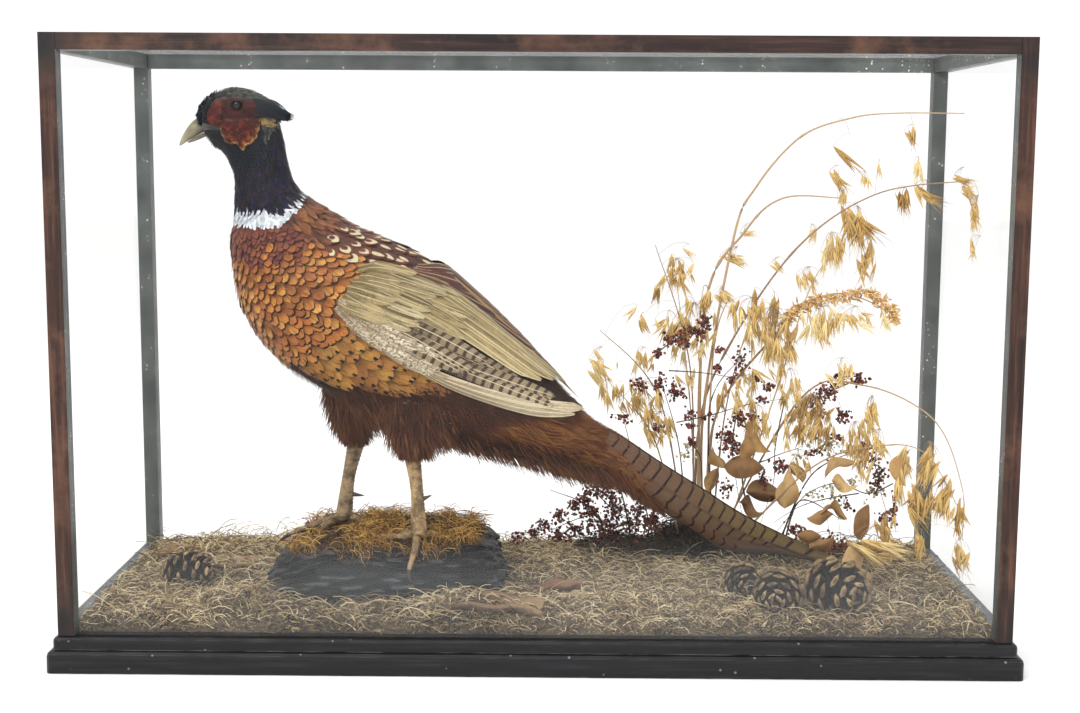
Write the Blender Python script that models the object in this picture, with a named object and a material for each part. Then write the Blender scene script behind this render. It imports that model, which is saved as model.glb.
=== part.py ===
"""A mounted cock pheasant in its glazed case, at life size.

The frame's origin is the middle of the case's underside. X runs along the case, Y goes from
the front pane to the back pane, and Z is up. The bird looks towards -X, so its left side is
on the -Y side. Sizes in the tables are millimetres; MM turns them into metres.
"""

from collections import namedtuple
from math import cos, pi, radians, sin, sqrt

import bmesh
import bpy
from mathutils import Matrix, Vector
from mathutils.bvhtree import BVHTree

MM = 0.001
GAP = 0.3

# ---------------------------------------------------------------- case
CASE_WIDTH = 810.0
CASE_DEPTH = 310.0
CASE_TOP = 535.0
POST = 14.0
PLINTH_LIP = 9.0
PLINTH_HEIGHT = 19.0
MOULDING_LIP = 4.0
MOULDING_TOP = 30.0
SILL_HEIGHT = 7.0
GLASS = 2.0
PUTTY_LINE = 5.0

FRAME_FOOT = MOULDING_TOP + GAP
INNER_X = CASE_WIDTH / 2 - POST
INNER_Y = CASE_DEPTH / 2 - POST

# ---------------------------------------------------------------- ground
GROUND_LEVEL = 39.5
GROUND_SWELL = 2.2
GROUND_CELLS = (28, 10)
REST = GROUND_LEVEL + GAP

ROCK_CENTRE = (-138.0, -20.0)
ROCK_HALF = (113.0, 75.0)
ROCK_TOP = 92.0
ROCK_SIDES = 28
# How oblong its plan is: 2 would be an ellipse.
ROCK_POWER = 4
# Share of the plan size and height at each level of the slab, from its foot up.
ROCK_LEVELS = ((1.0, REST), (0.985, 60.0), (0.95, 78.0), (0.90, 88.0), (0.84, ROCK_TOP), (0.45, ROCK_TOP))
ROCK_RAMP = ((-260.0, 52.0), (-232.0, 77.0), (-192.0, ROCK_TOP), (-60.0, ROCK_TOP), (-20.0, 80.0))

# Name: place, half length, radius, turn about Z.
CONES = {
    "cone_left": ((-322.0, -36.0), 27.0, 18.0, 168.0),
    "cone_small": ((188.0, -50.0), 23.0, 16.0, 100.0),
    "cone_middle": ((214.0, -98.0), 30.0, 20.0, 78.0),
    "cone_right": ((264.0, -96.0), 29.0, 25.0, 118.0),
}
# Name: centre of the flake, length, width, thickness, turn, rise of its middle.
FLAKES = {
    "bark_centre": ((-37.0, -121.0), 88.0, 34.0, 3.0, -6.0, 15.0),
    "bark_left": ((-294.0, 26.0), 62.0, 34.0, 3.0, 12.0, 8.0),
    "leaf_curled": ((22.0, -58.0), 46.0, 22.0, 1.6, 24.0, 9.0),
    "leaf_corner": ((-354.0, 66.0), 52.0, 30.0, 1.6, 38.0, 8.0),
}

# ---------------------------------------------------------------- bird
# A cross-section of the body: its top and low points (x, z), half its width, the y of its
# middle, and how far the section narrows towards the top, as the folded tail does.
Station = namedtuple("Station", "top low half_width middle roof")
MIDLINE = -15.0
BODY = (
    Station((-306.0, 470.0), (-299.5, 453.5), 7.5, MIDLINE, 0.0),
    Station((-300.5, 484.0), (-292.5, 443.5), 14.0, MIDLINE, 0.0),
    Station((-276.0, 497.5), (-282.5, 435.5), 19.5, MIDLINE, 0.0),
    Station((-244.0, 487.5), (-275.0, 417.0), 20.5, MIDLINE, 0.0),
    Station((-231.5, 457.5), (-275.0, 405.0), 20.0, MIDLINE, 0.0),
    Station((-226.5, 432.0), (-276.0, 391.5), 20.5, MIDLINE, 0.0),
    Station((-219.5, 412.5), (-277.5, 373.5), 23.0, MIDLINE, 0.0),
    Station((-205.0, 399.0), (-280.5, 350.5), 34.0, MIDLINE, 0.0),
    Station((-160.0, 373.0), (-270.5, 295.5), 55.0, MIDLINE, 0.0),
    Station((-103.0, 348.0), (-237.0, 248.0), 62.0, MIDLINE, 0.0),
    Station((-53.0, 306.0), (-177.0, 211.0), 58.0, MIDLINE, 0.0),
    Station((-5.0, 260.5), (-99.0, 176.0), 46.0, MIDLINE, 0.0),
    Station((42.0, 207.0), (8.0, 156.0), 31.0, MIDLINE, 0.1),
    Station((77.0, 182.0), (63.5, 144.0), 25.0, -10.0, 0.35),
    Station((115.0, 154.5), (98.5, 118.0), 25.0, -3.0, 0.5),
    Station((153.5, 129.0), (144.5, 88.0), 23.0, 5.0, 0.5),
    Station((192.5, 103.0), (179.0, 65.5), 19.0, 13.0, 0.5),
    Station((232.0, 80.0), (227.5, 60.0), 12.0, 21.0, 0.4),
    Station((296.5, 49.0), (296.5, 44.0), 3.5, 30.0, 0.0),
)
# Where the loft is parted into named lengths, in stations from the bill.
CUTS = {
    "head": (0.0, 4.0),
    "neck": (4.0, 6.5),
    "trunk": (6.5, 11.0),
    "rump": (11.0, 13.0),
    "tail": (13.0, 18.0),
}
BODY_FINISHES = {
    "head": "dark_green_plumage",
    "neck": "purple_neck_plumage",
    "trunk": "copper_plumage",
    "rump": "chestnut_plumage",
    "tail": "barred_tail_plumage",
}
BODY_SIDES = 16
RINGS_PER_STATION = 2

SIDES = {"left": -1, "right": 1}

EYE_CENTRE = (-268.5, 480.5)
EYE_RADIUS = 5.2
EYE_OUT = 15.4
SOCKET_RADIUS = 5.6

# The red face skin: its middle (x, z) and the reach of its rim every 30 degrees, from the back
# and then up over the eye.
WATTLE_CENTRE = (-268.0, 467.0)
WATTLE_REACH = (20.0, 22.0, 21.5, 20.5, 22.0, 26.5, 28.0, 17.5, 17.5, 23.0, 23.5, 21.0)
WATTLE_SIDES = 16
# Share of the reach, and the thickness there.
WATTLE_ROWS = ((0.42, 2.4), (0.80, 2.4), (1.0, 1.08))
WATTLE_CLEARANCE = 1.3

# Ear tuft: x, distance from the midline and z along it.
EAR_TUFT = ((-246.0, 16.0, 482.0), (-238.0, 17.5, 478.5), (-231.0, 17.0, 475.0), (-225.5, 16.0, 471.5))
EAR_TUFT_RADII = (4.4, 4.7, 3.2, 1.2)
EAR_TUFT_GAP = 0.5

# Bill: top (x, z), low (x, z) and half its width, from the face to the tip.
BILL_UPPER = (
    ((-306.4, 470.0), (-301.6, 457.4), 5.6),
    ((-312.0, 466.5), (-305.5, 455.4), 5.2),
    ((-317.5, 460.0), (-311.5, 452.2), 4.2),
    ((-321.6, 453.2), (-317.6, 448.6), 2.8),
    ((-324.3, 447.4), (-322.6, 445.6), 1.2),
)
BILL_LOWER = (
    ((-301.2, 456.9), (-300.4, 452.9), 4.6),
    ((-305.3, 454.9), (-304.8, 451.0), 4.2),
    ((-311.2, 451.7), (-310.2, 448.9), 3.0),
    ((-316.3, 448.6), (-315.7, 447.3), 1.2),
)

# Folded wing: upper and lower edge (x, z) and thickness, from the bend to the tip.
WING = (
    ((-173.0, 322.0), (-175.5, 305.0), 3.0),
    ((-157.0, 338.0), (-160.0, 285.0), 7.0),
    ((-122.0, 337.0), (-127.0, 258.0), 9.0),
    ((-82.0, 315.0), (-86.0, 237.0), 9.0),
    ((-42.0, 282.0), (-44.0, 220.0), 8.0),
    ((-3.0, 245.0), (-3.0, 205.0), 6.0),
    ((26.0, 218.0), (22.0, 195.5), 4.0),
    ((41.0, 202.0), (37.0, 194.5), 2.2),
)
WING_ACROSS = 7
WING_CLEARANCE = 2.2
WING_RIM = 0.7
WING_MIDDLE = (-60.0, 270.0)

Limb = namedtuple("Limb", "thigh shank spur toes")
HOCK = 166.0
ANKLE = 104.0
LIMBS = {
    # Each thigh row: x, y, z, half length along X, half width along Y.
    "left": Limb(
        thigh=((-100.0, -38.0, 232.0, 40.0, 22.0), (-106.0, -42.0, 198.0, 31.0, 20.0),
               (-110.0, -45.0, 178.0, 17.0, 15.0), (-112.0, -46.0, HOCK, 8.6, 8.4)),
        shank=((-112.0, -46.0, 7.0), (-107.5, -52.0, 5.3), (-105.5, -60.0, 6.6)),
        spur=((-103.0, -55.0, 129.0), (-94.5, -54.5, 131.5)),
        toes=(
            ((-106.0, -62.0, 96.5), (-106.0, -80.0, 96.3), (-106.5, -91.0, 91.0),
             (-109.5, -96.5, 81.0), (-111.5, -98.0, 72.0), (-109.5, -98.5, 64.0)),
            ((-106.0, -61.0, 96.5), (-126.0, -64.0, 96.2), (-147.0, -67.0, 95.6), (-160.0, -69.0, 94.0)),
            ((-106.0, -60.0, 96.5), (-119.0, -48.0, 96.2), (-133.0, -37.0, 94.8)),
            ((-106.0, -60.0, 98.5), (-94.0, -54.0, 97.0), (-85.0, -50.0, 94.6)),
        ),
    ),
    "right": Limb(
        thigh=((-164.0, 2.0, 244.0, 34.0, 20.0), (-171.0, 6.0, 214.0, 26.0, 19.0),
               (-172.0, 9.0, 186.0, 17.0, 15.0), (-171.0, 11.0, HOCK, 8.8, 8.4)),
        shank=((-171.0, 11.0, 7.4), (-177.5, 9.0, 5.6), (-181.0, 6.0, 7.0)),
        spur=((-173.5, 7.0, 119.5), (-162.5, 5.5, 117.5)),
        toes=(
            ((-181.0, 5.0, 96.5), (-201.0, 4.0, 93.6), (-223.0, 2.0, 86.0), (-236.0, 1.0, 80.0),
             (-245.0, 0.0, 72.5)),
            ((-181.0, 6.0, 96.5), (-193.0, 20.0, 95.8), (-207.0, 32.0, 90.0)),
            ((-181.0, 4.0, 96.5), (-194.0, -9.0, 95.6), (-207.0, -20.0, 90.0)),
            ((-181.0, 5.0, 98.5), (-168.0, 3.0, 97.0), (-159.0, 1.0, 94.6)),
        ),
    ),
}
THIGH_GAP = 0.5
SHANK_FLAT = 0.86
SPUR_RADII = (2.6, 1.9, 0.4)
# Height and share of the ankle's width, down to the rock.
FOOT_PAD = ((ANKLE - GAP, 1.0), (99.0, 1.05), (95.0, 1.0), (ROCK_TOP + GAP, 0.75))
TOE_RADIUS = 3.5
TOE_TAPER = 1.6
CLAW_RADIUS = 1.1

# ---------------------------------------------------------------- plants
Stalk = namedtuple("Stalk", "points radius")
GRASS_ROOT = (165.0, 96.0)
GRASS_TURF = (42.0, 32.0, 22.0)
GRASS_STALKS = (
    Stalk(((169, 100, 40), (164, 100, 178), (189, 85, 358), (209, 75, 409), (246, 50, 456),
           (286, 15, 473), (320, -15, 477), (371, -60, 476)), 1.5),
    Stalk(((158, 104, 40), (162, 104, 177), (194, 95, 263), (250, 65, 353), (311, 10, 404),
           (375, -70, 418)), 1.5),
    Stalk(((161, 92, 40), (163, 92, 288), (200, 80, 366), (234, 70, 398), (285, 52, 399)), 1.7),
    Stalk(((177, 95, 40), (175, 90, 180), (242, 75, 278), (297, 60, 307), (337, 45, 291)), 1.7),
    Stalk(((171, 88, 40), (256, 75, 202), (313, 50, 220), (370, 5, 195), (386, -45, 141),
           (384, -60, 96)), 1.2),
    Stalk(((155, 90, 40), (150, 90, 228), (113, 80, 352)), 1.2),
    Stalk(((150, 96, 40), (120, 85, 199), (60, 80, 269)), 1.2),
    Stalk(((146, 88, 40), (115, 80, 160), (72, 75, 215)), 1.2),
)
GRASS_STEPS = 9
SORREL_STEPS = 6
TWIG_STEPS = 7
SPIKELET = (17.0, 2.6)
# Stalk index, share of its length, and the hang of the spikelet from there (dx, dy, dz).
SPIKELETS = (
    (0, 0.80, (20, 4, -14)), (0, 0.93, (8, -4, -30)),
    (1, 0.70, (4, 0, -24)), (1, 0.76, (10, 2, -28)), (1, 0.93, (8, -4, -26)), (1, 0.99, (4, -4, -22)),
    (4, 0.72, (2, -6, -26)), (4, 0.87, (-6, 2, -24)), (4, 0.99, (-4, 4, -16)),
    (5, 0.99, (-6, 0, -20)), (6, 0.80, (-4, 0, -20)), (6, 0.99, (-8, 0, -18)), (7, 0.99, (-12, 0, -16)),
)
SORREL_ROOT = (78.0, 92.0)
SORREL_TURF = (42.0, 26.0, 13.0)
SORREL_STALKS = (
    Stalk(((96, 90, 42), (81, 84, 112), (50, 82, 151)), 1.3),
    Stalk(((74, 92, 42), (55, 88, 88), (12, 86, 108)), 1.3),
    Stalk(((104, 92, 42), (118, 90, 100), (101, 88, 152)), 1.3),
    Stalk(((66, 92, 42), (60, 96, 80), (-14, 92, 68)), 1.3),
)
SEED_HEAD = (11.0, 4.2)
TWIG_ROOT = (234.0, 80.0)
TWIG_TURF = (25.0, 20.0, 10.0)
TWIG_STALKS = (
    Stalk(((226, 82, 42), (202, 78, 122), (227, 70, 144), (255, 64, 156)), 1.3),
    Stalk(((242, 76, 42), (256, 60, 104), (292, 34, 92), (308, 10, 66)), 1.3),
    Stalk(((236, 84, 42), (268, 68, 128), (322, 60, 158)), 1.3),
)
LEAF = (34.0, 19.0, 1.0)
LEAF_BEND = 5.0
LEAF_FOLD = 2.0
LEAF_STEM = (-3.0, 0.0, -1.0)
# Stalk index, share of its length, turn about Z, droop of the blade's tip, both in degrees.
LEAVES = ((0, 0.55, 170.0, -20.0), (0, 0.98, -20.0, -35.0), (1, 0.97, -60.0, -50.0), (2, 0.98, 10.0, -30.0))

MATERIALS = {
    "ebonised_pine": ("#17171A", 0.35, 0.0),
    "stained_mahogany": ("#4A1F12", 0.40, 0.0),
    "window_glass": ("#DDE6E2", 0.05, 0.0),
    "dried_moss_ground": ("#A08A63", 0.95, 0.0),
    "slate_and_moss": ("#4A4C49", 0.85, 0.0),
    "pine_cone": ("#4A3B2F", 0.80, 0.0),
    "bark": ("#8D6E52", 0.90, 0.0),
    "dried_grass": ("#C9A45C", 0.75, 0.0),
    "dried_sorrel": ("#5A2320", 0.80, 0.0),
    "dried_leaf": ("#B98A50", 0.75, 0.0),
    "dark_green_plumage": ("#1B222B", 0.45, 0.0),
    "purple_neck_plumage": ("#241F30", 0.45, 0.0),
    "copper_plumage": ("#A5622B", 0.65, 0.0),
    "chestnut_plumage": ("#4B2717", 0.75, 0.0),
    "barred_tail_plumage": ("#94795C", 0.65, 0.0),
    "cream_wing_plumage": ("#BBAE8C", 0.65, 0.0),
    "red_face_skin": ("#7C2118", 0.55, 0.0),
    "horn": ("#A39A84", 0.45, 0.0),
    "scaly_leg_skin": ("#A98F6B", 0.60, 0.0),
    "glass_eye": ("#0C0A0A", 0.08, 0.0),
}


# ---------------------------------------------------------------- helpers
def clear_scene():
    for item in list(bpy.data.objects):
        bpy.data.objects.remove(item, do_unlink=True)


def linear(hex_colour):
    """Turn an sRGB hex colour into linear RGBA."""
    channels = [int(hex_colour[i:i + 2], 16) / 255 for i in (1, 3, 5)]
    return [c / 12.92 if c <= 0.04045 else ((c + 0.055) / 1.055) ** 2.4 for c in channels] + [1.0]


def material(name):
    """Return the named material, made on first use."""
    made = bpy.data.materials.get(name)
    if made:
        return made
    colour, roughness, metallic = MATERIALS[name]
    made = bpy.data.materials.new(name)
    made.use_nodes = True
    shader = made.node_tree.nodes["Principled BSDF"]
    shader.inputs["Base Color"].default_value = linear(colour)
    shader.inputs["Roughness"].default_value = roughness
    shader.inputs["Metallic"].default_value = metallic
    return made


def place(name, mesh, finish, smooth=True):
    """Put a mesh in millimetres into the scene as one named object in metres."""
    mesh.transform(Matrix.Scale(MM, 4))
    mesh.name = name
    mesh.materials.clear()
    mesh.materials.append(material(finish))
    if smooth:
        mesh.shade_smooth()
        mesh.set_sharp_from_angle(angle=radians(40.0))
    thing = bpy.data.objects.new(name, mesh)
    bpy.context.scene.collection.objects.link(thing)
    return thing


def loft(rings):
    """A closed mesh through rings of equal count, with flat ends."""
    count = len(rings[0])
    points = [point for ring in rings for point in ring]
    faces = []
    for row in range(len(rings) - 1):
        for i in range(count):
            j = (i + 1) % count
            near, far = row * count, (row + 1) * count
            faces.append((near + i, near + j, far + j, far + i))
    faces.append(tuple(range(count)))
    faces.append(tuple(range((len(rings) - 1) * count, len(rings) * count)))
    mesh = bpy.data.meshes.new("loft")
    mesh.from_pydata(points, [], faces)
    return outward(mesh)


def outward(mesh):
    """Turn the faces of a closed mesh outwards."""
    work = bmesh.new()
    work.from_mesh(mesh)
    bmesh.ops.recalc_face_normals(work, faces=work.faces)
    work.to_mesh(mesh)
    work.free()
    return mesh


def box(low, high, round_edges=0.0, segments=2):
    """A box between two corners, with its edges rounded."""
    work = bmesh.new()
    bmesh.ops.create_cube(work, size=1.0)
    size = Vector(high) - Vector(low)
    centre = (Vector(high) + Vector(low)) / 2
    fit = Matrix.Translation(centre) @ Matrix.Diagonal((*size, 1.0))
    bmesh.ops.transform(work, matrix=fit, verts=work.verts)
    if round_edges:
        edges = [e for e in work.edges if max(v.co.z for v in e.verts) > centre.z]
        bmesh.ops.bevel(work, geom=edges, offset=round_edges, segments=segments, profile=0.5, affect="EDGES")
    mesh = bpy.data.meshes.new("box")
    work.to_mesh(mesh)
    work.free()
    return mesh


def smooth_point(points, t):
    """A point on the Catmull-Rom curve through a list of vectors, at t in list steps."""
    last = len(points) - 1
    i = min(int(t), last - 1)
    f = t - i
    b, c = points[i], points[i + 1]
    a = points[i - 1] if i else 2 * b - c
    d = points[i + 2] if i + 2 <= last else 2 * c - b
    square, cube = 2 * a - 5 * b + 4 * c - d, 3 * b - a - 3 * c + d
    return 0.5 * (2 * b + (c - a) * f + square * f * f + cube * f ** 3)


def resample(points, count):
    """Equal steps along the smooth curve through some points."""
    points = [Vector(p) for p in points]
    fine = [smooth_point(points, i * (len(points) - 1) / 100) for i in range(101)]
    reach = [0.0]
    for a, b in zip(fine, fine[1:]):
        reach.append(reach[-1] + (b - a).length)
    out = []
    for k in range(count):
        want = reach[-1] * k / (count - 1)
        i = max(j for j in range(101) if reach[j] <= want + 1e-9)
        i = min(i, 99)
        out.append(fine[i].lerp(fine[i + 1], (want - reach[i]) / (reach[i + 1] - reach[i])))
    return out


def tube(points, radii, sides):
    """A closed tube along a path."""
    rings = []
    across = None
    for i, centre in enumerate(points):
        ahead = (points[min(i + 1, len(points) - 1)] - points[max(i - 1, 0)]).normalized()
        if across is None:
            across = ahead.orthogonal() if abs(ahead.z) > 0.9 else ahead.cross(Vector((0, 0, 1)))
        across = (across - ahead * across.dot(ahead)).normalized()
        up = across.cross(ahead)
        turn = [2 * pi * (k + 0.5) / sides for k in range(sides)]
        rings.append([centre + radii[i] * (across * cos(a) + up * sin(a)) for a in turn])
    return loft(rings)


def ellipse(centre, half_x, half_y, sides, up=None, start=0.0):
    """Points round an ellipse: level, or upright with its first axis on Y and its second on up."""
    first, second = (Vector((1, 0, 0)), Vector((0, 1, 0))) if up is None else (Vector((0, 1, 0)), up)
    turn = [2 * pi * (k + start) / sides for k in range(sides)]
    return [centre + first * half_x * cos(a) + second * half_y * sin(a) for a in turn]


def boolean(meshes, operation):
    """Join meshes, or cut the first with the rest, with the exact solver."""
    things = [bpy.data.objects.new("work", mesh) for mesh in meshes]
    for thing in things:
        bpy.context.scene.collection.objects.link(thing)
    base = things[0]
    for other in things[1:]:
        step = base.modifiers.new("step", "BOOLEAN")
        step.operation = operation
        step.solver = "EXACT"
        step.object = other
    bpy.context.view_layer.update()
    graph = bpy.context.evaluated_depsgraph_get()
    result = bpy.data.meshes.new_from_object(base.evaluated_get(graph))
    for thing in things:
        bpy.data.objects.remove(thing, do_unlink=True)
    return result


# ---------------------------------------------------------------- case
def make_base():
    """A bull-nosed plinth with a narrower moulding on it."""
    half_x = CASE_WIDTH / 2 + PLINTH_LIP
    half_y = CASE_DEPTH / 2 + PLINTH_LIP
    plinth = box((-half_x, -half_y, 0), (half_x, half_y, PLINTH_HEIGHT), 5.0, 3)
    place("base_plinth", plinth, "ebonised_pine")
    half_x = CASE_WIDTH / 2 + MOULDING_LIP
    half_y = CASE_DEPTH / 2 + MOULDING_LIP
    low = PLINTH_HEIGHT + GAP
    moulding = box((-half_x, -half_y, low), (half_x, half_y, MOULDING_TOP), 3.5, 3)
    place("base_moulding", moulding, "ebonised_pine")


def make_frame():
    """Four posts, four top rails, and sills on three sides; the front pane has none."""
    outer_x, outer_y = CASE_WIDTH / 2, CASE_DEPTH / 2
    for end, sx in (("left", -1), ("right", 1)):
        for depth, sy in (("front", -1), ("back", 1)):
            xs = sorted((sx * outer_x, sx * INNER_X))
            ys = sorted((sy * outer_y, sy * INNER_Y))
            post = box((xs[0], ys[0], FRAME_FOOT), (xs[1], ys[1], CASE_TOP))
            place(f"post_{depth}_{end}", post, "stained_mahogany", smooth=False)
    reach_x, reach_y = INNER_X - GAP, INNER_Y - GAP
    levels = {"rail": (CASE_TOP - POST, CASE_TOP), "sill": (FRAME_FOOT, FRAME_FOOT + SILL_HEIGHT)}
    for kind, (low, high) in levels.items():
        for depth, sy in (("front", -1), ("back", 1)):
            if (kind, depth) == ("sill", "front"):
                continue
            ys = sorted((sy * outer_y, sy * INNER_Y))
            bar = box((-reach_x, ys[0], low), (reach_x, ys[1], high))
            place(f"{kind}_{depth}", bar, "stained_mahogany", smooth=False)
        for end, sx in (("left", -1), ("right", 1)):
            xs = sorted((sx * outer_x, sx * INNER_X))
            bar = box((xs[0], -reach_y, low), (xs[1], reach_y, high))
            place(f"{kind}_{end}", bar, "stained_mahogany", smooth=False)


def make_panes():
    """Five panes, set back from the frame's outer faces by the putty."""
    reach_x, reach_y = INNER_X - GAP, INNER_Y - GAP
    high = CASE_TOP - POST - GAP
    sill = FRAME_FOOT + SILL_HEIGHT + GAP
    in_x = CASE_WIDTH / 2 - PUTTY_LINE
    in_y = CASE_DEPTH / 2 - PUTTY_LINE
    top = CASE_TOP - PUTTY_LINE
    panes = {
        "glass_front": ((-reach_x, -in_y, FRAME_FOOT), (reach_x, -in_y + GLASS, high)),
        "glass_back": ((-reach_x, in_y - GLASS, sill), (reach_x, in_y, high)),
        "glass_left": ((-in_x, -reach_y, sill), (-in_x + GLASS, reach_y, high)),
        "glass_right": ((in_x - GLASS, -reach_y, sill), (in_x, reach_y, high)),
        "glass_top": ((-reach_x, -reach_y, top), (reach_x, reach_y, top + GLASS)),
    }
    for name, (low, high_corner) in panes.items():
        place(name, box(low, high_corner), "window_glass", smooth=False)


# ---------------------------------------------------------------- ground
def pads():
    """Centre and half sizes of what stands on the ground, where it is level."""
    out = [(ROCK_CENTRE, (ROCK_HALF[0] + 6, ROCK_HALF[1] + 6))]
    out += [(centre, (half_length + 6, half_length + 6)) for centre, half_length, *_ in CONES.values()]
    out += [(centre, (length / 2 + 4, length / 2 + 4)) for centre, length, *_ in FLAKES.values()]
    for root, turf in ((GRASS_ROOT, GRASS_TURF), (SORREL_ROOT, SORREL_TURF), (TWIG_ROOT, TWIG_TURF)):
        out.append((root, (turf[0] + 6, turf[1] + 6)))
    out.append(((270.0, 26.0), (60.0, 14.0)))
    return out


def ground_height(x, y):
    """The ground swells between the things that stand on it."""
    clear = 1.0
    for centre, half in pads():
        away = max(abs(x - centre[0]) / half[0], abs(y - centre[1]) / half[1])
        clear = min(clear, max(0.0, min(1.0, (away - 1.25) / 0.6)))
    wave = sin(x / 31.0 + 1.2) * cos(y / 24.0) + 0.5 * sin(x / 13.0 + y / 17.0)
    return GROUND_LEVEL + GROUND_SWELL * clear * (0.3 + 0.7 * wave)


def make_ground():
    """The slab of groundwork, from a grid of heights and a flat underside."""
    cells_x, cells_y = GROUND_CELLS
    half_x, half_y = INNER_X - GAP, INNER_Y - GAP
    points, faces = [], []
    for level in ("top", "low"):
        for j in range(cells_y + 1):
            for i in range(cells_x + 1):
                x = -half_x + 2 * half_x * i / cells_x
                y = -half_y + 2 * half_y * j / cells_y
                points.append((x, y, ground_height(x, y) if level == "top" else FRAME_FOOT))
    row = cells_x + 1
    below = row * (cells_y + 1)
    for j in range(cells_y):
        for i in range(cells_x):
            a = j * row + i
            faces.append((a, a + 1, a + row + 1, a + row))
    rim = list(range(row)) + [row * j + cells_x for j in range(1, cells_y + 1)]
    rim += [row * cells_y + i for i in range(cells_x - 1, -1, -1)]
    rim += [row * j for j in range(cells_y - 1, 0, -1)]
    for a, b in zip(rim, rim[1:] + rim[:1]):
        faces.append((b, a, a + below, b + below))
    faces.append(tuple(a + below for a in rim))
    mesh = bpy.data.meshes.new("ground")
    mesh.from_pydata(points, [], faces)
    work = bmesh.new()
    work.from_mesh(mesh)
    bmesh.ops.delete(work, geom=[v for v in work.verts if not v.link_faces], context="VERTS")
    bmesh.ops.recalc_face_normals(work, faces=work.faces)
    work.to_mesh(mesh)
    work.free()
    place("groundwork", mesh, "dried_moss_ground")


def ramp(x):
    """Greatest height of the rock at x."""
    for (x0, z0), (x1, z1) in zip(ROCK_RAMP, ROCK_RAMP[1:]):
        if x <= x1:
            return z0 + (z1 - z0) * (x - x0) / (x1 - x0)
    return ROCK_RAMP[-1][1]


def make_rock():
    """A slab of slate with a blunt oblong plan, level where the bird stands."""
    rings = []
    for share, height in ROCK_LEVELS:
        ring = []
        for k in range(ROCK_SIDES):
            a = 2 * pi * k / ROCK_SIDES
            blunt = (abs(cos(a)) ** ROCK_POWER + abs(sin(a)) ** ROCK_POWER) ** (-1 / ROCK_POWER)
            x = ROCK_CENTRE[0] + ROCK_HALF[0] * share * blunt * cos(a)
            y = ROCK_CENTRE[1] + ROCK_HALF[1] * share * blunt * sin(a)
            ring.append(Vector((x, y, min(height, ramp(x)))))
        rings.append(ring)
    place("rock", loft(rings), "slate_and_moss")


def make_cones():
    """Closed outlines of fir cones, lying on one side."""
    rings, sides = 6, 8
    for name, (centre, half_length, radius, turn) in CONES.items():
        stack = []
        for i in range(rings):
            t = 0.06 + 0.90 * i / (rings - 1)
            r = radius * sin(pi * t ** 0.8) ** 0.7
            x = half_length * (2 * t - 1)
            around = [2 * pi * k / sides for k in range(sides)]
            stack.append([Vector((x, r * sin(a), r * cos(a))) for a in around])
        mesh = loft(stack)
        low = min(v.co.z for v in mesh.vertices)
        mesh.transform(Matrix.Translation((*centre, REST - low)) @ Matrix.Rotation(radians(turn), 4, "Z"))
        place(name, mesh, "pine_cone")


def make_flakes():
    """Pieces of bark and fallen leaves: arched plates lying on their long edges."""
    along, across = 6, 4
    for name, (centre, length, width, thick, turn, rise) in FLAKES.items():
        finish = "bark" if name.startswith("bark") else "dried_leaf"
        rings = []
        for i in range(along + 1):
            u = 2 * i / along - 1
            half = width / 2 * sqrt(max(0.12, 1 - 0.9 * u * u))
            lift = rise * (1 - 0.5 * u * u)
            upper, lower = [], []
            for j in range(across + 1):
                v = 2 * j / across - 1
                arch = lift * (1 - v * v)
                upper.append(Vector((u * length / 2, v * half, arch + thick)))
                lower.append(Vector((u * length / 2, v * half, arch)))
            rings.append(upper + lower[::-1])
        mesh = loft(rings)
        mesh.transform(Matrix.Translation((*centre, REST)) @ Matrix.Rotation(radians(turn), 4, "Z"))
        place(name, mesh, finish)


# ---------------------------------------------------------------- plants
def turf(root, size):
    """A low dome of moss that the stalks grow from."""
    sides, levels = 12, 4
    rings = []
    for i in range(levels):
        a = 0.5 * pi * i / levels
        middle = Vector((*root, REST + size[2] * sin(a)))
        rings.append(ellipse(middle, size[0] * cos(a), size[1] * cos(a), sides))
    return loft(rings)


def stalk_tube(line, radius):
    """A stalk that thins to half its width at its end."""
    last = len(line) - 1
    return tube(line, [radius * (1 - 0.5 * i / last) for i in range(last + 1)], 4)


def along(line, share):
    """The point at a share of a line's steps."""
    at = share * (len(line) - 1)
    i = min(int(at), len(line) - 2)
    return line[i].lerp(line[i + 1], at - i)


def spindle(start, end, length, radius):
    """A hanging seed: a thin thread that swells into a spindle at its end."""
    start, end = Vector(start), Vector(end)
    away = (end - start).normalized()
    line = [start, end, end + away * length * 0.35, end + away * length]
    return tube(line, [0.6, 0.8, radius, 0.5], 4)


def make_grass():
    """The tall dried oats and grasses, on one mossy root."""
    lines = [resample(stalk.points, GRASS_STEPS) for stalk in GRASS_STALKS]
    shapes = [turf(GRASS_ROOT, GRASS_TURF)]
    shapes += [stalk_tube(line, stalk.radius) for line, stalk in zip(lines, GRASS_STALKS)]
    for index, share, hang in SPIKELETS:
        start = along(lines[index], share)
        shapes.append(spindle(start, start + Vector(hang), *SPIKELET))
    place("grass_clump", boolean(shapes, "UNION"), "dried_grass")


def make_sorrel():
    """Low dark sprays of dried sorrel behind the tail."""
    shapes = [turf(SORREL_ROOT, SORREL_TURF)]
    for index, stalk in enumerate(SORREL_STALKS):
        line = resample(stalk.points, SORREL_STEPS)
        shapes.append(stalk_tube(line, stalk.radius))
        for step in range(3):
            start = along(line, 0.52 + 0.19 * step + 0.04 * (index % 2))
            side = 1 if step % 2 else -1
            end = start + Vector((6.0 * side, 3.0, 5.0 + index))
            shapes.append(spindle(start, end, *SEED_HEAD))
    place("sorrel_clump", boolean(shapes, "UNION"), "dried_sorrel")


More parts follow.
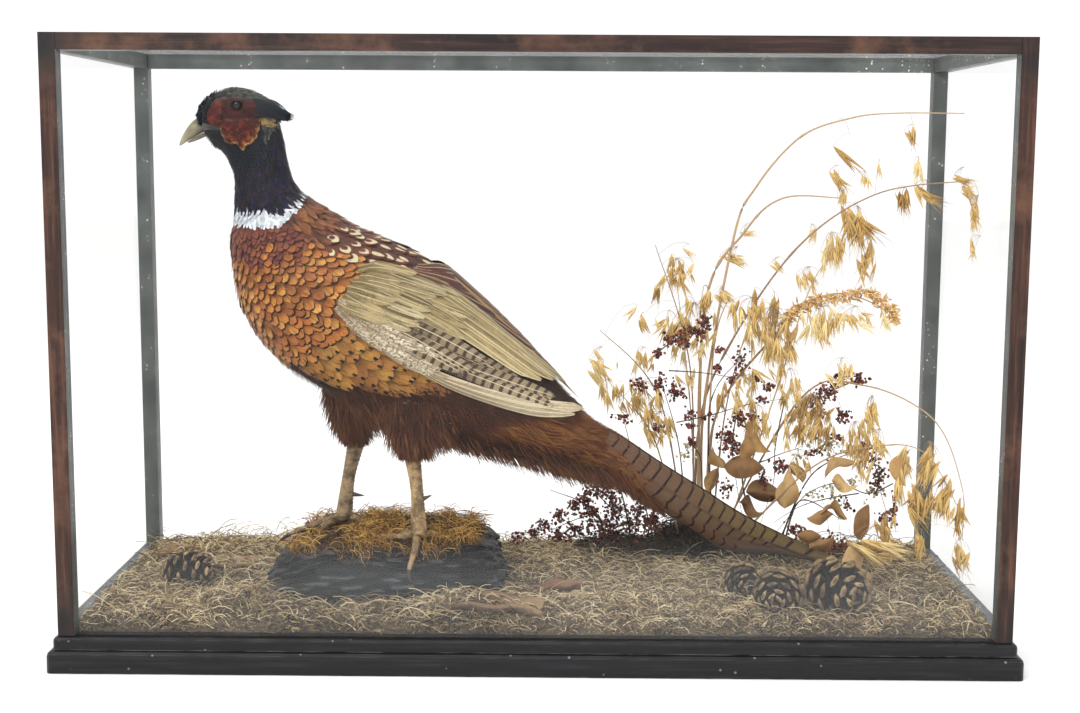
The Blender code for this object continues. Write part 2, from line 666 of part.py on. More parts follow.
def leaf(base, turn, droop):
    """An oval blade that curls down towards its tip."""
    length, width, thick = LEAF
    rings = []
    for i in range(6):
        u = i / 5
        half = 0.9 + width / 2 * sin(pi * min(0.97, 0.04 + 0.96 * u)) ** 0.8
        bend = LEAF_BEND * sin(pi * u)
        face = [Vector((u * length, across, bend + lift)) for across, lift in
                ((-half, 0.0), (0.0, LEAF_FOLD), (half, 0.0))]
        rings.append(face + [point - Vector((0, 0, thick)) for point in face[::-1]])
    mesh = loft(rings)
    turned = Matrix.Rotation(radians(turn), 4, "Z") @ Matrix.Rotation(radians(-droop), 4, "Y")
    mesh.transform(Matrix.Translation(base) @ turned @ Matrix.Translation(LEAF_STEM))
    return mesh


def make_twig():
    """A twig with broad dried leaves, at the right of the grass."""
    lines = [resample(stalk.points, TWIG_STEPS) for stalk in TWIG_STALKS]
    shapes = [turf(TWIG_ROOT, TWIG_TURF)]
    shapes += [stalk_tube(line, stalk.radius) for line, stalk in zip(lines, TWIG_STALKS)]
    for index, share, turn, droop in LEAVES:
        shapes.append(leaf(along(lines[index], share), turn, droop))
    place("leafy_twig", boolean(shapes, "UNION"), "dried_leaf")


# ---------------------------------------------------------------- bird
def body_ring(t, grow=0.0):
    """The body's section at t stations from the bill, and the way it faces."""
    def through(field):
        return smooth_point([Vector(field(s)) for s in BODY], t)

    top = through(lambda s: (s.top[0], 0.0, s.top[1]))
    low = through(lambda s: (s.low[0], 0.0, s.low[1]))
    half_width, middle, roof = through(lambda s: (s.half_width, s.middle, s.roof))
    centre = (top + low) / 2 + Vector((0.0, middle, 0.0))
    up = (top - low).normalized()
    half_height = (top - low).length / 2 + grow
    ring = []
    for k in range(BODY_SIDES):
        a = 2 * pi * (k + 0.5) / BODY_SIDES
        narrow = 1 - max(0.0, roof) * (0.5 + 0.5 * sin(a))
        side = (half_width + grow) * cos(a) * narrow
        ring.append(centre + up * half_height * sin(a) + Vector((0.0, side, 0.0)))
    facing = up.cross(Vector((0.0, 1.0, 0.0)))
    return ring, facing


def body_length(start, stop, grow=0.0, first=False):
    """A length of the body's loft, with a thin cut in front of it."""
    steps = round((stop - start) * RINGS_PER_STATION)
    rings = [body_ring(start + (stop - start) * i / steps, grow)[0] for i in range(steps + 1)]
    if not first:
        facing = body_ring(start)[1]
        ahead = sum(rings[1], Vector()) - sum(rings[0], Vector())
        shift = facing * GAP * (1 if facing.dot(ahead) > 0 else -1)
        rings[0] = [point + shift for point in rings[0]]
    return loft(rings)


class BodySide:
    """Finds the side of the body at a place in side view."""

    def __init__(self):
        whole = body_length(0.0, len(BODY) - 1.0, first=True)
        corners = [v.co for v in whole.vertices]
        self.tree = BVHTree.FromPolygons(corners, [p.vertices[:] for p in whole.polygons])
        bpy.data.meshes.remove(whole)

    def at(self, x, z, side, inward=None):
        """The skin's y at (x, z); a place off the outline moves inward until it is on it."""
        spot = Vector((x, 0.0, z))
        for _ in range(60):
            hit = self.tree.ray_cast(Vector((spot.x, side * 200.0, spot.z)), Vector((0, -side, 0)))[0]
            if hit or inward is None:
                break
            spot = spot.lerp(Vector((inward[0], 0.0, inward[1])), 0.08)
        return hit.y if hit else MIDLINE + side * 2.0

    def slope(self, x, z, side, inward):
        """The skin's own outward direction at (x, z), from its fall to each side."""
        step = 3.0
        across = self.at(x + step, z, side, inward) - self.at(x - step, z, side, inward)
        upward = self.at(x, z + step, side, inward) - self.at(x, z - step, side, inward)
        limit = 2 * step * 1.2
        across = max(-limit, min(limit, across))
        upward = max(-limit, min(limit, upward))
        return Vector((-across * side, 2 * step * side, -upward * side)).normalized()


def sphere(centre, radius, rings=7, sides=10):
    """A ball with its poles on Y."""
    stack = []
    for i in range(rings):
        tilt = pi * (i + 0.5) / rings
        middle = Vector(centre) + Vector((0, radius * cos(tilt), 0))
        turn = [2 * pi * k / sides for k in range(sides)]
        stack.append([middle + radius * sin(tilt) * Vector((cos(a), 0, sin(a))) for a in turn])
    return loft(stack)


def eye_centre(side):
    return (EYE_CENTRE[0], MIDLINE + side * EYE_OUT, EYE_CENTRE[1])


def socket(side):
    """The hollow that the glass eye sits in."""
    return sphere(eye_centre(side), SOCKET_RADIUS)


def make_body():
    for name, (start, stop) in CUTS.items():
        mesh = body_length(start, stop, first=name == "head")
        if name == "head":
            mesh = boolean([mesh, socket(-1), socket(1)], "DIFFERENCE")
        place(name, mesh, BODY_FINISHES[name])


def make_eyes():
    for name, side in SIDES.items():
        place(f"eye_{name}", sphere(eye_centre(side), EYE_RADIUS), "glass_eye")


def plate(rows, skin, side, clearance, inward):
    """Inner and outer points of a plate laid over the body: rows of (x, z, thickness)."""
    inner, outer = [], []
    for row in rows:
        low, high = [], []
        for x, z, thickness in row:
            out = skin.slope(x, z, side, inward)
            base = Vector((x, skin.at(x, z, side, inward), z)) + out * clearance
            low.append(base)
            high.append(base + out * thickness)
        inner.append(low)
        outer.append(high)
    return inner, outer


def wattle_reach(turn):
    """How far the face skin reaches from its middle, at a share of a full turn."""
    at = turn * len(WATTLE_REACH)
    i = int(at)
    return WATTLE_REACH[i] + (WATTLE_REACH[(i + 1) % len(WATTLE_REACH)] - WATTLE_REACH[i]) * (at - i)


def make_wattles(skin):
    for name, side in SIDES.items():
        rows = []
        for share, thickness in WATTLE_ROWS:
            row = []
            for k in range(WATTLE_SIDES):
                reach = share * wattle_reach(k / WATTLE_SIDES)
                a = 2 * pi * k / WATTLE_SIDES
                row.append((WATTLE_CENTRE[0] + reach * cos(a), WATTLE_CENTRE[1] + reach * sin(a), thickness))
            rows.append(row)
        inner, outer = plate(rows, skin, side, WATTLE_CLEARANCE, WATTLE_CENTRE)
        mesh = boolean([loft(inner + outer[::-1]), socket(side)], "DIFFERENCE")
        place(f"wattle_{name}", mesh, "red_face_skin")


def make_ear_tufts():
    for name, side in SIDES.items():
        line = [Vector((x, MIDLINE + side * out, z)) for x, out, z in EAR_TUFT]
        tuft = tube(line, EAR_TUFT_RADII, 8)
        head = body_length(0.0, 6.0, grow=EAR_TUFT_GAP, first=True)
        place(f"ear_tuft_{name}", boolean([tuft, head], "DIFFERENCE"), "dark_green_plumage")


def make_bill():
    for name, rows in (("bill_upper", BILL_UPPER), ("bill_lower", BILL_LOWER)):
        rings = []
        for (top_x, top_z), (low_x, low_z), half_width in rows:
            top, low = Vector((top_x, MIDLINE, top_z)), Vector((low_x, MIDLINE, low_z))
            upright = top - low
            middle, half_height = (top + low) / 2, upright.length / 2
            rings.append(ellipse(middle, half_width, half_height, 10, upright.normalized(), 0.5))
        place(name, loft(rings), "horn")


def make_wings(skin):
    steps = 2 * (len(WING) - 1)
    for name, side in SIDES.items():
        rows = []
        for i in range(steps + 1):
            upper = smooth_point([Vector((*w[0], 0)) for w in WING], i / 2)
            lower = smooth_point([Vector((*w[1], 0)) for w in WING], i / 2)
            thick = smooth_point([Vector((w[2], 0, 0)) for w in WING], i / 2).x
            row = []
            for j in range(WING_ACROSS):
                v = 2 * j / (WING_ACROSS - 1) - 1
                spot = lower.lerp(upper, (v + 1) / 2)
                row.append((spot.x, spot.y, thick * sqrt(max(0.0, 1 - v * v)) + WING_RIM))
            rows.append(row)
        inner, outer = plate(rows, skin, side, WING_CLEARANCE, WING_MIDDLE)
        rings = [low + high[::-1] for low, high in zip(inner, outer)]
        place(f"wing_{name}", loft(rings), "cream_wing_plumage")


def make_thigh(name, limb):
    """A feathered drumstick, cut to the trunk that it comes out of."""
    steps = 9
    rings = []
    for i in range(steps):
        t = (len(limb.thigh) - 1) * i / (steps - 1)
        centre = smooth_point([Vector(row[:3]) for row in limb.thigh], t)
        size = smooth_point([Vector((row[3], row[4], 0)) for row in limb.thigh], t)
        rings.append(ellipse(centre, size.x, size.y, 12))
    trunk = body_length(CUTS["trunk"][0], CUTS["rump"][1], grow=THIGH_GAP, first=True)
    place(f"thigh_{name}", boolean([loft(rings), trunk], "DIFFERENCE"), "chestnut_plumage")


def make_shank(name, limb):
    """The bare lower leg with its spur."""
    heights = (HOCK - GAP, (HOCK + ANKLE) / 2, ANKLE)
    spots = [Vector((x, y, z)) for (x, y, _), z in zip(limb.shank, heights)]
    radii = [Vector((r, 0, 0)) for _, _, r in limb.shank]
    rings = []
    for i in range(7):
        radius = smooth_point(radii, i / 3).x
        rings.append(ellipse(smooth_point(spots, i / 3), radius, radius * SHANK_FLAT, 10))
    base, tip = (Vector(p) for p in limb.spur)
    spur = tube([base, base.lerp(tip, 0.5), tip], SPUR_RADII, 6)
    place(f"shank_{name}", boolean([loft(rings), spur], "UNION"), "scaly_leg_skin")


def make_foot(name, limb):
    """Three toes forward and one back, from a pad that stands on the rock."""
    x, y, radius = limb.shank[-1]
    pad = []
    for z, share in FOOT_PAD:
        pad.append(ellipse(Vector((x, y, z)), share * radius, share * radius * SHANK_FLAT, 10))
    shapes = [loft(pad)]
    for toe in limb.toes:
        steps = 2 * len(toe) - 1
        taper = [(i / (steps - 1)) ** TOE_TAPER for i in range(steps)]
        radii = [TOE_RADIUS + (CLAW_RADIUS - TOE_RADIUS) * share for share in taper]
        shapes.append(tube(resample(toe, steps), radii, 7))
    place(f"foot_{name}", boolean(shapes, "UNION"), "scaly_leg_skin")


def main():
    clear_scene()
    make_base()
    make_frame()
    make_panes()
    make_ground()
    make_rock()
    make_cones()
    make_flakes()
    make_grass()
    make_sorrel()
    make_twig()
    make_body()
    make_eyes()
    make_bill()
    skin = BodySide()
    make_wattles(skin)
    make_ear_tufts()
    make_wings(skin)
    for name, limb in LIMBS.items():
        make_thigh(name, limb)
        make_shank(name, limb)
        make_foot(name, limb)


main()
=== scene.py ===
"""Looks of a mounted cock pheasant in its glazed case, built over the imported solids.

Lengths in the tables are millimetres and MM turns them into metres. X runs along the case,
the front pane faces -Y and Z is up. The bird looks towards -X, so its left side is at -Y.
"""

import logging
from collections.abc import Callable, Sequence
from dataclasses import dataclass, field
from enum import Enum

import bpy
import numpy as np
from mathutils import Matrix, Vector


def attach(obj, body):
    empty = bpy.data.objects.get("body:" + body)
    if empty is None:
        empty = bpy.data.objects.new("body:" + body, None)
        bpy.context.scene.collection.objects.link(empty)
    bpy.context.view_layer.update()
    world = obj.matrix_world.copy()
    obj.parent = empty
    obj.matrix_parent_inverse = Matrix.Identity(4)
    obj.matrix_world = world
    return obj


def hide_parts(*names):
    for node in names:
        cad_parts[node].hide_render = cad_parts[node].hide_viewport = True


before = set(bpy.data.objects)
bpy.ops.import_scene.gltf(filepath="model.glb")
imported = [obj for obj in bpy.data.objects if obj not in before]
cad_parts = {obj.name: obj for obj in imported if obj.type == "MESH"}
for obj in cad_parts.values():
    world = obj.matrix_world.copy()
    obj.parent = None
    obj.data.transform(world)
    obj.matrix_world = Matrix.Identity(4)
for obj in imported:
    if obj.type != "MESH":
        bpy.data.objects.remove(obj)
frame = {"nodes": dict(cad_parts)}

Array = np.ndarray
Socket = bpy.types.NodeSocket
# Points in millimetres, and the vertex numbers of each face.
Shape = tuple[Array, list[list[int]]]

LOG = logging.getLogger("pheasant")
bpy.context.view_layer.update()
BODY = "root"
MM = 0.001
TAU = 2.0 * np.pi
BAKE_MAP = "OFBake"
VANE_MAP = "Vane"


# ---------------------------------------------------------------- shared small tools
def linear(code: str) -> tuple[float, float, float, float]:
    """Turns an sRGB hex colour to a linear one.

    Args:
        code: The colour as "#RRGGBB".

    Returns:
        Linear red, green, blue and an alpha of 1.
    """
    parts = [int(code[i:i + 2], 16) / 255 for i in (1, 3, 5)]
    red, green, blue = (p / 12.92 if p <= 0.04045 else ((p + 0.055) / 1.055) ** 2.4 for p in parts)
    return red, green, blue, 1.0


def shade(code: str) -> Array:
    """The linear red, green and blue of a hex colour."""
    return np.array(linear(code)[:3])


def smooth(value: Array, low: float, high: float) -> Array:
    """Rises smoothly from 0 at low to 1 at high."""
    t = np.clip((np.asarray(value, float) - low) / (high - low), 0.0, 1.0)
    return t * t * (3 - 2 * t)


def spline(table: Array, t: Array) -> Array:
    """Values on the smooth curve through a table's rows.

    Args:
        table: One row of values at each whole t.
        t: Where to read it.

    Returns:
        One row for each t.
    """
    last = len(table) - 1
    t = np.clip(np.asarray(t, float), 0, last)
    i = np.minimum(t.astype(int), last - 1)
    f = (t - i)[..., None]
    rows = np.concatenate([table[:1], table, table[-1:]])
    a, b, c, d = rows[i], rows[i + 1], rows[i + 2], rows[i + 3]
    square, cube = 2 * a - 5 * b + 4 * c - d, 3 * b - a - 3 * c + d
    return 0.5 * (2 * b + (c - a) * f + square * f ** 2 + cube * f ** 3)


def unit(ways: Array) -> Array:
    """Vectors brought to length one."""
    return ways / np.maximum(np.linalg.norm(ways, axis=-1, keepdims=True), 1e-9)


def lattice(first: Array, second: Array) -> list[Array]:
    """Every pair of two series, the first along rows and the second along columns."""
    return np.meshgrid(first, second, indexing="ij")


def around(count: int) -> Array:
    """Even angles of a whole turn."""
    return np.arange(count) * TAU / count


def read_grid(grid: Array, x: Array, y: Array) -> Array:
    """Reads between a grid's points.

    Args:
        grid: Rows, columns and the values kept at each point.
        x: Places along the rows.
        y: Places along the columns.

    Returns:
        The values at each place.
    """
    i, j = (np.clip(w.astype(int), 0, n - 2) for w, n in zip((x, y), grid.shape))
    fx, fy = (x - i)[..., None], (y - j)[..., None]
    low = grid[i, j] * (1 - fy) + grid[i, j + 1] * fy
    high = grid[i + 1, j] * (1 - fy) + grid[i + 1, j + 1] * fy
    return low * (1 - fx) + high * fx


class NodeTree:
    """A shader or geometry tree that is being wired."""

    def __init__(self, tree: bpy.types.NodeTree) -> None:
        """Keeps the tree that nodes are added to."""
        self.tree = tree

    def add(self, kind: str, inputs: dict[int | str, object] | None = None, out: int | str = 0,
            **settings: object) -> Socket:
        """Adds a node with its settings and links.

        Args:
            kind: Blender's name for the node's type; "Mix" stands for "ShaderNodeMix" and so on.
            inputs: Socket name or number, with the value or the output that goes in.
            out: Which output to return.
            **settings: The node's own properties; stops are a ramp's places and colours.

        Returns:
            The chosen output.
        """
        node = self.tree.nodes.new(kind if "Node" in kind else f"ShaderNode{kind}")
        stops = settings.pop("stops", ())
        for name, value in settings.items():
            setattr(node, name, value)
        for i, (place, code) in enumerate(stops):
            ramp = node.color_ramp.elements
            stop = ramp[i] if i < 2 else ramp.new(place)
            stop.position, stop.color = place, linear(code)
        for key, value in (inputs or {}).items():
            if isinstance(value, Socket):
                self.tree.links.new(value, node.inputs[key])
            else:
                node.inputs[key].default_value = value
        return node.outputs[out] if len(node.outputs) else None


def make_mesh(name: str, points: Array, faces: Sequence[Sequence[int]] | Array) -> bpy.types.Mesh:
    """Makes a smooth-shaded mesh from points in millimetres.

    Args:
        name: The mesh's name.
        points: One row of x, y, z for each vertex.
        faces: Vertex numbers of each face; an array when all have the same count.

    Returns:
        The mesh, in metres.
    """
    mesh = bpy.data.meshes.new(name)
    if isinstance(faces, np.ndarray):
        count, sides = faces.shape
        mesh.vertices.add(len(points))
        mesh.vertices.foreach_set("co", (np.asarray(points) * MM).astype(np.float32).ravel())
        mesh.loops.add(count * sides)
        mesh.loops.foreach_set("vertex_index", faces.astype(np.int32).ravel())
        mesh.polygons.add(count)
        mesh.polygons.foreach_set("loop_start", np.arange(0, count * sides, sides, dtype=np.int32))
        mesh.update(calc_edges=True)
    else:
        mesh.from_pydata((np.asarray(points) * MM).tolist(), [], faces)
    mesh.polygons.foreach_set("use_smooth", np.ones(len(mesh.polygons), bool))
    mesh.update()
    return mesh


def add_map(mesh: bpy.types.Mesh, name: str, places: Array) -> None:
    """Gives a mesh a UV map from one place for each vertex.

    Args:
        mesh: The mesh.
        name: The map's name.
        places: Rows of two numbers, one for each vertex.
    """
    loops = np.zeros(len(mesh.loops), np.int32)
    mesh.loops.foreach_get("vertex_index", loops)
    layer = mesh.uv_layers.new(name=name)
    layer.data.foreach_set("uv", places[loops].astype(np.float32).ravel())


def add_values(mesh: bpy.types.Mesh, name: str, kind: str, values: Array) -> None:
    """Stores one value, vector or colour for each vertex.

    Args:
        mesh: The mesh.
        name: The attribute's name.
        kind: FLOAT, FLOAT_VECTOR or FLOAT_COLOR.
        values: One value, vector or colour for each vertex.
    """
    values = np.asarray(values, np.float32)
    key = {"FLOAT": "value", "FLOAT_VECTOR": "vector", "FLOAT_COLOR": "color"}[kind]
    if kind == "FLOAT_COLOR":
        values = np.concatenate([values, np.ones((len(values), 1), np.float32)], axis=1)
    mesh.attributes.new(name, kind, "POINT").data.foreach_set(key, values.ravel())


def strip_faces(count: int, rows: int, columns: int, closed: bool = False) -> Array:
    """Quads of many like grids, numbered one grid after another.

    Args:
        count: How many grids.
        rows: Points along each.
        columns: Points across each.
        closed: Whether the last column joins the first.

    Returns:
        One row of four vertex numbers for each quad.
    """
    across = columns if closed else columns - 1
    i, j = lattice(np.arange(rows - 1), np.arange(across))
    k = (j + 1) % columns
    one = np.stack([i * columns + j, i * columns + k, (i + 1) * columns + k, (i + 1) * columns + j], -1)
    return (one.reshape(1, -1, 4) + (np.arange(count) * rows * columns)[:, None, None]).reshape(-1, 4)


def closed_faces(count: int, rows: int, sides: int) -> list[list[int]]:
    """Walls and both end faces of many like tubes, rows of sides corners each.

    Args:
        count: How many tubes.
        rows: Rows in each tube.
        sides: Corners in each row.

    Returns:
        Corners of each face.
    """
    firsts = [k * rows * sides for k in range(count)]
    last = (rows - 1) * sides
    return (strip_faces(count, rows, sides, closed=True).tolist()
            + [list(range(f, f + sides))[::-1] for f in firsts]
            + [list(range(f + last, f + last + sides)) for f in firsts])


def turned_over(faces: Sequence[Sequence[int]]) -> list[Sequence[int]]:
    """Faces that look the other way."""
    return [face[::-1] for face in faces]


def tubes(paths: Array, radii: Array, sides: int = 5) -> Shape:
    """Closed tubes along paths.

    Args:
        paths: Path, step and x, y, z.
        radii: Path and step.
        sides: Corners round each tube.

    Returns:
        The points and the faces.
    """
    ahead = unit(np.gradient(paths, axis=1))
    guide = np.where(np.abs(ahead[..., 2:3]) > 0.9, [1.0, 0, 0], [0, 0, 1.0])
    side = unit(np.cross(ahead, guide))
    up = np.cross(side, ahead)
    turn = around(sides)
    ring = side[:, :, None] * np.cos(turn)[:, None] + up[:, :, None] * np.sin(turn)[:, None]
    points = paths[:, :, None] + ring * radii[:, :, None, None]
    return points.reshape(-1, 3), closed_faces(*paths.shape[:2], sides)


class GeometryRule:
    """A Geometry Nodes tree with named inputs, run once on a mesh."""

    def __init__(self, name: str, sizes: dict[str, float | int | bpy.types.Object]) -> None:
        """Starts the tree with its inputs.

        Args:
            name: The tree's name.
            sizes: Named inputs with their values: a number, a whole number or an object.
        """
        group = bpy.data.node_groups.new(name, "GeometryNodeTree")
        face = group.interface
        face.new_socket("Geometry", in_out="INPUT", socket_type="NodeSocketGeometry")
        face.new_socket("Geometry", in_out="OUTPUT", socket_type="NodeSocketGeometry")
        self.sizes = dict(sizes)
        self.sockets = {}
        for key, value in sizes.items():
            kind = {int: "NodeSocketInt", float: "NodeSocketFloat"}.get(type(value), "NodeSocketObject")
            self.sockets[key] = face.new_socket(key, in_out="INPUT", socket_type=kind).identifier
        self.group = group
        self.nodes = NodeTree(group)
        self.inputs = self.nodes.add("NodeGroupInput").node.outputs

    def finish(self, geometry: Socket, material: bpy.types.Material | None) -> None:
        """Ends the tree in Realize Instances and Set Material.

        Args:
            geometry: The socket to finish.
            material: What the pieces wear.
        """
        real = self.nodes.add("GeometryNodeRealizeInstances", {"Geometry": geometry})
        if material:
            real = self.nodes.add("GeometryNodeSetMaterial", {"Geometry": real, "Material": material})
        self.nodes.add("NodeGroupOutput", {"Geometry": real})

    def run(self, base: bpy.types.Mesh, name: str) -> bpy.types.Mesh:
        """Runs the tree on a mesh.

        Args:
            base: The mesh that goes in.
            name: A name for the result.

        Returns:
            The result as a plain mesh.
        """
        holder = bpy.data.objects.new(name, base)
        bpy.context.scene.collection.objects.link(holder)
        modifier = holder.modifiers.new("rule", "NODES")
        modifier.node_group = self.group
        for key, identifier in self.sockets.items():
            modifier[identifier] = self.sizes[key]
        graph = bpy.context.evaluated_depsgraph_get()
        result = bpy.data.meshes.new_from_object(holder.evaluated_get(graph), depsgraph=graph)
        bpy.data.objects.remove(holder)
        result.name = name
        return result


def scatter(base: bpy.types.Mesh, spacing: float, seed: int) -> dict[str, Array]:
    """Spreads points evenly over a mesh.

    Args:
        base: The mesh; its own values are read at each point.
        spacing: Least distance between points, in millimetres.
        seed: The random seed.

    Returns:
        Each stored value by name, point by point.
    """
    rule = GeometryRule("even_scatter", {
        "Spacing": spacing * MM, "Density": 2.2 / (spacing * MM) ** 2, "Seed": seed})
    points = rule.nodes.add("GeometryNodeDistributePointsOnFaces", {
        "Mesh": rule.inputs["Geometry"], "Distance Min": rule.inputs["Spacing"],
        "Density Max": rule.inputs["Density"], "Seed": rule.inputs["Seed"]}, distribute_method="POISSON")
    rule.finish(rule.nodes.add("GeometryNodePointsToVertices", {"Points": points}), None)
    mesh = rule.run(base, "scatter")
    found = {}
    for layer in mesh.attributes:
        if layer.data_type == "FLOAT" and layer.domain == "POINT":
            values = np.zeros(len(mesh.vertices), np.float32)
            layer.data.foreach_get("value", values)
            found[layer.name] = values.astype(float)
    bpy.data.meshes.remove(mesh)
    return found


# ---------------------------------------------------------------- finishes
@dataclass(frozen=True)
class Finish:
    """A surface finish that makes one material."""

    name: str

    def paint(self, tree: NodeTree) -> Socket:
        """Wires the finish.

        Args:
            tree: The tree being wired.

        Returns:
            The finish's shader.
        """
        raise NotImplementedError

    def material(self) -> bpy.types.Material:
        """The finish's material, made when it is first asked for."""
        found = bpy.data.materials.get(self.name)
        if found is None:
            found = bpy.data.materials.new(self.name)
            found.use_nodes = True
            found.node_tree.nodes.clear()
            tree = NodeTree(found.node_tree)
            tree.add("OutputMaterial", {"Surface": self.paint(tree)})
        return found


@dataclass(frozen=True)
class Mark:
    """A coloured mark on a vane: u is 0 on the shaft and 1 at the edge, v runs root to tip."""

    colour: str
    v: float = 0.7
    length: float = 0.2
    width: float = 0.5
    hollow: float = 0.0


@dataclass(frozen=True)
class VaneFinish(Finish):
    """Feather keratin: fine slanting barbs give the vane a combed, silky look.

    Its colours come from each vane's own Base value, under the marks given here. A mark with no colour
    is left out. Bar pitch and mottle size are millimetres; starts, notch and blunt are shares of a vane.
    """

    roughness: float = 0.62
    sheen: float = 0.04
    level: float = 0.22
    barb: float = 0.45
    shaft: str = ""
    tip: str = ""
    tip_start: float = 0.88
    notch: float = 0.0
    rim: str = ""
    rim_start: float = 0.52
    mark: Mark | None = None
    bars: str = ""
    bar_pitch: float = 12.0
    bar_share: float = 0.16
    bar_slant: float = 0.5
    mottle: str = ""
    mottle_size: float = 2.4
    streak: str = ""
    blunt: float = 0.55

    def paint(self, tree: NodeTree) -> Socket:
        """Wires the barbs, the marks and the shader.

        Args:
            tree: The tree being wired.

        Returns:
            The shader.
        """
        vane, size = (tree.add("SeparateXYZ", {"Vector": source}).node.outputs for source in (
            tree.add("UVMap", uv_map=VANE_MAP), tree.add("Attribute", out="Vector", attribute_name="Size")))
        colour = tree.add("Attribute", out="Color", attribute_name="Base")
        chance = tree.add("Math", {0: size["Z"], 1: 60.0}, operation="MULTIPLY")
        centred = tree.add("Math", {0: vane["X"], 1: 2.0, 2: -1.0}, operation="MULTIPLY_ADD")
        u, v = tree.add("Math", {0: centred}, operation="ABSOLUTE"), vane["Y"]
        along, across, side = (
            tree.add("Math", {0: share, 1: length}, operation="MULTIPLY")
            for share, length in ((v, size["X"]), (u, size["Y"]), (centred, size["Y"])))
        barbs = tree.add("TexNoise", {"Vector": tree.add("CombineXYZ", {
            "X": tree.add("Math", {0: across, 1: -0.9, 2: along}, operation="MULTIPLY_ADD"),
            "Y": tree.add("Math", {0: across, 1: 0.12}, operation="MULTIPLY"),
            "Z": tree.add("Math", {0: size["Z"], 1: 90.0}, operation="MULTIPLY")}),
            "Scale": 1.7, "Detail": 3.0, "Roughness": 0.65}, out="Fac")
        ragged = tree.add("Math", {0: barbs, 1: 0.14, 2: -0.07}, operation="MULTIPLY_ADD")
        layers: list[tuple[str, Socket]] = []
        if self.mottle:
            spots = tree.add("TexNoise", {
                "Vector": tree.add("CombineXYZ", {"X": along, "Y": across, "Z": chance}),
                "Scale": 1 / self.mottle_size, "Detail": 3.0}, out="Fac")
            layers.append((self.mottle, tree.add("MapRange", {
                "Value": spots, "From Min": 0.47, "From Max": 0.60})))
        if self.streak:
            lines = tree.add("TexNoise", {"Vector": tree.add("CombineXYZ", {
                "X": tree.add("Math", {0: along, 1: 0.09}, operation="MULTIPLY"), "Y": side, "Z": chance}),
                "Scale": 0.55, "Detail": 3.0}, out="Fac")
            layers.append((self.streak, tree.add("MapRange", {
                "Value": lines, "From Min": 0.50, "From Max": 0.66, "To Max": 0.85})))
        if self.bars:
            place = tree.add("Math", {0: across, 1: self.bar_slant, 2: along}, operation="MULTIPLY_ADD")
            bent = tree.add("Math", {0: ragged, 1: 12.0, 2: place}, operation="MULTIPLY_ADD")
            saw = tree.add("Math", {0: bent, 1: self.bar_pitch}, operation="PINGPONG")
            half = self.bar_pitch * self.bar_share
            layers.append((self.bars, tree.add("MapRange", {
                "Value": saw, "From Min": half, "From Max": half * 0.55}, interpolation_type="SMOOTHSTEP")))
        if self.rim:
            layers.append((self.rim, tree.add("MapRange", {
                "Value": tree.add("Math", {0: u, 1: ragged}), "From Min": self.rim_start,
                "From Max": self.rim_start + 0.24}, interpolation_type="SMOOTHSTEP")))
        for code, share in layers:
            colour = tree.add("Mix", {0: share, 6: colour, 7: linear(code)}, 2, data_type="RGBA")
        if self.mark:
            colour = self.marked(tree, colour, u, tree.add("Math", {0: v, 1: ragged}), size["Z"])
        layers = [(self.tip, self.tip_share(tree, u, v, ragged))] if self.tip else []
        if self.shaft:
            layers.append((self.shaft, tree.add("MapRange", {
                "Value": across, "From Min": 0.55, "From Max": 0.2, "To Max": 0.8})))
        for code, share in layers:
            colour = tree.add("Mix", {0: share, 6: colour, 7: linear(code)}, 2, data_type="RGBA")
        value = tree.add("MapRange", {"Value": barbs, "From Min": 0.25, "From Max": 0.75,
                                      "To Min": 1 - self.barb, "To Max": 1 + self.barb * 0.7})
        colour = tree.add("HueSaturation", {"Color": colour, "Value": value})
        bump = tree.add("Bump", {"Height": barbs, "Strength": 0.35, "Distance": 0.0004})
        return tree.add("BsdfPrincipled", {
            "Base Color": colour, "Roughness": self.roughness, "IOR": 1.54, "Specular IOR Level": self.level,
            "Sheen Weight": self.sheen, "Sheen Roughness": 0.4, "Normal": bump})

    def tip_share(self, tree: NodeTree, u: Socket, v: Socket, ragged: Socket) -> Socket:
        """How much of the dark tip each spot shows.

        Args:
            tree: The tree being wired.
            u: Place across the vane.
            v: Place along it.
            ragged: The barbs' unevenness.

        Returns:
            The tip's share. The spot's way out to the rounded end, 1 on the outline, gives it.
        """
        end = tree.add("MapRange", {"Value": v, "From Min": self.blunt, "From Max": 1.0})
        squares = [tree.add("Math", {0: way, 1: way}, operation="MULTIPLY") for way in (end, u)]
        rest = tree.add("Math", {0: 1.0, 1: squares[0]}, operation="SUBTRACT")
        far = tree.add("Math", {0: tree.add("Math", {0: squares[1], 1: rest, 2: squares[0]},
                                            operation="MULTIPLY_ADD")}, operation="SQRT")
        fade = tree.add("MapRange", {
            "Value": v, "From Min": self.blunt - 0.08, "From Max": self.blunt + 0.16})
        far = tree.add("Math", {0: tree.add("Math", {0: far, 1: ragged}), 1: fade}, operation="MULTIPLY")
        centre = tree.add("MapRange", {"Value": u, "From Min": 0.50, "From Max": 0.05, "To Max": self.notch},
                          interpolation_type="SMOOTHSTEP")
        return tree.add("MapRange", {
            "Value": tree.add("Math", {0: far, 1: centre}), "From Min": self.tip_start,
            "From Max": self.tip_start + 0.08}, interpolation_type="SMOOTHSTEP")

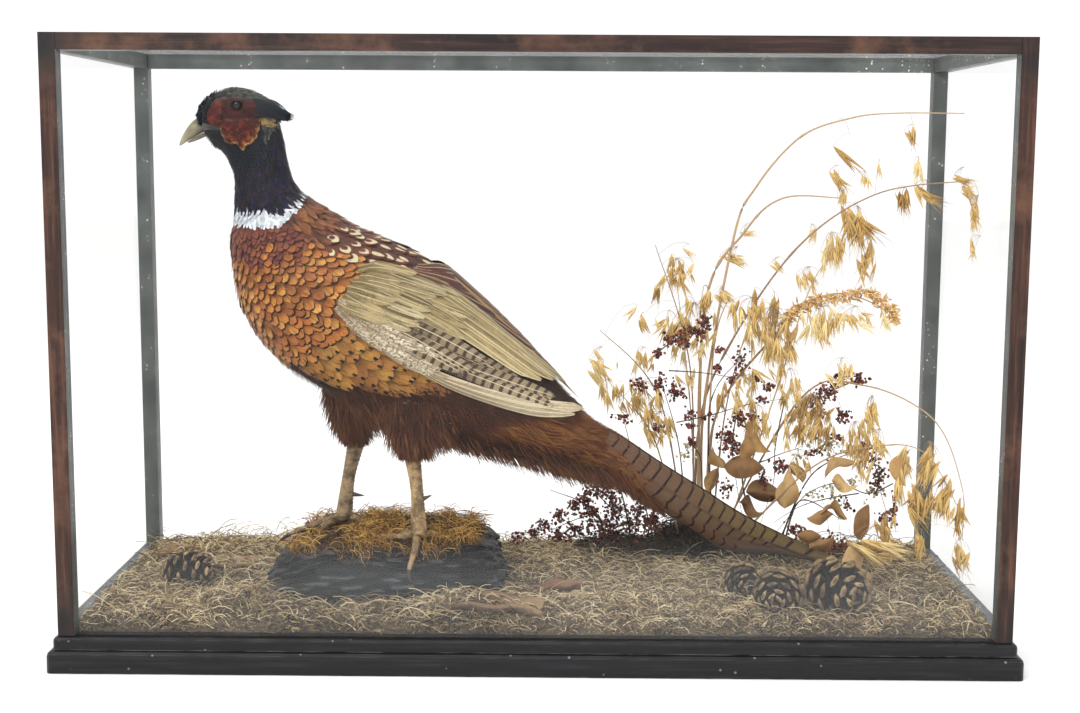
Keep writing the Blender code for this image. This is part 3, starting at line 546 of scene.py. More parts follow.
    def marked(self, tree: NodeTree, colour: Socket, u: Socket, v: Socket, chance: Socket) -> Socket:
        """Lays the drop-shaped mark and its hollow over a colour.

        Args:
            tree: The tree being wired.
            colour: The colour under the mark.
            u: Place across the vane.
            v: Place along it.
            chance: Each feather's own random value, which varies the mark's size.

        Returns:
            The marked colour.
        """
        mark = self.mark
        x = tree.add("Math", {0: u, 1: mark.width}, operation="DIVIDE")
        y = tree.add("Math", {0: v, 1: 1 / mark.length, 2: -mark.v / mark.length}, operation="MULTIPLY_ADD")
        grow = tree.add("MapRange", {"Value": chance, "To Min": 1.35, "To Max": 0.8})
        far = tree.add("Math", {0: tree.add("VectorMath", {
            "Vector": tree.add("CombineXYZ", {"X": x, "Y": y})}, "Value", operation="LENGTH"), 1: grow},
            operation="MULTIPLY")
        inside = colour
        share = tree.add("MapRange", {"Value": far, "From Min": 1.08, "From Max": 0.92},
                         interpolation_type="SMOOTHSTEP")
        colour = tree.add("Mix", {0: share, 6: colour, 7: linear(mark.colour)}, 2, data_type="RGBA")
        if mark.hollow:
            low = tree.add("Math", {0: y, 1: 0.45})
            near = tree.add("VectorMath", {"Vector": tree.add("CombineXYZ", {"X": x, "Y": low})},
                            "Value", operation="LENGTH")
            share = tree.add("MapRange", {
                "Value": near, "From Min": mark.hollow + 0.1, "From Max": mark.hollow - 0.1},
                interpolation_type="SMOOTHSTEP")
            colour = tree.add("Mix", {0: share, 6: colour, 7: inside}, 2, data_type="RGBA")
        return colour


GLOSS = VaneFinish("iridescent_head_feather", roughness=0.48, sheen=0.02, barb=0.7, level=0.13)
BUFF = VaneFinish("buff_ear_covert", roughness=0.7, barb=0.3)
WHITE_RING = VaneFinish("white_collar_feather", roughness=0.7, barb=0.3)
BREAST = VaneFinish("copper_breast_feather", tip="#160C09", tip_start=0.83, notch=0.10, barb=0.5,
                    roughness=0.5, streak="#7A441C", blunt=0.5)
FLANK = VaneFinish("amber_flank_feather", tip="#120C0B", tip_start=0.925, notch=0.30, barb=0.45,
                   roughness=0.5, streak="#6E451B", blunt=0.5)
UPPER_BREAST = VaneFinish("purple_breast_feather", tip="#23100F", tip_start=0.82, barb=0.4)
MANTLE = VaneFinish("mantle_feather", tip="#8A5330", tip_start=0.9, barb=0.6, streak="#241410")
CREAM_MARKED = VaneFinish("cream_marked_scapular", barb=0.3, streak="#3A1D16",
                          mark=Mark("#BFB391", v=0.72, length=0.24, width=0.62, hollow=0.60))
DROP_MARKED = VaneFinish("drop_marked_scapular", barb=0.3, streak="#341915",
                         mark=Mark("#BFB28E", v=0.72, length=0.22, width=0.36))
BACK = VaneFinish("maroon_back_feather", rim="#A58A63", rim_start=0.68, barb=0.35, streak="#2F1813")
TERTIAL = VaneFinish("maroon_tertial", rim="#A58E62", rim_start=0.70, barb=0.3, shaft="#C9B88E",
                     streak="#2E1813")
COVERT = VaneFinish("olive_wing_covert", barb=0.5, shaft="#BFB28C", streak="#57482E")
STREAKED = VaneFinish("streaked_wing_covert", barb=0.45, shaft="#C2B692", rim="#B0A27C", rim_start=0.66,
                      streak="#43331F")
PALE_COVERT = VaneFinish("mottled_primary_covert", barb=0.4, mottle="#7C6851", mottle_size=2.0,
                         streak="#6E5C46")
SECONDARY = VaneFinish("olive_secondary", barb=0.35, shaft="#CDC19A", rim="#C9BC94", rim_start=0.7,
                       streak="#6E5D40")
PRIMARY = VaneFinish("barred_primary", barb=0.3, shaft="#D2C5A2", bars="#45352A", bar_pitch=4.4,
                     bar_share=0.5, bar_slant=-0.3, streak="#8F7C62")
OUTER_PRIMARY = VaneFinish("pale_primary", barb=0.3, shaft="#D9CDB0", streak="#8A775E", rim="#CBBD9E",
                           rim_start=0.6)
# The tail's dark rim is partly the feathers' own purplish-brown fringe and partly painted shadow along the
# seams where one feather overlaps the next.
TAIL = VaneFinish("barred_tail_feather", barb=0.5, bars="#24100F", bar_pitch=6.9, bar_share=0.25,
                  bar_slant=0.35, rim="#5E3C34", rim_start=0.82, streak="#4C3824")
HAIR = VaneFinish("loose_webbed_feather", roughness=0.7, barb=0.25)


# ---------------------------------------------------------------- the bird's form
MIDLINE = -15.0


class Side(Enum):
    """A side of the bird. Its value is the sign of Y from the bird's middle."""

    NEAR = -1
    FAR = 1

    @property
    def hand(self) -> str:
        """The bird's own hand on this side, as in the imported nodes' names."""
        return "left" if self is Side.NEAR else "right"


# Sections of the body: top x, z; low x, z; half its width; y of its middle; how far it narrows
# upwards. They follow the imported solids, station by station from bill to tail.
STATIONS = np.array((
    (-306.0, 470.0, -299.5, 453.5, 7.5, -15, 0.0), (-300.5, 484.0, -292.5, 443.5, 14.0, -15, 0.0),
    (-276.0, 497.5, -282.5, 435.5, 19.5, -15, 0.0), (-244.0, 487.5, -275.0, 417.0, 20.5, -15, 0.0),
    (-231.5, 457.5, -275.0, 405.0, 20.0, -15, 0.0), (-226.5, 432.0, -276.0, 391.5, 20.5, -15, 0.0),
    (-219.5, 412.5, -277.5, 373.5, 23.0, -15, 0.0), (-205.0, 399.0, -280.5, 350.5, 34.0, -15, 0.0),
    (-160.0, 373.0, -270.5, 295.5, 55.0, -15, 0.0), (-103.0, 348.0, -237.0, 248.0, 62.0, -15, 0.0),
    (-53.0, 306.0, -177.0, 211.0, 58.0, -15, 0.0), (-5.0, 260.5, -99.0, 176.0, 46.0, -15, 0.0),
    (42.0, 207.0, 8.0, 156.0, 31.0, -15, 0.1), (77.0, 182.0, 63.5, 144.0, 25.0, -10, 0.35),
    (115.0, 154.5, 98.5, 118.0, 25.0, -3, 0.5), (153.5, 129.0, 144.5, 88.0, 23.0, 5, 0.5),
    (192.5, 103.0, 179.0, 65.5, 19.0, 13, 0.5), (232.0, 80.0, 227.5, 60.0, 12.0, 21, 0.4),
    (296.5, 49.0, 296.5, 44.0, 3.5, 30, 0.0)))
BODY_END = float(len(STATIONS) - 1)
# Where the body lies on the unwrapped sheet: corner, width and height.
BODY_SHEET = (0.02, 0.30, 0.96, 0.68)
# Folded wing: upper and lower edge (x, z) and how far it stands off the body.
WING_EDGES = np.array((
    (-173.0, 322.0, -175.5, 305.0, 3.0), (-157.0, 338.0, -160.0, 285.0, 6.0),
    (-122.0, 337.0, -127.0, 258.0, 7.5),
    (-82.0, 315.0, -86.0, 237.0, 7.5), (-42.0, 282.0, -44.0, 220.0, 7.0), (-3.0, 245.0, -3.0, 205.0, 5.5),
    (26.0, 218.0, 22.0, 195.5, 3.5), (41.0, 202.0, 37.0, 194.5, 2.0)))
# Thighs: x, y, z, half length along X, half width along Y, from the body down to the hock.
THIGHS = {
    Side.NEAR: np.array(((-100.0, -38.0, 232.0, 40.0, 22.0), (-106.0, -42.0, 198.0, 31.0, 20.0),
                         (-110.0, -45.0, 178.0, 17.0, 15.0), (-112.0, -46.0, 166.0, 8.6, 8.4))),
    Side.FAR: np.array(((-164.0, 2.0, 244.0, 34.0, 20.0), (-171.0, 6.0, 214.0, 26.0, 19.0),
                        (-172.0, 9.0, 186.0, 17.0, 15.0), (-171.0, 11.0, 166.0, 8.8, 8.4))),
}


@dataclass
class Surface:
    """A round form: u runs along it, v turns round it, and both are read from a fine grid."""

    shape: Callable[[Array, Array], Array]
    length: float
    sheet: tuple[float, float, float, float]
    steps: int = 40
    turns: int = 192
    grid: Array = field(init=False, repr=False)

    def __post_init__(self) -> None:
        """Samples places, outward normals and the lengths of a step of u and of v."""
        u, v = lattice(np.linspace(0, self.length, int(self.length * self.steps) + 1),
                       np.linspace(0, TAU, self.turns + 1))
        step = 1e-3
        place = self.shape(u, v)
        after, before = np.minimum(u + step, self.length), np.maximum(u - step, 0)
        ahead = (self.shape(after, v) - self.shape(before, v)) / (after - before)[..., None]
        across = (self.shape(u, v + step) - self.shape(u, v - step)) / (2 * step)
        lengths = [np.linalg.norm(way, axis=-1, keepdims=True) for way in (ahead, across)]
        self.grid = np.concatenate([place, unit(np.cross(across, ahead)), *lengths], axis=-1)

    def read(self, u: Array, v: Array) -> Array:
        """Place, normal and the two step lengths at (u, v), eight numbers each."""
        return self.read_from(self.grid, u, v)

    def read_from(self, grid: Array, u: Array, v: Array) -> Array:
        """Reads another grid of the same form at (u, v)."""
        rows, columns = grid.shape[:2]
        return read_grid(grid, np.clip(u / self.length, 0, 1) * (rows - 1),
                         np.mod(v, TAU) / TAU * (columns - 1))

    def bake(self, u: Array, v: Array) -> Array:
        """The place of (u, v) on the unwrapped form."""
        x, y, width, height = self.sheet
        return np.stack([x + np.mod(v, TAU) / TAU * width, y + np.clip(u / self.length, 0, 1) * height], -1)

    def sample(self, name: str, keep: Callable[[Array, Array], Array], rows: int,
               columns: int) -> bpy.types.Mesh:
        """An open sheet of the form where keep(u, v) is true, that carries u and v.

        Args:
            name: The mesh's name.
            keep: Which middles of faces stay.
            rows: Steps along.
            columns: Steps round.

        Returns:
            The mesh.
        """
        u, v = lattice(np.linspace(0, self.length, rows), np.linspace(0, TAU, columns))
        v = np.minimum(v, TAU - 1e-6)
        quads = strip_faces(1, rows, columns)
        flat_u, flat_v = u.ravel(), v.ravel()
        quads = quads[keep(flat_u[quads].mean(1), flat_v[quads].mean(1))]
        mesh = make_mesh(name, self.read(flat_u, flat_v)[:, :3], quads)
        add_values(mesh, "u", "FLOAT", flat_u)
        add_values(mesh, "v", "FLOAT", flat_v)
        return mesh


def body_shape(u: Array, v: Array) -> Array:
    """The body's bare form, without its plumage or wings.

    Args:
        u: Stations from the bill.
        v: Angles round the body.

    Returns:
        Rows of x, y, z.
    """
    row = spline(STATIONS, u)
    top = np.stack([row[..., 0], row[..., 5], row[..., 1]], -1)
    low = np.stack([row[..., 2], row[..., 5], row[..., 3]], -1)
    up = top - low
    height = np.linalg.norm(up, axis=-1, keepdims=True)
    up = up / height
    depth = coat_depth(u)[..., None]
    narrow = (1 - np.maximum(0, row[..., 6]) * (0.5 + 0.5 * np.sin(v)))[..., None]
    point = (top + low) / 2 + up * (height / 2 - depth) * np.sin(v)[..., None]
    return point + np.array([0, 1.0, 0]) * (row[..., 4:5] - depth) * np.cos(v)[..., None] * narrow


def coat_depth(u: Array) -> Array:
    """How far the skin lies inside the plumage, in millimetres."""
    return np.interp(u, (0, 1, 4, 7, 9, 12, 14, 17, 18), (0.9, 1.3, 1.6, 2.6, 3.4, 3.4, 2.2, 1.5, 0.8))


def thigh_shape(rows: Array) -> Callable[[Array, Array], Array]:
    """The form of one thigh from its table.

    Args:
        rows: Its rows of x, y, z, half length and half width.

    Returns:
        A function of u and v.
    """
    def shape(u: Array, v: Array) -> Array:
        """Places on the thigh at (u, v).

        Args:
            u: Stations down the thigh.
            v: Angles round it.

        Returns:
            Rows of x, y, z.
        """
        row = spline(rows, u)
        size = row[..., 3:5] - 1.5
        return row[..., :3] + np.stack([size[..., 0] * np.cos(v), -size[..., 1] * np.sin(v), 0 * v], -1)
    return shape


class Body:
    """The bird's body: one form from bill to tail, with the folded wings as low swellings."""

    def __init__(self) -> None:
        """Samples the bare form, raises the wings on it, and samples it again."""
        self.form = Surface(body_shape, BODY_END, BODY_SHEET)
        self.pad = self.wing_pad()
        self.skin = Surface(self.padded, BODY_END, BODY_SHEET)

    def chart(self, spots: Array, side: Side = Side.NEAR) -> Array:
        """Finds (u, v) of places given as (x, z) in side view.

        Args:
            spots: Rows of x, z.
            side: The side of the bird.

        Returns:
            Rows of u, v.
        """
        rows, columns = self.form.grid.shape[:2]
        half = slice(columns // 4, 3 * columns // 4 + 1)
        seen = self.form.grid[:, half, :][..., (0, 2)]
        us = np.linspace(0, self.form.length, rows)
        vs = np.linspace(0, TAU, columns)[half]
        found = []
        for spot in np.atleast_2d(spots):
            i, j = np.unravel_index(((seen - spot) ** 2).sum(-1).argmin(), seen.shape[:2])
            at = np.array([us[i], vs[j]])
            for _ in range(3):
                here = self.form.read(at[:1], at[1:])[0, (0, 2),]
                du = (self.form.read(at[:1] + 0.02, at[1:])[0, (0, 2),] - here) / 0.02
                dv = (self.form.read(at[:1], at[1:] + 0.02)[0, (0, 2),] - here) / 0.02
                slope = np.stack([du, dv], -1)
                if abs(np.linalg.det(slope)) < 50:
                    break
                at = at + np.clip(np.linalg.solve(slope, spot - here), -0.1, 0.1)
            found.append(at)
        found = np.array(found)
        if side is Side.FAR:
            found[:, 1] = np.pi - found[:, 1]
        return found

    def wing_pad(self) -> Array:
        """Heights of the folded wings over the form's grid."""
        rows, columns = self.form.grid.shape[:2]
        x, z = self.form.grid[..., 0], self.form.grid[..., 2]
        t = np.linspace(0, len(WING_EDGES) - 1, 141)
        edge = spline(WING_EDGES, t)
        middle = (edge[:, 0:2] + edge[:, 2:4]) / 2
        reach = np.linalg.norm(edge[:, 0:2] - edge[:, 2:4], axis=1) / 2
        axis = (edge[:, 0:2] - edge[:, 2:4]) / (2 * reach[:, None])
        pad = np.zeros((rows, columns))
        stations = np.linspace(0, BODY_END, rows)
        for i in np.flatnonzero((stations > 7.5) & (stations < 12.8)):
            apart = np.stack([x[i], z[i]], -1)[:, None] - middle
            across = np.abs((apart * axis).sum(-1))
            along = np.abs((apart * axis[:, ::-1] * (1, -1)).sum(-1))
            near = along.argmin(1)
            share = across[np.arange(columns), near] / reach[near]
            off = smooth(along.min(1), 10.0, 1.0)
            pad[i] = edge[near, 4] * np.sqrt(np.clip(1 - share ** 2.5, 0, 1)) * off
        for _ in range(3):
            pad = (pad + sum(np.roll(pad, step, axis) for axis in (0, 1) for step in (1, -1))) / 5
        return pad[..., None]

    def pad_at(self, u: Array, v: Array) -> Array:
        """Height of the wings' swelling at (u, v)."""
        return self.form.read_from(self.pad, u, v)[..., 0]

    def padded(self, u: Array, v: Array) -> Array:
        """The form with the wings' swelling."""
        here = self.form.read(u, v)
        return here[..., :3] + here[..., 3:6] * self.pad_at(u, v)[..., None]


# ---------------------------------------------------------------- plumage
class Tract(Enum):
    """The feather tracts, each with its own size, colours and markings."""

    CROWN = 0
    HEAD = 1
    NECK = 2
    COLLAR = 3
    UPPER_BREAST = 4
    BREAST = 5
    FLANK = 6
    BELLY = 7
    MANTLE = 8
    CREAM = 9
    DROP = 10
    BACK = 11
    RUMP = 12
    TAIL = 13


@dataclass(frozen=True)
class Coat:
    """How one tract's feathers look: sizes in millimetres, splay in degrees, colours at root and tip.

    Rows and columns are the points along and across a vane. Blunt is where its round tip starts, as a
    share of its length, and sag holds its lift back towards the tip.
    """

    tract: Tract
    finish: VaneFinish
    spacing: float
    length: float
    width: float
    rise: float
    roots: tuple[str, ...]
    tips: tuple[str, ...]
    rows: int = 6
    columns: int = 3
    splay: float = 9.0
    blunt: float = 0.5
    sag: float = 0.0


COATS = (
    Coat(Tract.CROWN, GLOSS, 1.9, 6.5, 2.6, 1.3, ("#1C1F20", "#23272A"),
         ("#2B3134", "#4F5148", "#3F463F", "#5C5B4E"), rows=5, splay=14.0),
    Coat(Tract.HEAD, GLOSS, 1.9, 5.6, 2.6, 1.2, ("#08090B", "#0D1013"),
         ("#161A22", "#1B2127", "#141B28"), rows=5, splay=16.0),
    Coat(Tract.NECK, GLOSS, 2.5, 9.0, 3.6, 1.4, ("#0B0B10", "#101016"),
         ("#17171F", "#221E40", "#101C1E", "#2C1D3E", "#131316", "#15142A", "#332430", "#2A1F1C"),
         rows=5, splay=13.0),
    Coat(Tract.COLLAR, WHITE_RING, 1.8, 6.5, 4.0, 1.2, ("#A9AEB3", "#B5BABE"),
         ("#AEB4BA", "#CDD2D7", "#E3E6E9"), rows=5, splay=10.0),
    Coat(Tract.UPPER_BREAST, UPPER_BREAST, 3.9, 11.0, 7.2, 1.5, ("#3B1E18", "#46231C"),
         ("#6A3629", "#76402C", "#5A2A2A", "#7E472C"), rows=7, columns=5, splay=7.0),
    Coat(Tract.BREAST, BREAST, 5.6, 15.5, 11.0, 2.2, ("#5E3216", "#6B3A19"),
         ("#A8642A", "#B87A32", "#8F5424", "#BC863C"), rows=9, columns=7, splay=8.0, blunt=0.5),
    Coat(Tract.FLANK, FLANK, 8.4, 23.0, 17.0, 2.4, ("#4E3014", "#5C3A18"),
         ("#94632A", "#A06E30", "#875727", "#AB7C38"), rows=10, columns=7, splay=8.0, blunt=0.5),
    Coat(Tract.MANTLE, MANTLE, 3.6, 15.0, 5.6, 1.6, ("#3A2016", "#4E2C1B"),
         ("#74452A", "#85502E", "#5E3523", "#8E5933"), splay=15.0),
    Coat(Tract.CREAM, CREAM_MARKED, 8.6, 21.0, 15.0, 1.9, ("#41241C", "#4A2A20"),
         ("#5E3323", "#52291E", "#6B3E2B"), rows=10, columns=7, splay=14.0),
    Coat(Tract.DROP, DROP_MARKED, 9.4, 27.0, 14.0, 1.9, ("#3D211B", "#48261E"),
         ("#52281E", "#4A2219", "#5E3224"), rows=10, columns=7, splay=11.0),
    Coat(Tract.BACK, BACK, 6.5, 30.0, 9.0, 2.0, ("#3D241B", "#4A2C20"),
         ("#552D22", "#6B4431", "#4A271F"), rows=8, columns=5, splay=9.0, blunt=0.3),
)
# Loose, hair-like feathers: narrow, long and standing further off.
HAIRS = (
    Coat(Tract.BELLY, HAIR, 1.75, 17.0, 1.3, 3.6, ("#1E0F0A", "#28140D"),
         ("#3A1E12", "#4E2A18", "#28150F", "#5E3822"), rows=5, columns=2, splay=22.0, sag=0.5),
    Coat(Tract.RUMP, HAIR, 1.75, 21.0, 1.3, 3.0, ("#381A0E", "#482413"),
         ("#5E3016", "#74431D", "#93652E", "#4A2612"), rows=5, columns=2, splay=15.0, sag=0.3),
)


def ring_band(place: Array) -> tuple[Array, Array]:
    """Lower and upper edge of the white collar at each place, as heights.

    Args:
        place: Rows of x, y, z.

    Returns:
        The two heights.
    """
    rise = smooth(place[..., 0], -232.0, -215.0)
    ragged = 1.2 * np.sin(place[..., 0] * 0.9) + 1.0 * np.sin(place[..., 1] * 1.3)
    thin = smooth(place[..., 0], -219.0, -213.0)
    return 377.0 + 16.0 * rise + 0.5 * ragged + 18 * thin, 389.5 + 11.0 * rise + 0.7 * ragged + 8 * thin


def tract_at(u: Array, v: Array, place: Array) -> Array:
    """Which tract each point of the body belongs to.

    Args:
        u: Stations from the bill.
        v: Angles round the body.
        place: Rows of x, y, z.

    Returns:
        The tract's value for each point.
    """
    s = np.sin(v)
    jig = 0.05 * np.sin(place[..., 0] * 0.37 + place[..., 1] * 0.23) + 0.05 * np.sin(place[..., 2] * 0.31)
    found = np.full(np.shape(u), Tract.HEAD.value)
    found[(s > 0.50) & (u > 0.5) & (u < 3.7)] = Tract.CROWN.value
    low, high = ring_band(place)
    lower = (u > 4.0) & (place[..., 2] < high)
    found[(u > 3.9) & ~lower] = Tract.NECK.value
    found[lower & (place[..., 2] >= low)] = Tract.COLLAR.value
    body = lower & (place[..., 2] < low)
    found[body] = Tract.BREAST.value
    found[body & (s < 0.45 + jig) & (u < 7.25 + 0.38 * (s + 0.8) + 2 * jig)] = Tract.UPPER_BREAST.value
    found[body & (s > 0.42 + jig) & (u < 7.75 + jig)] = Tract.MANTLE.value
    found[body & (s > 0.58 + jig) & (u >= 7.62 + jig)] = Tract.CREAM.value
    found[body & (s > 0.60 + jig) & (u >= 8.25 + jig)] = Tract.DROP.value
    found[body & (s > 0.40 + jig) & (u >= 9.1 + jig)] = Tract.BACK.value
    found[body & (s <= 0.40 + jig) & (u > 9.05 + jig)] = Tract.FLANK.value
    edge = -0.84 + 0.52 * smooth(u, 9.5, 10.35) + 1.4 * smooth(u, 10.25, 10.7)
    found[body & (u > 8.9) & (s < edge + jig)] = Tract.BELLY.value
    found[(u > 11.35 + 0.5 * s) & (s > -0.45)] = Tract.RUMP.value
    found[(u > 12.4 + 0.3 * s + jig)] = Tract.RUMP.value
    found[(u > 13.55 - 0.65 * s + jig)] = Tract.TAIL.value
    return found


def mixed(codes: Sequence[str], draw: np.random.Generator, count: int) -> Array:
    """Random blends of the given colours, one for each feather.

    Args:
        codes: The colours as hex codes.
        draw: The random draws.
        count: How many feathers.

    Returns:
        Rows of colour.
    """
    palette = np.array([shade(c) for c in codes])
    one = palette[draw.integers(0, len(palette), count)]
    two = palette[draw.integers(0, len(palette), count)]
    share = draw.random((count, 1))
    return (one * share + two * (1 - share)) * draw.uniform(0.85, 1.15, (count, 1))


def vane_outline(s: Array, root: float, gain: float, blunt: float, end: float) -> Array:
    """A vane's width along it, as a share: it widens from the root and rounds off between blunt and end."""
    rounded = np.clip(1 - (np.maximum(0, s - blunt) / (end - blunt)) ** 2, 0, 1)
    return np.minimum(root + gain * s, 1.0) * np.sqrt(rounded)


class Vanes:
    """Feathers of one finish, laid on forms and joined to one mesh."""

    def __init__(self, name: str, finish: VaneFinish, slot: str, seed: int) -> None:
        """Starts with no feathers.

        Args:
            name: The piece's name.
            finish: The vane finish.
            slot: The record's slot that the finish belongs to.
            seed: The random seed.
        """
        self.name, self.finish, self.slot = name, finish, slot
        self.draw = np.random.default_rng(seed)
        self.parts: list[dict[str, Array]] = []
        self.quads: list[Array] = []
        self.count = 0

    def lay(self, form: Surface, spine: Array, widths: Array, heights: Array, roots: Array, tips: Array,
            columns: int = 3, camber: float = 0.10, web: tuple[float, float] = (-1.0, 1.0)) -> None:
        """Lays feathers along lines on a form.

        Args:
            form: The form they lie on.
            spine: Feather, step and (u, v).
            widths: Feather and step: half the vane's width.
            heights: Feather and step: how far the shaft stands off the form.
            roots: Each feather's colour at its root.
            tips: Each feather's colour at its tip.
            columns: Points across a vane.
            camber: How far its edges bend down, as a share of its half width.
            web: How far each web reaches, as a share of the half width.
        """
        here = form.read(spine[..., 0], spine[..., 1])
        lengths = np.maximum(here[..., 6:8], 0.5)
        ahead = np.gradient(spine, axis=1) * lengths
        step = np.linalg.norm(ahead, axis=-1, keepdims=True)
        ahead = unit(ahead)
        across = np.stack([-ahead[..., 1], ahead[..., 0]], -1)
        c = np.linspace(*web, columns)
        offset = across[:, :, None] * (widths[:, :, None] * c)[..., None] / lengths[:, :, None]
        spot = spine[:, :, None] + offset
        place = form.read(spot[..., 0], spot[..., 1])
        height = heights[:, :, None] - camber * widths[:, :, None] * c ** 2
        points = place[..., :3] + place[..., 3:6] * height[..., None]
        self.keep(points, (c + 1) / 2, step[..., 0].sum(1), widths.max(1), roots, tips,
                  form.bake(spine[:, 0, 0], spine[:, 0, 1]))

    def stand(self, spine: Array, out: Array, widths: Array, roots: Array, tips: Array, spots: Array,
              columns: int = 3) -> None:
        """Sets feathers that stand free of any form.

        Args:
            spine: Feather, step and x, y, z.
            out: The way each vane faces.
            widths: Feather and step: half the vane's width.
            roots: Each feather's colour at its root.
            tips: Each feather's colour at its tip.
            spots: Each root's place on the unwrapped skin.
            columns: Points across a vane.
        """
        ahead = np.gradient(spine, axis=1)
        step = np.linalg.norm(ahead, axis=-1, keepdims=True)
        across = unit(np.cross(unit(ahead), out))
        c = np.linspace(-1, 1, columns)
        points = spine[:, :, None] + across[:, :, None] * (widths[:, :, None] * c)[..., None]
        points = points - 0.25 * out[:, :, None] * (widths[:, :, None] * c ** 2)[..., None]
        self.keep(points, (c + 1) / 2, step[..., 0].sum(1), widths.max(1), roots, tips, spots)

    def keep(self, points: Array, wide: Array, lengths: Array, halves: Array, roots: Array, tips: Array,
             spots: Array) -> None:
        """Keeps a set of vanes with their maps and values.

        Args:
            points: Feather, step, column and x, y, z.
            wide: Place of each column across the vane, from 0 to 1.
            lengths: Each feather's length.
            halves: Each feather's half width.
            roots: Each feather's colour at its root.
            tips: Each feather's colour at its tip.
            spots: Each root's place on the unwrapped skin.
        """
        count, rows, columns = points.shape[:3]
        s = np.broadcast_to(np.linspace(0, 1, rows)[None, :, None], (count, rows, columns))
        wide = np.broadcast_to(wide, (count, rows, columns))
        size = np.stack([lengths, halves, self.draw.random(count)], -1)
        blend = smooth(s, 0.15, 0.75)[..., None]
        self.parts.append({
            "points": points.reshape(-1, 3),
            "vane": np.stack([wide, s], -1).reshape(-1, 2),
            "bake": (spots[:, None, None] + 0.003 * np.stack([wide, s], -1)).reshape(-1, 2),
            "size": np.broadcast_to(size[:, None, None], (count, rows, columns, 3)).reshape(-1, 3),
            "base": (roots[:, None, None] * (1 - blend) + tips[:, None, None] * blend).reshape(-1, 3)})
        self.quads.append(strip_faces(count, rows, columns) + self.count)
        self.count += count * rows * columns

    def grow(self, form: Surface, u: Array, v: Array, coat: Coat, turn: float | Array = 0.0,
             size: float | Array = 1.0) -> None:
        """Grows a tract's feathers from their roots.

        Args:
            form: The form they grow on.
            u: Roots' stations.
            v: Roots' angles.
            coat: The tract's sizes and colours.
            turn: How far they turn from the line of the body, in degrees.
            size: A factor on each feather's length and width.
        """
        count = len(u)
        size = size * self.draw.uniform(0.92, 1.08, count)
        angle = np.radians(turn + self.draw.normal(0, coat.splay, count))
        s = np.linspace(0, 1, coat.rows)
        bend = self.draw.normal(0, coat.splay * 0.6, count)
        heading = angle[:, None] + np.radians(bend)[:, None] * s
        here = form.read(u, v)
        lengths = np.maximum(here[:, None, 6:8], 0.5)
        reach = (coat.length * size)[:, None] * s
        step = np.stack([reach * np.cos(heading), reach * np.sin(heading)], -1) / lengths
        spine = np.stack([u, v], -1)[:, None] + step
        outline = 1.0 - 0.85 * s if coat.columns == 2 else vane_outline(s, 0.45, 1.3, coat.blunt, 1.02)
        widths = (coat.width / 2 * size)[:, None] * np.maximum(outline, 0.08)
        lift = self.draw.uniform(0.75, 1.3, count)[:, None] * coat.rise
        heights = 0.15 + lift * s ** (1.0 + 0.8 * coat.sag)
        self.lay(form, spine, widths, heights, mixed(coat.roots, self.draw, count),
                 mixed(coat.tips, self.draw, count), coat.columns)

    def piece(self) -> bpy.types.Object:
        """Joins the feathers to one object with its maps, values and finish."""
        whole = {key: np.concatenate([p[key] for p in self.parts]) for key in self.parts[0]}
        mesh = make_mesh(self.name, whole["points"], np.concatenate(self.quads))
        add_map(mesh, BAKE_MAP, whole["bake"])
        add_map(mesh, VANE_MAP, whole["vane"])
        add_values(mesh, "Size", "FLOAT_VECTOR", whole["size"])
        add_values(mesh, "Base", "FLOAT_COLOR", whole["base"])
        return place_piece(self.name, mesh, self.finish, self.slot)


def place_piece(name: str, mesh: bpy.types.Mesh, finish: Finish | None, slot: str,
                instead: Sequence[str] = ()) -> bpy.types.Object:
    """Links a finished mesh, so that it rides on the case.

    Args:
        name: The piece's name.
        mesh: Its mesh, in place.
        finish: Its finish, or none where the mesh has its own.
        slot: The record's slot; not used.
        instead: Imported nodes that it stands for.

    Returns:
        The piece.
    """
    piece = bpy.data.objects.new(name, mesh)
    bpy.context.scene.collection.objects.link(piece)
    if finish:
        mesh.materials.clear()
        mesh.materials.append(finish.material())
    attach(piece, BODY)
    if instead:
        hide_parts(*instead)
    mesh.calc_loop_triangles()
    LOG.info("%s: %d triangles", name, len(mesh.loop_triangles))
    return piece


@dataclass(frozen=True)
class Fan:
    """Long feathers set side by side, from a first to a last, in side view (x, z)."""

    finish: VaneFinish
    first: tuple[tuple[float, float], tuple[float, float]]
    last: tuple[tuple[float, float], tuple[float, float]]
    count: int
    width: float
    height: float
    step: float
    roots: tuple[str, ...]
    tips: tuple[str, ...]
    bow: float = 0.0
    blunt: float = 0.7


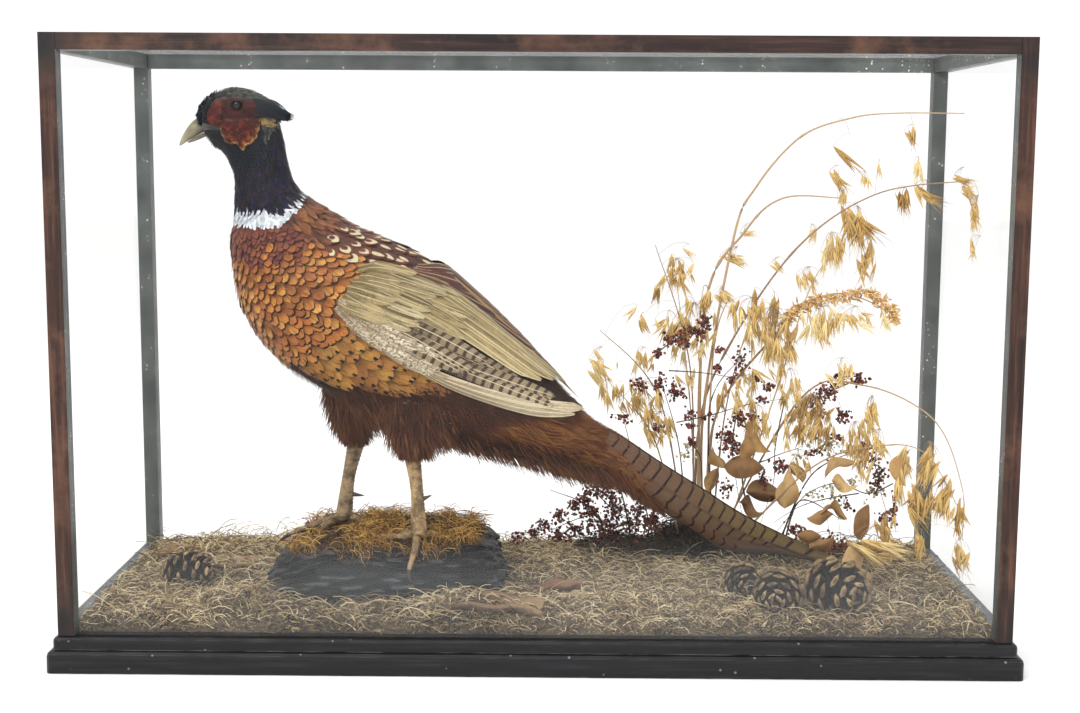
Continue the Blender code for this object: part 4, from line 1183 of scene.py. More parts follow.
OLIVE = ("#75653F", "#84734C"), ("#A08C62", "#92805A", "#AF9C72", "#86744F")
MIXED = ("#5E4E36", "#6E5E40"), ("#A6966E", "#857450", "#B2A37C", "#685838")
PALE = ("#A3937A", "#B5A78C"), ("#C6BBA2", "#D8CDB4", "#B3A58A")
WING_FANS = (
    Fan(PRIMARY, ((-136, 300), (-24, 238)), ((-112, 266), (16, 212)), 9, 6.5, 2.4, 0.2,
        ("#2E221A", "#3E3024"), ("#A39377", "#84745A"), bow=1.0),
    Fan(OUTER_PRIMARY, ((-112, 257), (43, 208)), ((-104, 251), (35, 200)), 3, 4.8, 3.6, 0.45,
        ("#8E7D62", "#9E8D70"), ("#BFB193", "#AD9F82", "#C9BC9E"), bow=-5.0),
    Fan(SECONDARY, ((-126, 311), (-15, 242)), ((-112, 330), (24, 227)), 9, 5.0, 4.4, 0.4, *OLIVE,
        bow=2.0, blunt=0.82),
    Fan(STREAKED, ((-160, 296), (-78, 256)), ((-132, 304), (-58, 262)), 9, 4.2, 4.6, 0.1, *MIXED, bow=1.0),
    Fan(PALE_COVERT, ((-168, 297), (-128, 272)), ((-124, 266), (-84, 248)), 12, 4.2, 5.0, 0.04, *PALE),
    Fan(PALE_COVERT, ((-176, 306), (-150, 286)), ((-122, 262), (-94, 249)), 17, 3.8, 5.4, 0.02, *PALE),
    Fan(COVERT, ((-150, 302), (-82, 268)), ((-132, 330), (-62, 292)), 11, 4.8, 5.8, 0.12, *OLIVE, bow=1.5),
    Fan(PALE_COVERT, ((-172, 311), (-130, 288)), ((-136, 281), (-86, 262)), 12, 4.4, 6.1, 0.02, *PALE),
    Fan(PRIMARY, ((-150, 292), (-70, 247)), ((-134, 300), (-50, 250)), 4, 5.6, 6.3, 0.15,
        ("#2E221A", "#3E3024"), ("#8E7F64", "#6E6048"), bow=1.0),
    Fan(STREAKED, ((-164, 306), (-112, 282)), ((-144, 332), (-88, 310)), 12, 4.2, 6.6, 0.1, *MIXED),
    Fan(COVERT, ((-172, 308), (-138, 294)), ((-154, 337), (-112, 327)), 10, 4.8, 6.8, 0.08, *OLIVE),
    Fan(TERTIAL, ((-124, 316), (20, 232)), ((-116, 326), (40, 216)), 4, 6.0, 5.8, 0.4,
        ("#7E6E4C", "#8E7D58"), ("#7A5F48", "#5E4034"), bow=3.0, blunt=0.6),
    Fan(TERTIAL, ((-116, 326), (14, 246)), ((-108, 338), (-44, 302)), 7, 8.0, 6.0, 0.35,
        ("#4A2A23", "#532F26"), ("#50291F", "#45231D", "#5E3A2E"), bow=4.0, blunt=0.55),
)


@dataclass(frozen=True)
class TailPair:
    """A pair of tail feathers: where they start and end, where the shaft runs, half width and colours."""

    start: float
    end: float
    height_on_side: float
    width: float
    stand_off: float
    inner_web: float
    tones: tuple[str, ...]


TAIL_PAIRS = (
    TailPair(12.7, 14.9, -0.88, 10.0, 0.4, 1.0, ("#5C3A2C", "#664434")),
    TailPair(12.7, 16.2, -0.55, 14.0, 0.8, 0.8, ("#62442C", "#684A36")),
    TailPair(12.8, 17.0, 0.30, 17.0, 1.4, 0.35, ("#624C2C", "#665030")),
    TailPair(12.7, 18.0, 0.80, 14.0, 3.2, 0.42, ("#746034", "#7A663C", "#68562E")),
)


@dataclass(frozen=True)
class SkinFinish(Finish):
    """Cured bird skin with its down: matt and slightly pebbled, in the colours of the plumage over it."""

    def paint(self, tree: NodeTree) -> Socket:
        """Wires the down's mottling over the stored colours.

        Args:
            tree: The tree being wired.

        Returns:
            The shader.
        """
        place = tree.add("TexCoord", out="Object")
        down = tree.add("TexNoise", {"Vector": place, "Scale": 900.0, "Detail": 3.0}, out="Fac")
        value = tree.add("MapRange", {
            "Value": down, "From Min": 0.3, "From Max": 0.7, "To Min": 0.6, "To Max": 1.2})
        colour = tree.add("HueSaturation", {
            "Color": tree.add("Attribute", out="Color", attribute_name="Base"), "Value": value})
        bump = tree.add("Bump", {"Height": down, "Strength": 0.6, "Distance": 0.0006})
        return tree.add("BsdfPrincipled", {"Base Color": colour, "Roughness": 0.85, "Normal": bump})


UNDER = {
    Tract.CROWN: "#2B3030", Tract.HEAD: "#181C21", Tract.NECK: "#1A1B26", Tract.COLLAR: "#B9BEC2",
    Tract.UPPER_BREAST: "#5A2F23", Tract.BREAST: "#8A5226", Tract.FLANK: "#7A5025", Tract.BELLY: "#2A1912",
    Tract.MANTLE: "#55331F", Tract.CREAM: "#52301F", Tract.DROP: "#4B2A20", Tract.BACK: "#4A2C21",
    Tract.RUMP: "#4A2A1A", Tract.TAIL: "#5E4A36",
}
# The record's slots of the contour feathers; a tract that isn't named here is copper_plumage.
SLOTS = {
    Tract.CROWN: "dark_green_plumage", Tract.HEAD: "dark_green_plumage", Tract.NECK: "purple_neck_plumage",
    Tract.COLLAR: "purple_neck_plumage", Tract.BELLY: "chestnut_plumage", Tract.RUMP: "chestnut_plumage",
}


class Plumage:
    """Skin and feathers of the whole bird."""

    def __init__(self, body: Body) -> None:
        """Keeps the body's form and makes the thighs'.

        Args:
            body: The bird's body.
        """
        self.body = body
        self.thighs = {
            side: Surface(thigh_shape(THIGHS[side]), 3.0, (start, 0.04, 0.42, 0.22))
            for side, start in ((Side.NEAR, 0.03), (Side.FAR, 0.53))}
        self.seed = 40

    def build(self) -> None:
        """Builds the skin, the feathers of each tract, the wings and the tail."""
        self.skin()
        for coat in COATS + HAIRS:
            self.tract(coat)
        self.wings()
        self.tail()
        self.hanging()
        self.tufts()

    def closed_form(self, name: str, form: Surface, rows: int, columns: int,
                    tint: Callable[[Array, Array, Array], Array]) -> bpy.types.Mesh:
        """A closed mesh of a form, with its unwrap and its plumage colours.

        Args:
            name: The mesh's name.
            form: The form.
            rows: Steps along it.
            columns: Steps round it.
            tint: Colours from u, v and place.

        Returns:
            The mesh.
        """
        u, v = (w.ravel() for w in lattice(np.linspace(0, form.length, rows), around(columns)))
        place = form.read(u, v)[:, :3]
        mesh = make_mesh(name, place, closed_faces(1, rows, columns))
        add_values(mesh, "Base", "FLOAT_COLOR", tint(u, v, place))
        spots = form.bake(u, v)
        loops = np.zeros(len(mesh.loops), np.int32)
        mesh.loops.foreach_get("vertex_index", loops)
        uv = spots[loops]
        # The last column's quads run on to the sheet's edge.
        quads = (rows - 1) * columns
        corner = uv[:quads * 4].reshape(-1, 4, 2)
        corner[columns - 1::columns, 1:3, 0] = form.sheet[0] + form.sheet[2]
        uv[:quads * 4] = corner.reshape(-1, 2)
        mesh.uv_layers.new(name=BAKE_MAP).data.foreach_set("uv", uv.astype(np.float32).ravel())
        return mesh

    def skin(self) -> None:
        """One skin for the flesh: the padded body joined to both thighs."""
        def body_tint(u: Array, v: Array, place: Array) -> Array:
            """The colour under each spot's tract."""
            table = np.array([shade(UNDER[t]) for t in Tract])
            return table[tract_at(u, v, place)]

        def thigh_tint(u: Array, v: Array, place: Array) -> Array:
            """The belly's colour all over."""
            return np.broadcast_to(shade(UNDER[Tract.BELLY]), (len(u), 3))

        whole = bpy.data.objects.new("skin", self.closed_form("skin", self.body.skin, 217, 112, body_tint))
        bpy.context.scene.collection.objects.link(whole)
        for form in self.thighs.values():
            other = bpy.data.objects.new("thigh", self.closed_form("thigh", form, 31, 32, thigh_tint))
            bpy.context.scene.collection.objects.link(other)
            union = whole.modifiers.new("join", "BOOLEAN")
            union.operation, union.object, union.solver = "UNION", other, "EXACT"
            graph = bpy.context.evaluated_depsgraph_get()
            whole.data = bpy.data.meshes.new_from_object(whole.evaluated_get(graph), depsgraph=graph)
            whole.modifiers.clear()
            bpy.data.objects.remove(other)
        mesh = whole.data
        bpy.data.objects.remove(whole)
        place_piece("bird_skin", mesh, SkinFinish("downy_bird_skin"), "copper_plumage",
                    ("head", "neck", "trunk", "rump", "tail", "thigh_left", "thigh_right", "wing_left",
                     "wing_right", "ear_tuft_left", "ear_tuft_right"))

    def roots_of(self, coat: Coat) -> tuple[Array, Array]:
        """Scattered roots for a tract's feathers.

        Args:
            coat: The tract's coat.

        Returns:
            u and v of each root.
        """
        self.seed += 1
        body = self.body

        def keep(u: Array, v: Array) -> Array:
            """Whether each face lies in the tract and clear of the wing."""
            place = body.skin.read(u, v)[..., :3]
            return (tract_at(u, v, place) == coat.tract.value) & (body.pad_at(u, v) < 3.0)

        sheet = body.skin.sample("roots", keep, 541, 241)
        found = scatter(sheet, coat.spacing, self.seed)
        order = np.argsort(found["u"])[::-1]
        return found["u"][order], found["v"][order]

    def tract(self, coat: Coat) -> None:
        """Grows one tract's feathers; the belly's run on over the thighs.

        Args:
            coat: The tract's coat.
        """
        u, v = self.roots_of(coat)
        vanes = Vanes(f"feathers_{coat.tract.name.lower()}", coat.finish,
                      SLOTS.get(coat.tract, "copper_plumage"), self.seed)
        size = np.ones(len(u))
        if coat.tract in (Tract.HEAD, Tract.CROWN):
            size = np.interp(u, (0.0, 1.5, 3.0), (0.45, 0.8, 1.1))
            bare = np.array([in_face(place) for place in self.body.skin.read(u, v)[:, :3]])
            u, v, size = u[~bare], v[~bare], size[~bare]
        elif coat.tract is Tract.BREAST:
            size = 0.80 + 0.30 * smooth(u, 7.6, 9.2)
        elif coat.tract is Tract.BELLY:
            size = np.interp(u, (9.0, 10.2, 11.5), (0.6, 0.95, 1.0))
        vanes.grow(self.body.skin, u, v, coat, size=size)
        if coat.tract is Tract.BELLY:
            for form in self.thighs.values():
                sheet = form.sample("roots", lambda a, b: a > 0.25, 61, 65)
                found = scatter(sheet, 1.7, self.seed + 5)
                vanes.grow(form, found["u"], found["v"], coat,
                           size=np.interp(found["u"], (0, 1.6, 2.7, 3.0), (1.0, 0.9, 0.5, 0.25)))
        vanes.piece()

    def wings(self) -> None:
        """Lays the folded wings' coverts and flight feathers, innermost layer first."""
        made: dict[str, Vanes] = {}
        rows = 16
        s = np.linspace(0, 1, rows)
        for fan in WING_FANS:
            key = fan.finish.name
            if key not in made:
                made[key] = Vanes(f"wing_{key}", fan.finish, "cream_wing_plumage", 90 + len(made))
            vanes = made[key]
            draw = np.random.default_rng(len(made) * 7 + fan.count)
            share = np.linspace(0, 1, fan.count)[:, None]
            first, last = np.array(fan.first, float), np.array(fan.last, float)
            root = first[0] * (1 - share) + last[0] * share + draw.normal(0, 1.3, (fan.count, 2))
            tip = first[1] * (1 - share) + last[1] * share + draw.normal(0, 2.2, (fan.count, 2))
            line = tip - root
            normal = np.stack([-line[:, 1], line[:, 0]], -1) / np.linalg.norm(line, axis=1, keepdims=True)
            bow = fan.bow + draw.normal(0, 1.0, (fan.count, 1))
            bend = normal[:, None] * (bow * np.sin(np.pi * s))[..., None]
            spots = root[:, None] + line[:, None] * s[:, None] + bend
            outline = vane_outline(s, 0.5, 1.6, fan.blunt, 1.005)
            widths = np.maximum(outline, 0.05)[None] * fan.width * draw.uniform(0.9, 1.1, (fan.count, 1))
            heights = fan.height + fan.step * np.arange(fan.count)[:, None] + 0.8 * (s - 0.5)[None]
            heights = heights * (0.4 + 0.6 * smooth(s, 0.0, 0.25))
            for side in Side:
                spine = self.body.chart(spots.reshape(-1, 2), side).reshape(fan.count, rows, 2)
                vanes.lay(self.body.skin, spine, widths, heights, mixed(fan.roots, draw, fan.count),
                          mixed(fan.tips, draw, fan.count), 5, 0.12)
        for vanes in made.values():
            vanes.piece()

    def hanging(self) -> None:
        """Hangs loose hair from the vent and the thighs."""
        hair = Vanes("hanging_hair", HAIR, "chestnut_plumage", 61)
        draw = np.random.default_rng(62)
        count = 4400
        u = draw.uniform(9.75, 14.4, count)
        v = -np.pi / 2 + np.clip(draw.normal(0, 0.42, count), -1.1, 1.1)
        reach = np.interp(u, (9.75, 10.1, 10.6, 11.0, 11.4, 12.2, 13.2, 14.4),
                          (4.0, 20.0, 22.0, 9.0, 13.0, 21.0, 15.0, 6.0))
        self.dangle(hair, self.body.skin, u, v, reach, (0.75, 0.25), draw)
        for form in self.thighs.values():
            u = draw.uniform(0.2, 2.75, 1500)
            v = draw.uniform(0, TAU, 1500)
            reach = np.interp(u, (0.2, 1.5, 2.3, 2.75), (19.0, 17.0, 10.0, 5.0))
            self.dangle(hair, form, u, v, reach, (0.1, 0.42), draw)
        hair.piece()

    def dangle(self, hair: Vanes, form: Surface, u: Array, v: Array, reach: Array, lean: tuple[float, float],
               draw: np.random.Generator) -> None:
        """Hangs hair from a form.

        Args:
            hair: The vanes it joins.
            form: The form.
            u: The roots' stations.
            v: The roots' angles.
            reach: The hairs' lengths.
            lean: How far they lean back and outwards.
            draw: The random generator.
        """
        count = len(u)
        here = form.read(u, v)
        way = unit((lean[0], 0.0, -1.0) + here[:, 3:6] * lean[1] + draw.normal(0, 0.22, (count, 3)))
        reach = reach * draw.uniform(0.55, 1.2, count)
        s = np.linspace(0, 1, 5)
        spine = here[:, None, :3] + way[:, None] * (reach[:, None] * s)[..., None]
        spine = spine + np.array([0.12, 0, -0.10]) * (reach[:, None] * s ** 2)[..., None]
        face = np.stack([draw.normal(0, 0.3, count), np.sign(here[:, 1] - MIDLINE) + 0.01, 0 * u], -1)
        widths = draw.uniform(0.35, 0.8, count)[:, None] * (1 - 0.8 * s)
        codes = ("#2A150D", "#3C2013"), ("#4A2717", "#6A4026", "#33190F", "#7A5230", "#5A301B")
        hair.stand(spine, np.broadcast_to(face[:, None], spine.shape), widths, mixed(codes[0], draw, count),
                   mixed(codes[1], draw, count), form.bake(u, v), 2)

    def tufts(self) -> None:
        """Sets the ear tufts, the rough forehead and the buff patch behind the face."""
        ink = ("#0E1014", "#14181E")
        tuft = Vanes("head_tufts", GLOSS, "dark_green_plumage", 63)
        draw = np.random.default_rng(64)
        s = np.linspace(0, 1, 7)
        for side in Side:
            count = 120
            share = draw.random(count)
            root = np.stack([-256 + 15 * draw.random(count), 471 + 15 * share], -1)
            spot = self.body.chart(root, side)
            here = self.body.skin.read(spot[:, 0], spot[:, 1])
            end = np.stack([-229.5 + draw.normal(0, 2.6, count),
                            MIDLINE + side.value * draw.uniform(9.5, 16.5, count),
                            467.5 + 7.5 * share + draw.normal(0, 1.2, count)], -1)
            start = here[:, :3] + here[:, 3:6] * 1.2
            spine = start[:, None] + (end - start)[:, None] * s[:, None]
            spine = spine + here[:, None, 3:6] * (2.6 * np.sin(np.pi * s))[:, None]
            widths = draw.uniform(0.9, 1.7, count)[:, None] * (1 - 0.75 * s ** 2)
            tuft.stand(spine, np.broadcast_to(here[:, None, 3:6], spine.shape), widths,
                       mixed(ink, draw, count),
                       mixed(("#181C24", "#20262C", "#131B22"), draw, count),
                       self.body.skin.bake(spot[:, 0], spot[:, 1]))
        count = 420
        u, v = draw.uniform(0.05, 1.5, count), np.pi / 2 + draw.normal(0, 0.75, count)
        here = self.body.skin.read(u, v)
        way = unit((-0.35, 0, 0.35) + 0.75 * here[:, 3:6] + draw.normal(0, 0.35, (count, 3)))
        reach = draw.uniform(4.5, 8.0, count) * np.interp(u, (0, 1.5), (1.0, 0.7))
        spine = here[:, None, :3] + way[:, None] * (reach[:, None] * s)[..., None]
        spine = spine + np.array([0.5, 0, 0.0]) * (reach[:, None] * s ** 2)[..., None]
        face = np.cross(way, draw.normal(0, 1, (count, 3)))
        tuft.stand(spine, np.broadcast_to(face[:, None], spine.shape),
                   (0.9 * (1 - 0.7 * s))[None].repeat(count, 0),
                   mixed(ink, draw, count),
                   mixed(("#1E262B", "#2A343A", "#161D26"), draw, count),
                   self.body.skin.bake(u, v), 2)
        tuft.piece()
        buff = Vanes("buff_ear_patch", BUFF, "dark_green_plumage", 65)
        for middle, spread, count, codes in (
                ((-245.0, 467.0), (3.2, 4.6), 46, ("#8F7A4E", "#A88E5A", "#6F5D3F")),
                ((-242.0, 481.5), (0.9, 0.9), 5, ("#E7E4DA", "#F2F0EA"))):
            for side in Side:
                root = np.array(middle) + np.clip(draw.normal(0, 0.55, (count, 2)), -1, 1) * spread
                reach = s[:, None] * draw.uniform(0.7, 1.2, (count, 1, 1))
                line = root[:, None] + np.array([4.6, -1.6]) * reach
                spine = self.body.chart(line.reshape(-1, 2), side).reshape(count, 7, 2)
                buff.lay(self.body.skin, spine, (1.1 * (1 - 0.7 * s ** 2))[None].repeat(count, 0),
                         (2.3 + 0.9 * s)[None].repeat(count, 0), mixed(codes, draw, count),
                         mixed(codes, draw, count))
        buff.piece()

    def tail(self) -> None:
        """Lays the tail's pairs, the long middle pair uppermost."""
        vanes = Vanes("feathers_tail", TAIL, "barred_tail_plumage", 71)
        rows = 60
        s = np.linspace(0, 1, rows)
        draw = np.random.default_rng(72)
        for pair in TAIL_PAIRS:
            for side in Side:
                u = pair.start + (pair.end - pair.start) * s
                lean = np.arcsin(pair.height_on_side)
                v = np.full(rows, lean if side is Side.FAR else np.pi - lean)
                spine = np.stack([u, v], -1)[None]
                outline = np.minimum(0.6 + 2 * s, 1.0) * (1 - 0.72 * s ** 1.6)
                outline *= np.sqrt(np.clip(1 - (np.maximum(0, s - 0.93) / 0.072) ** 2, 0, 1))
                widths = (pair.width * np.maximum(outline, 0.05))[None]
                web = (-pair.inner_web, 1.0) if side is Side.NEAR else (-1.0, pair.inner_web)
                heights = (pair.stand_off + 0.5 * s)[None]
                vanes.lay(self.body.skin, spine, widths, heights, mixed(("#6A4E3A", "#5E4636"), draw, 1),
                          mixed(pair.tones, draw, 1), 9, 0.06, web)
        vanes.piece()


# ---------------------------------------------------------------- face, bill and eyes
EYE = (-268.5, 15.4, 480.5)
EYE_RADIUS = 5.2
WATTLE_MIDDLE = (-268.0, 466.0)
# Reach of the face skin from its middle, by angle from the back and up over the eye.
WATTLE_RIM = np.array((
    (-8.5, 20.2), (18, 22.5), (40, 24.8), (62, 22.5), (87, 22.0), (112, 23.5), (135, 26.9), (152, 28.5),
    (164, 29.1), (176, 28.6), (187, 25.0), (196, 16.8), (213, 18.0), (232, 20.5), (250, 21.6), (263, 18.8),
    (281, 25.5), (295, 22.0), (308, 22.8), (331, 20.6), (351.5, 20.2)))


def wattle_reach(angle: Array) -> Array:
    """How far the face skin reaches at an angle in radians."""
    return np.interp(np.degrees(angle), WATTLE_RIM[:-1, 0], WATTLE_RIM[:-1, 1], period=360.0)


def in_face(place: Array) -> bool:
    """Whether a point of the head lies under the bare face skin or the bill.

    Args:
        place: One x, y, z.

    Returns:
        True where it does.
    """
    x, z = place[0] - WATTLE_MIDDLE[0], place[2] - WATTLE_MIDDLE[1]
    reach = float(wattle_reach(np.array(np.arctan2(z, x))))
    return np.hypot(x, z) < 0.93 * reach and abs(place[1] - MIDLINE) > 6


@dataclass(frozen=True)
class FaceSkin(Finish):
    """Painted and shrunken bare face skin: soft, faintly glossy papillae, with painted shade darkening the
    pits between them.
    """

    def paint(self, tree: NodeTree) -> Socket:
        """Wires papillae, 1.4 mm apart, over the stored colours, darkened between them as painted shade.

        Args:
            tree: The tree being wired.

        Returns:
            The shader.
        """
        place = tree.add("TexCoord", out="Object")
        cells = tree.add("TexVoronoi", {"Vector": place, "Scale": 700.0}, out="Distance")
        # Darker away from each papilla's middle: painted shade in the pits between them.
        value = tree.add("MapRange", {"Value": cells, "From Max": 0.55, "To Min": 1.25, "To Max": 0.35})
        colour = tree.add("HueSaturation", {
            "Color": tree.add("Attribute", out="Color", attribute_name="Base"), "Value": value})
        bump = tree.add("Bump", {"Height": cells, "Strength": 0.7, "Distance": 0.0005}, invert=True)
        return tree.add("BsdfPrincipled", {
            "Base Color": colour, "Roughness": 0.45, "Specular IOR Level": 0.15, "Normal": bump})


@dataclass(frozen=True)
class GlassEye(Finish):
    """Blown and painted glass eye: a black pupil in a dark chestnut iris under a bright clear coat."""

    def paint(self, tree: NodeTree) -> Socket:
        """Wires the iris round the eye's own axis.

        Args:
            tree: The tree being wired.

        Returns:
            The shader.
        """
        place = tree.add("TexCoord", out="Object")
        flat = tree.add("VectorMath", {0: place, 1: (1, 0, 1)}, operation="MULTIPLY")
        away = tree.add("VectorMath", {0: flat, 1: (EYE[0] * MM, 0, EYE[2] * MM)}, "Value",
                        operation="DISTANCE")
        share = tree.add("MapRange", {"Value": away, "To Max": 1.0, "From Max": EYE_RADIUS * MM})
        colour = tree.add("ValToRGB", {"Fac": share}, stops=(
            (0.55, "#010101"), (0.62, "#1E110A"), (0.76, "#2E1A10"), (0.86, "#060403")))
        return tree.add("BsdfPrincipled", {
            "Base Color": colour, "Roughness": 0.1, "Specular IOR Level": 0.42})


@dataclass(frozen=True)
class HornFinish(Finish):
    """Keratin of bill, claw and spur: lengthwise growth streaks and a soft polish."""

    dark: str = "#4A4138"
    spread: float = 0.35
    streak: tuple[float, float, float] = (500.0, 900.0, 900.0)

    def paint(self, tree: NodeTree) -> Socket:
        """Wires the streaks, 1 to 2 mm apart, over the stored colours.

        Args:
            tree: The tree being wired.

        Returns:
            The shader.
        """
        place = tree.add("VectorMath", {0: tree.add("TexCoord", out="Object"), 1: self.streak},
                         operation="MULTIPLY")
        grain = tree.add("TexNoise", {"Vector": place, "Scale": 1.0, "Detail": 3.0}, out="Fac")
        share = tree.add("MapRange", {
            "Value": grain, "From Min": 0.5, "From Max": 0.75, "To Max": self.spread})
        colour = tree.add("Mix", {
            0: share, 6: tree.add("Attribute", out="Color", attribute_name="Base"),
            7: linear(self.dark)}, 2, data_type="RGBA")
        bump = tree.add("Bump", {"Height": grain, "Strength": 0.25, "Distance": 0.0003})
        return tree.add("BsdfPrincipled", {"Base Color": colour, "Roughness": 0.38, "Normal": bump})


@dataclass(frozen=True)
class LegFinish(Finish):
    """Dried scaly leg skin: waxy scutes, with painted shade darkening the creases between them."""

    light: str = "#BC9D6C"
    dark: str = "#6E5A40"
    crease: str = "#4B3A2B"

    def paint(self, tree: NodeTree) -> Socket:
        """Wires blotches of about 8 mm, and painted shade in a fine net of creases about 1 mm apart.

        Args:
            tree: The tree being wired.

        Returns:
            The shader.
        """
        place = tree.add("TexCoord", out="Object")
        patch = tree.add("TexNoise", {"Vector": place, "Scale": 120.0, "Detail": 4.0}, out="Fac")
        share = tree.add("MapRange", {"Value": patch, "From Min": 0.40, "From Max": 0.62})
        colour = tree.add("Mix", {0: share, 6: linear(self.light), 7: linear(self.dark)}, 2,
                          data_type="RGBA")
        # The fine net of creases is darkened as painted shade.
        fine = tree.add("TexVoronoi", {"Vector": place, "Scale": 620.0}, out="Distance",
                        feature="DISTANCE_TO_EDGE")
        share = tree.add("MapRange", {"Value": fine, "From Min": 0.12, "From Max": 0.0, "To Max": 0.75})
        colour = tree.add("Mix", {0: share, 6: colour, 7: linear(self.crease)}, 2, data_type="RGBA")
        bump = tree.add("Bump", {"Height": fine, "Strength": 0.5, "Distance": 0.0004})
        return tree.add("BsdfPrincipled", {
            "Base Color": colour, "Roughness": 0.5, "Specular IOR Level": 0.3, "Normal": bump})


def loft(rows: Array, steps: int, sides: int, power: float = 1.0) -> Shape:
    """A closed form through sections that stand across the XZ plane.

    Args:
        rows: Top x, z, low x, z, half width and y of each section.
        steps: Sections made.
        sides: Corners round each.
        power: Below 1 squares the sections, above 1 pinches them.

    Returns:
        Points and faces.
    """
    row = spline(rows, np.linspace(0, len(rows) - 1, steps))
    angle = around(sides)
    top = row[:, (0, 5, 1)]
    low = row[:, (2, 5, 3)]
    wave = np.sign(np.sin(angle)) * np.abs(np.sin(angle)) ** power
    points = ((top + low) / 2)[:, None] + ((top - low) / 2)[:, None] * wave[:, None]
    points[..., 1] += row[:, 4, None] * np.cos(angle)
    return points.reshape(-1, 3), closed_faces(1, steps, sides)


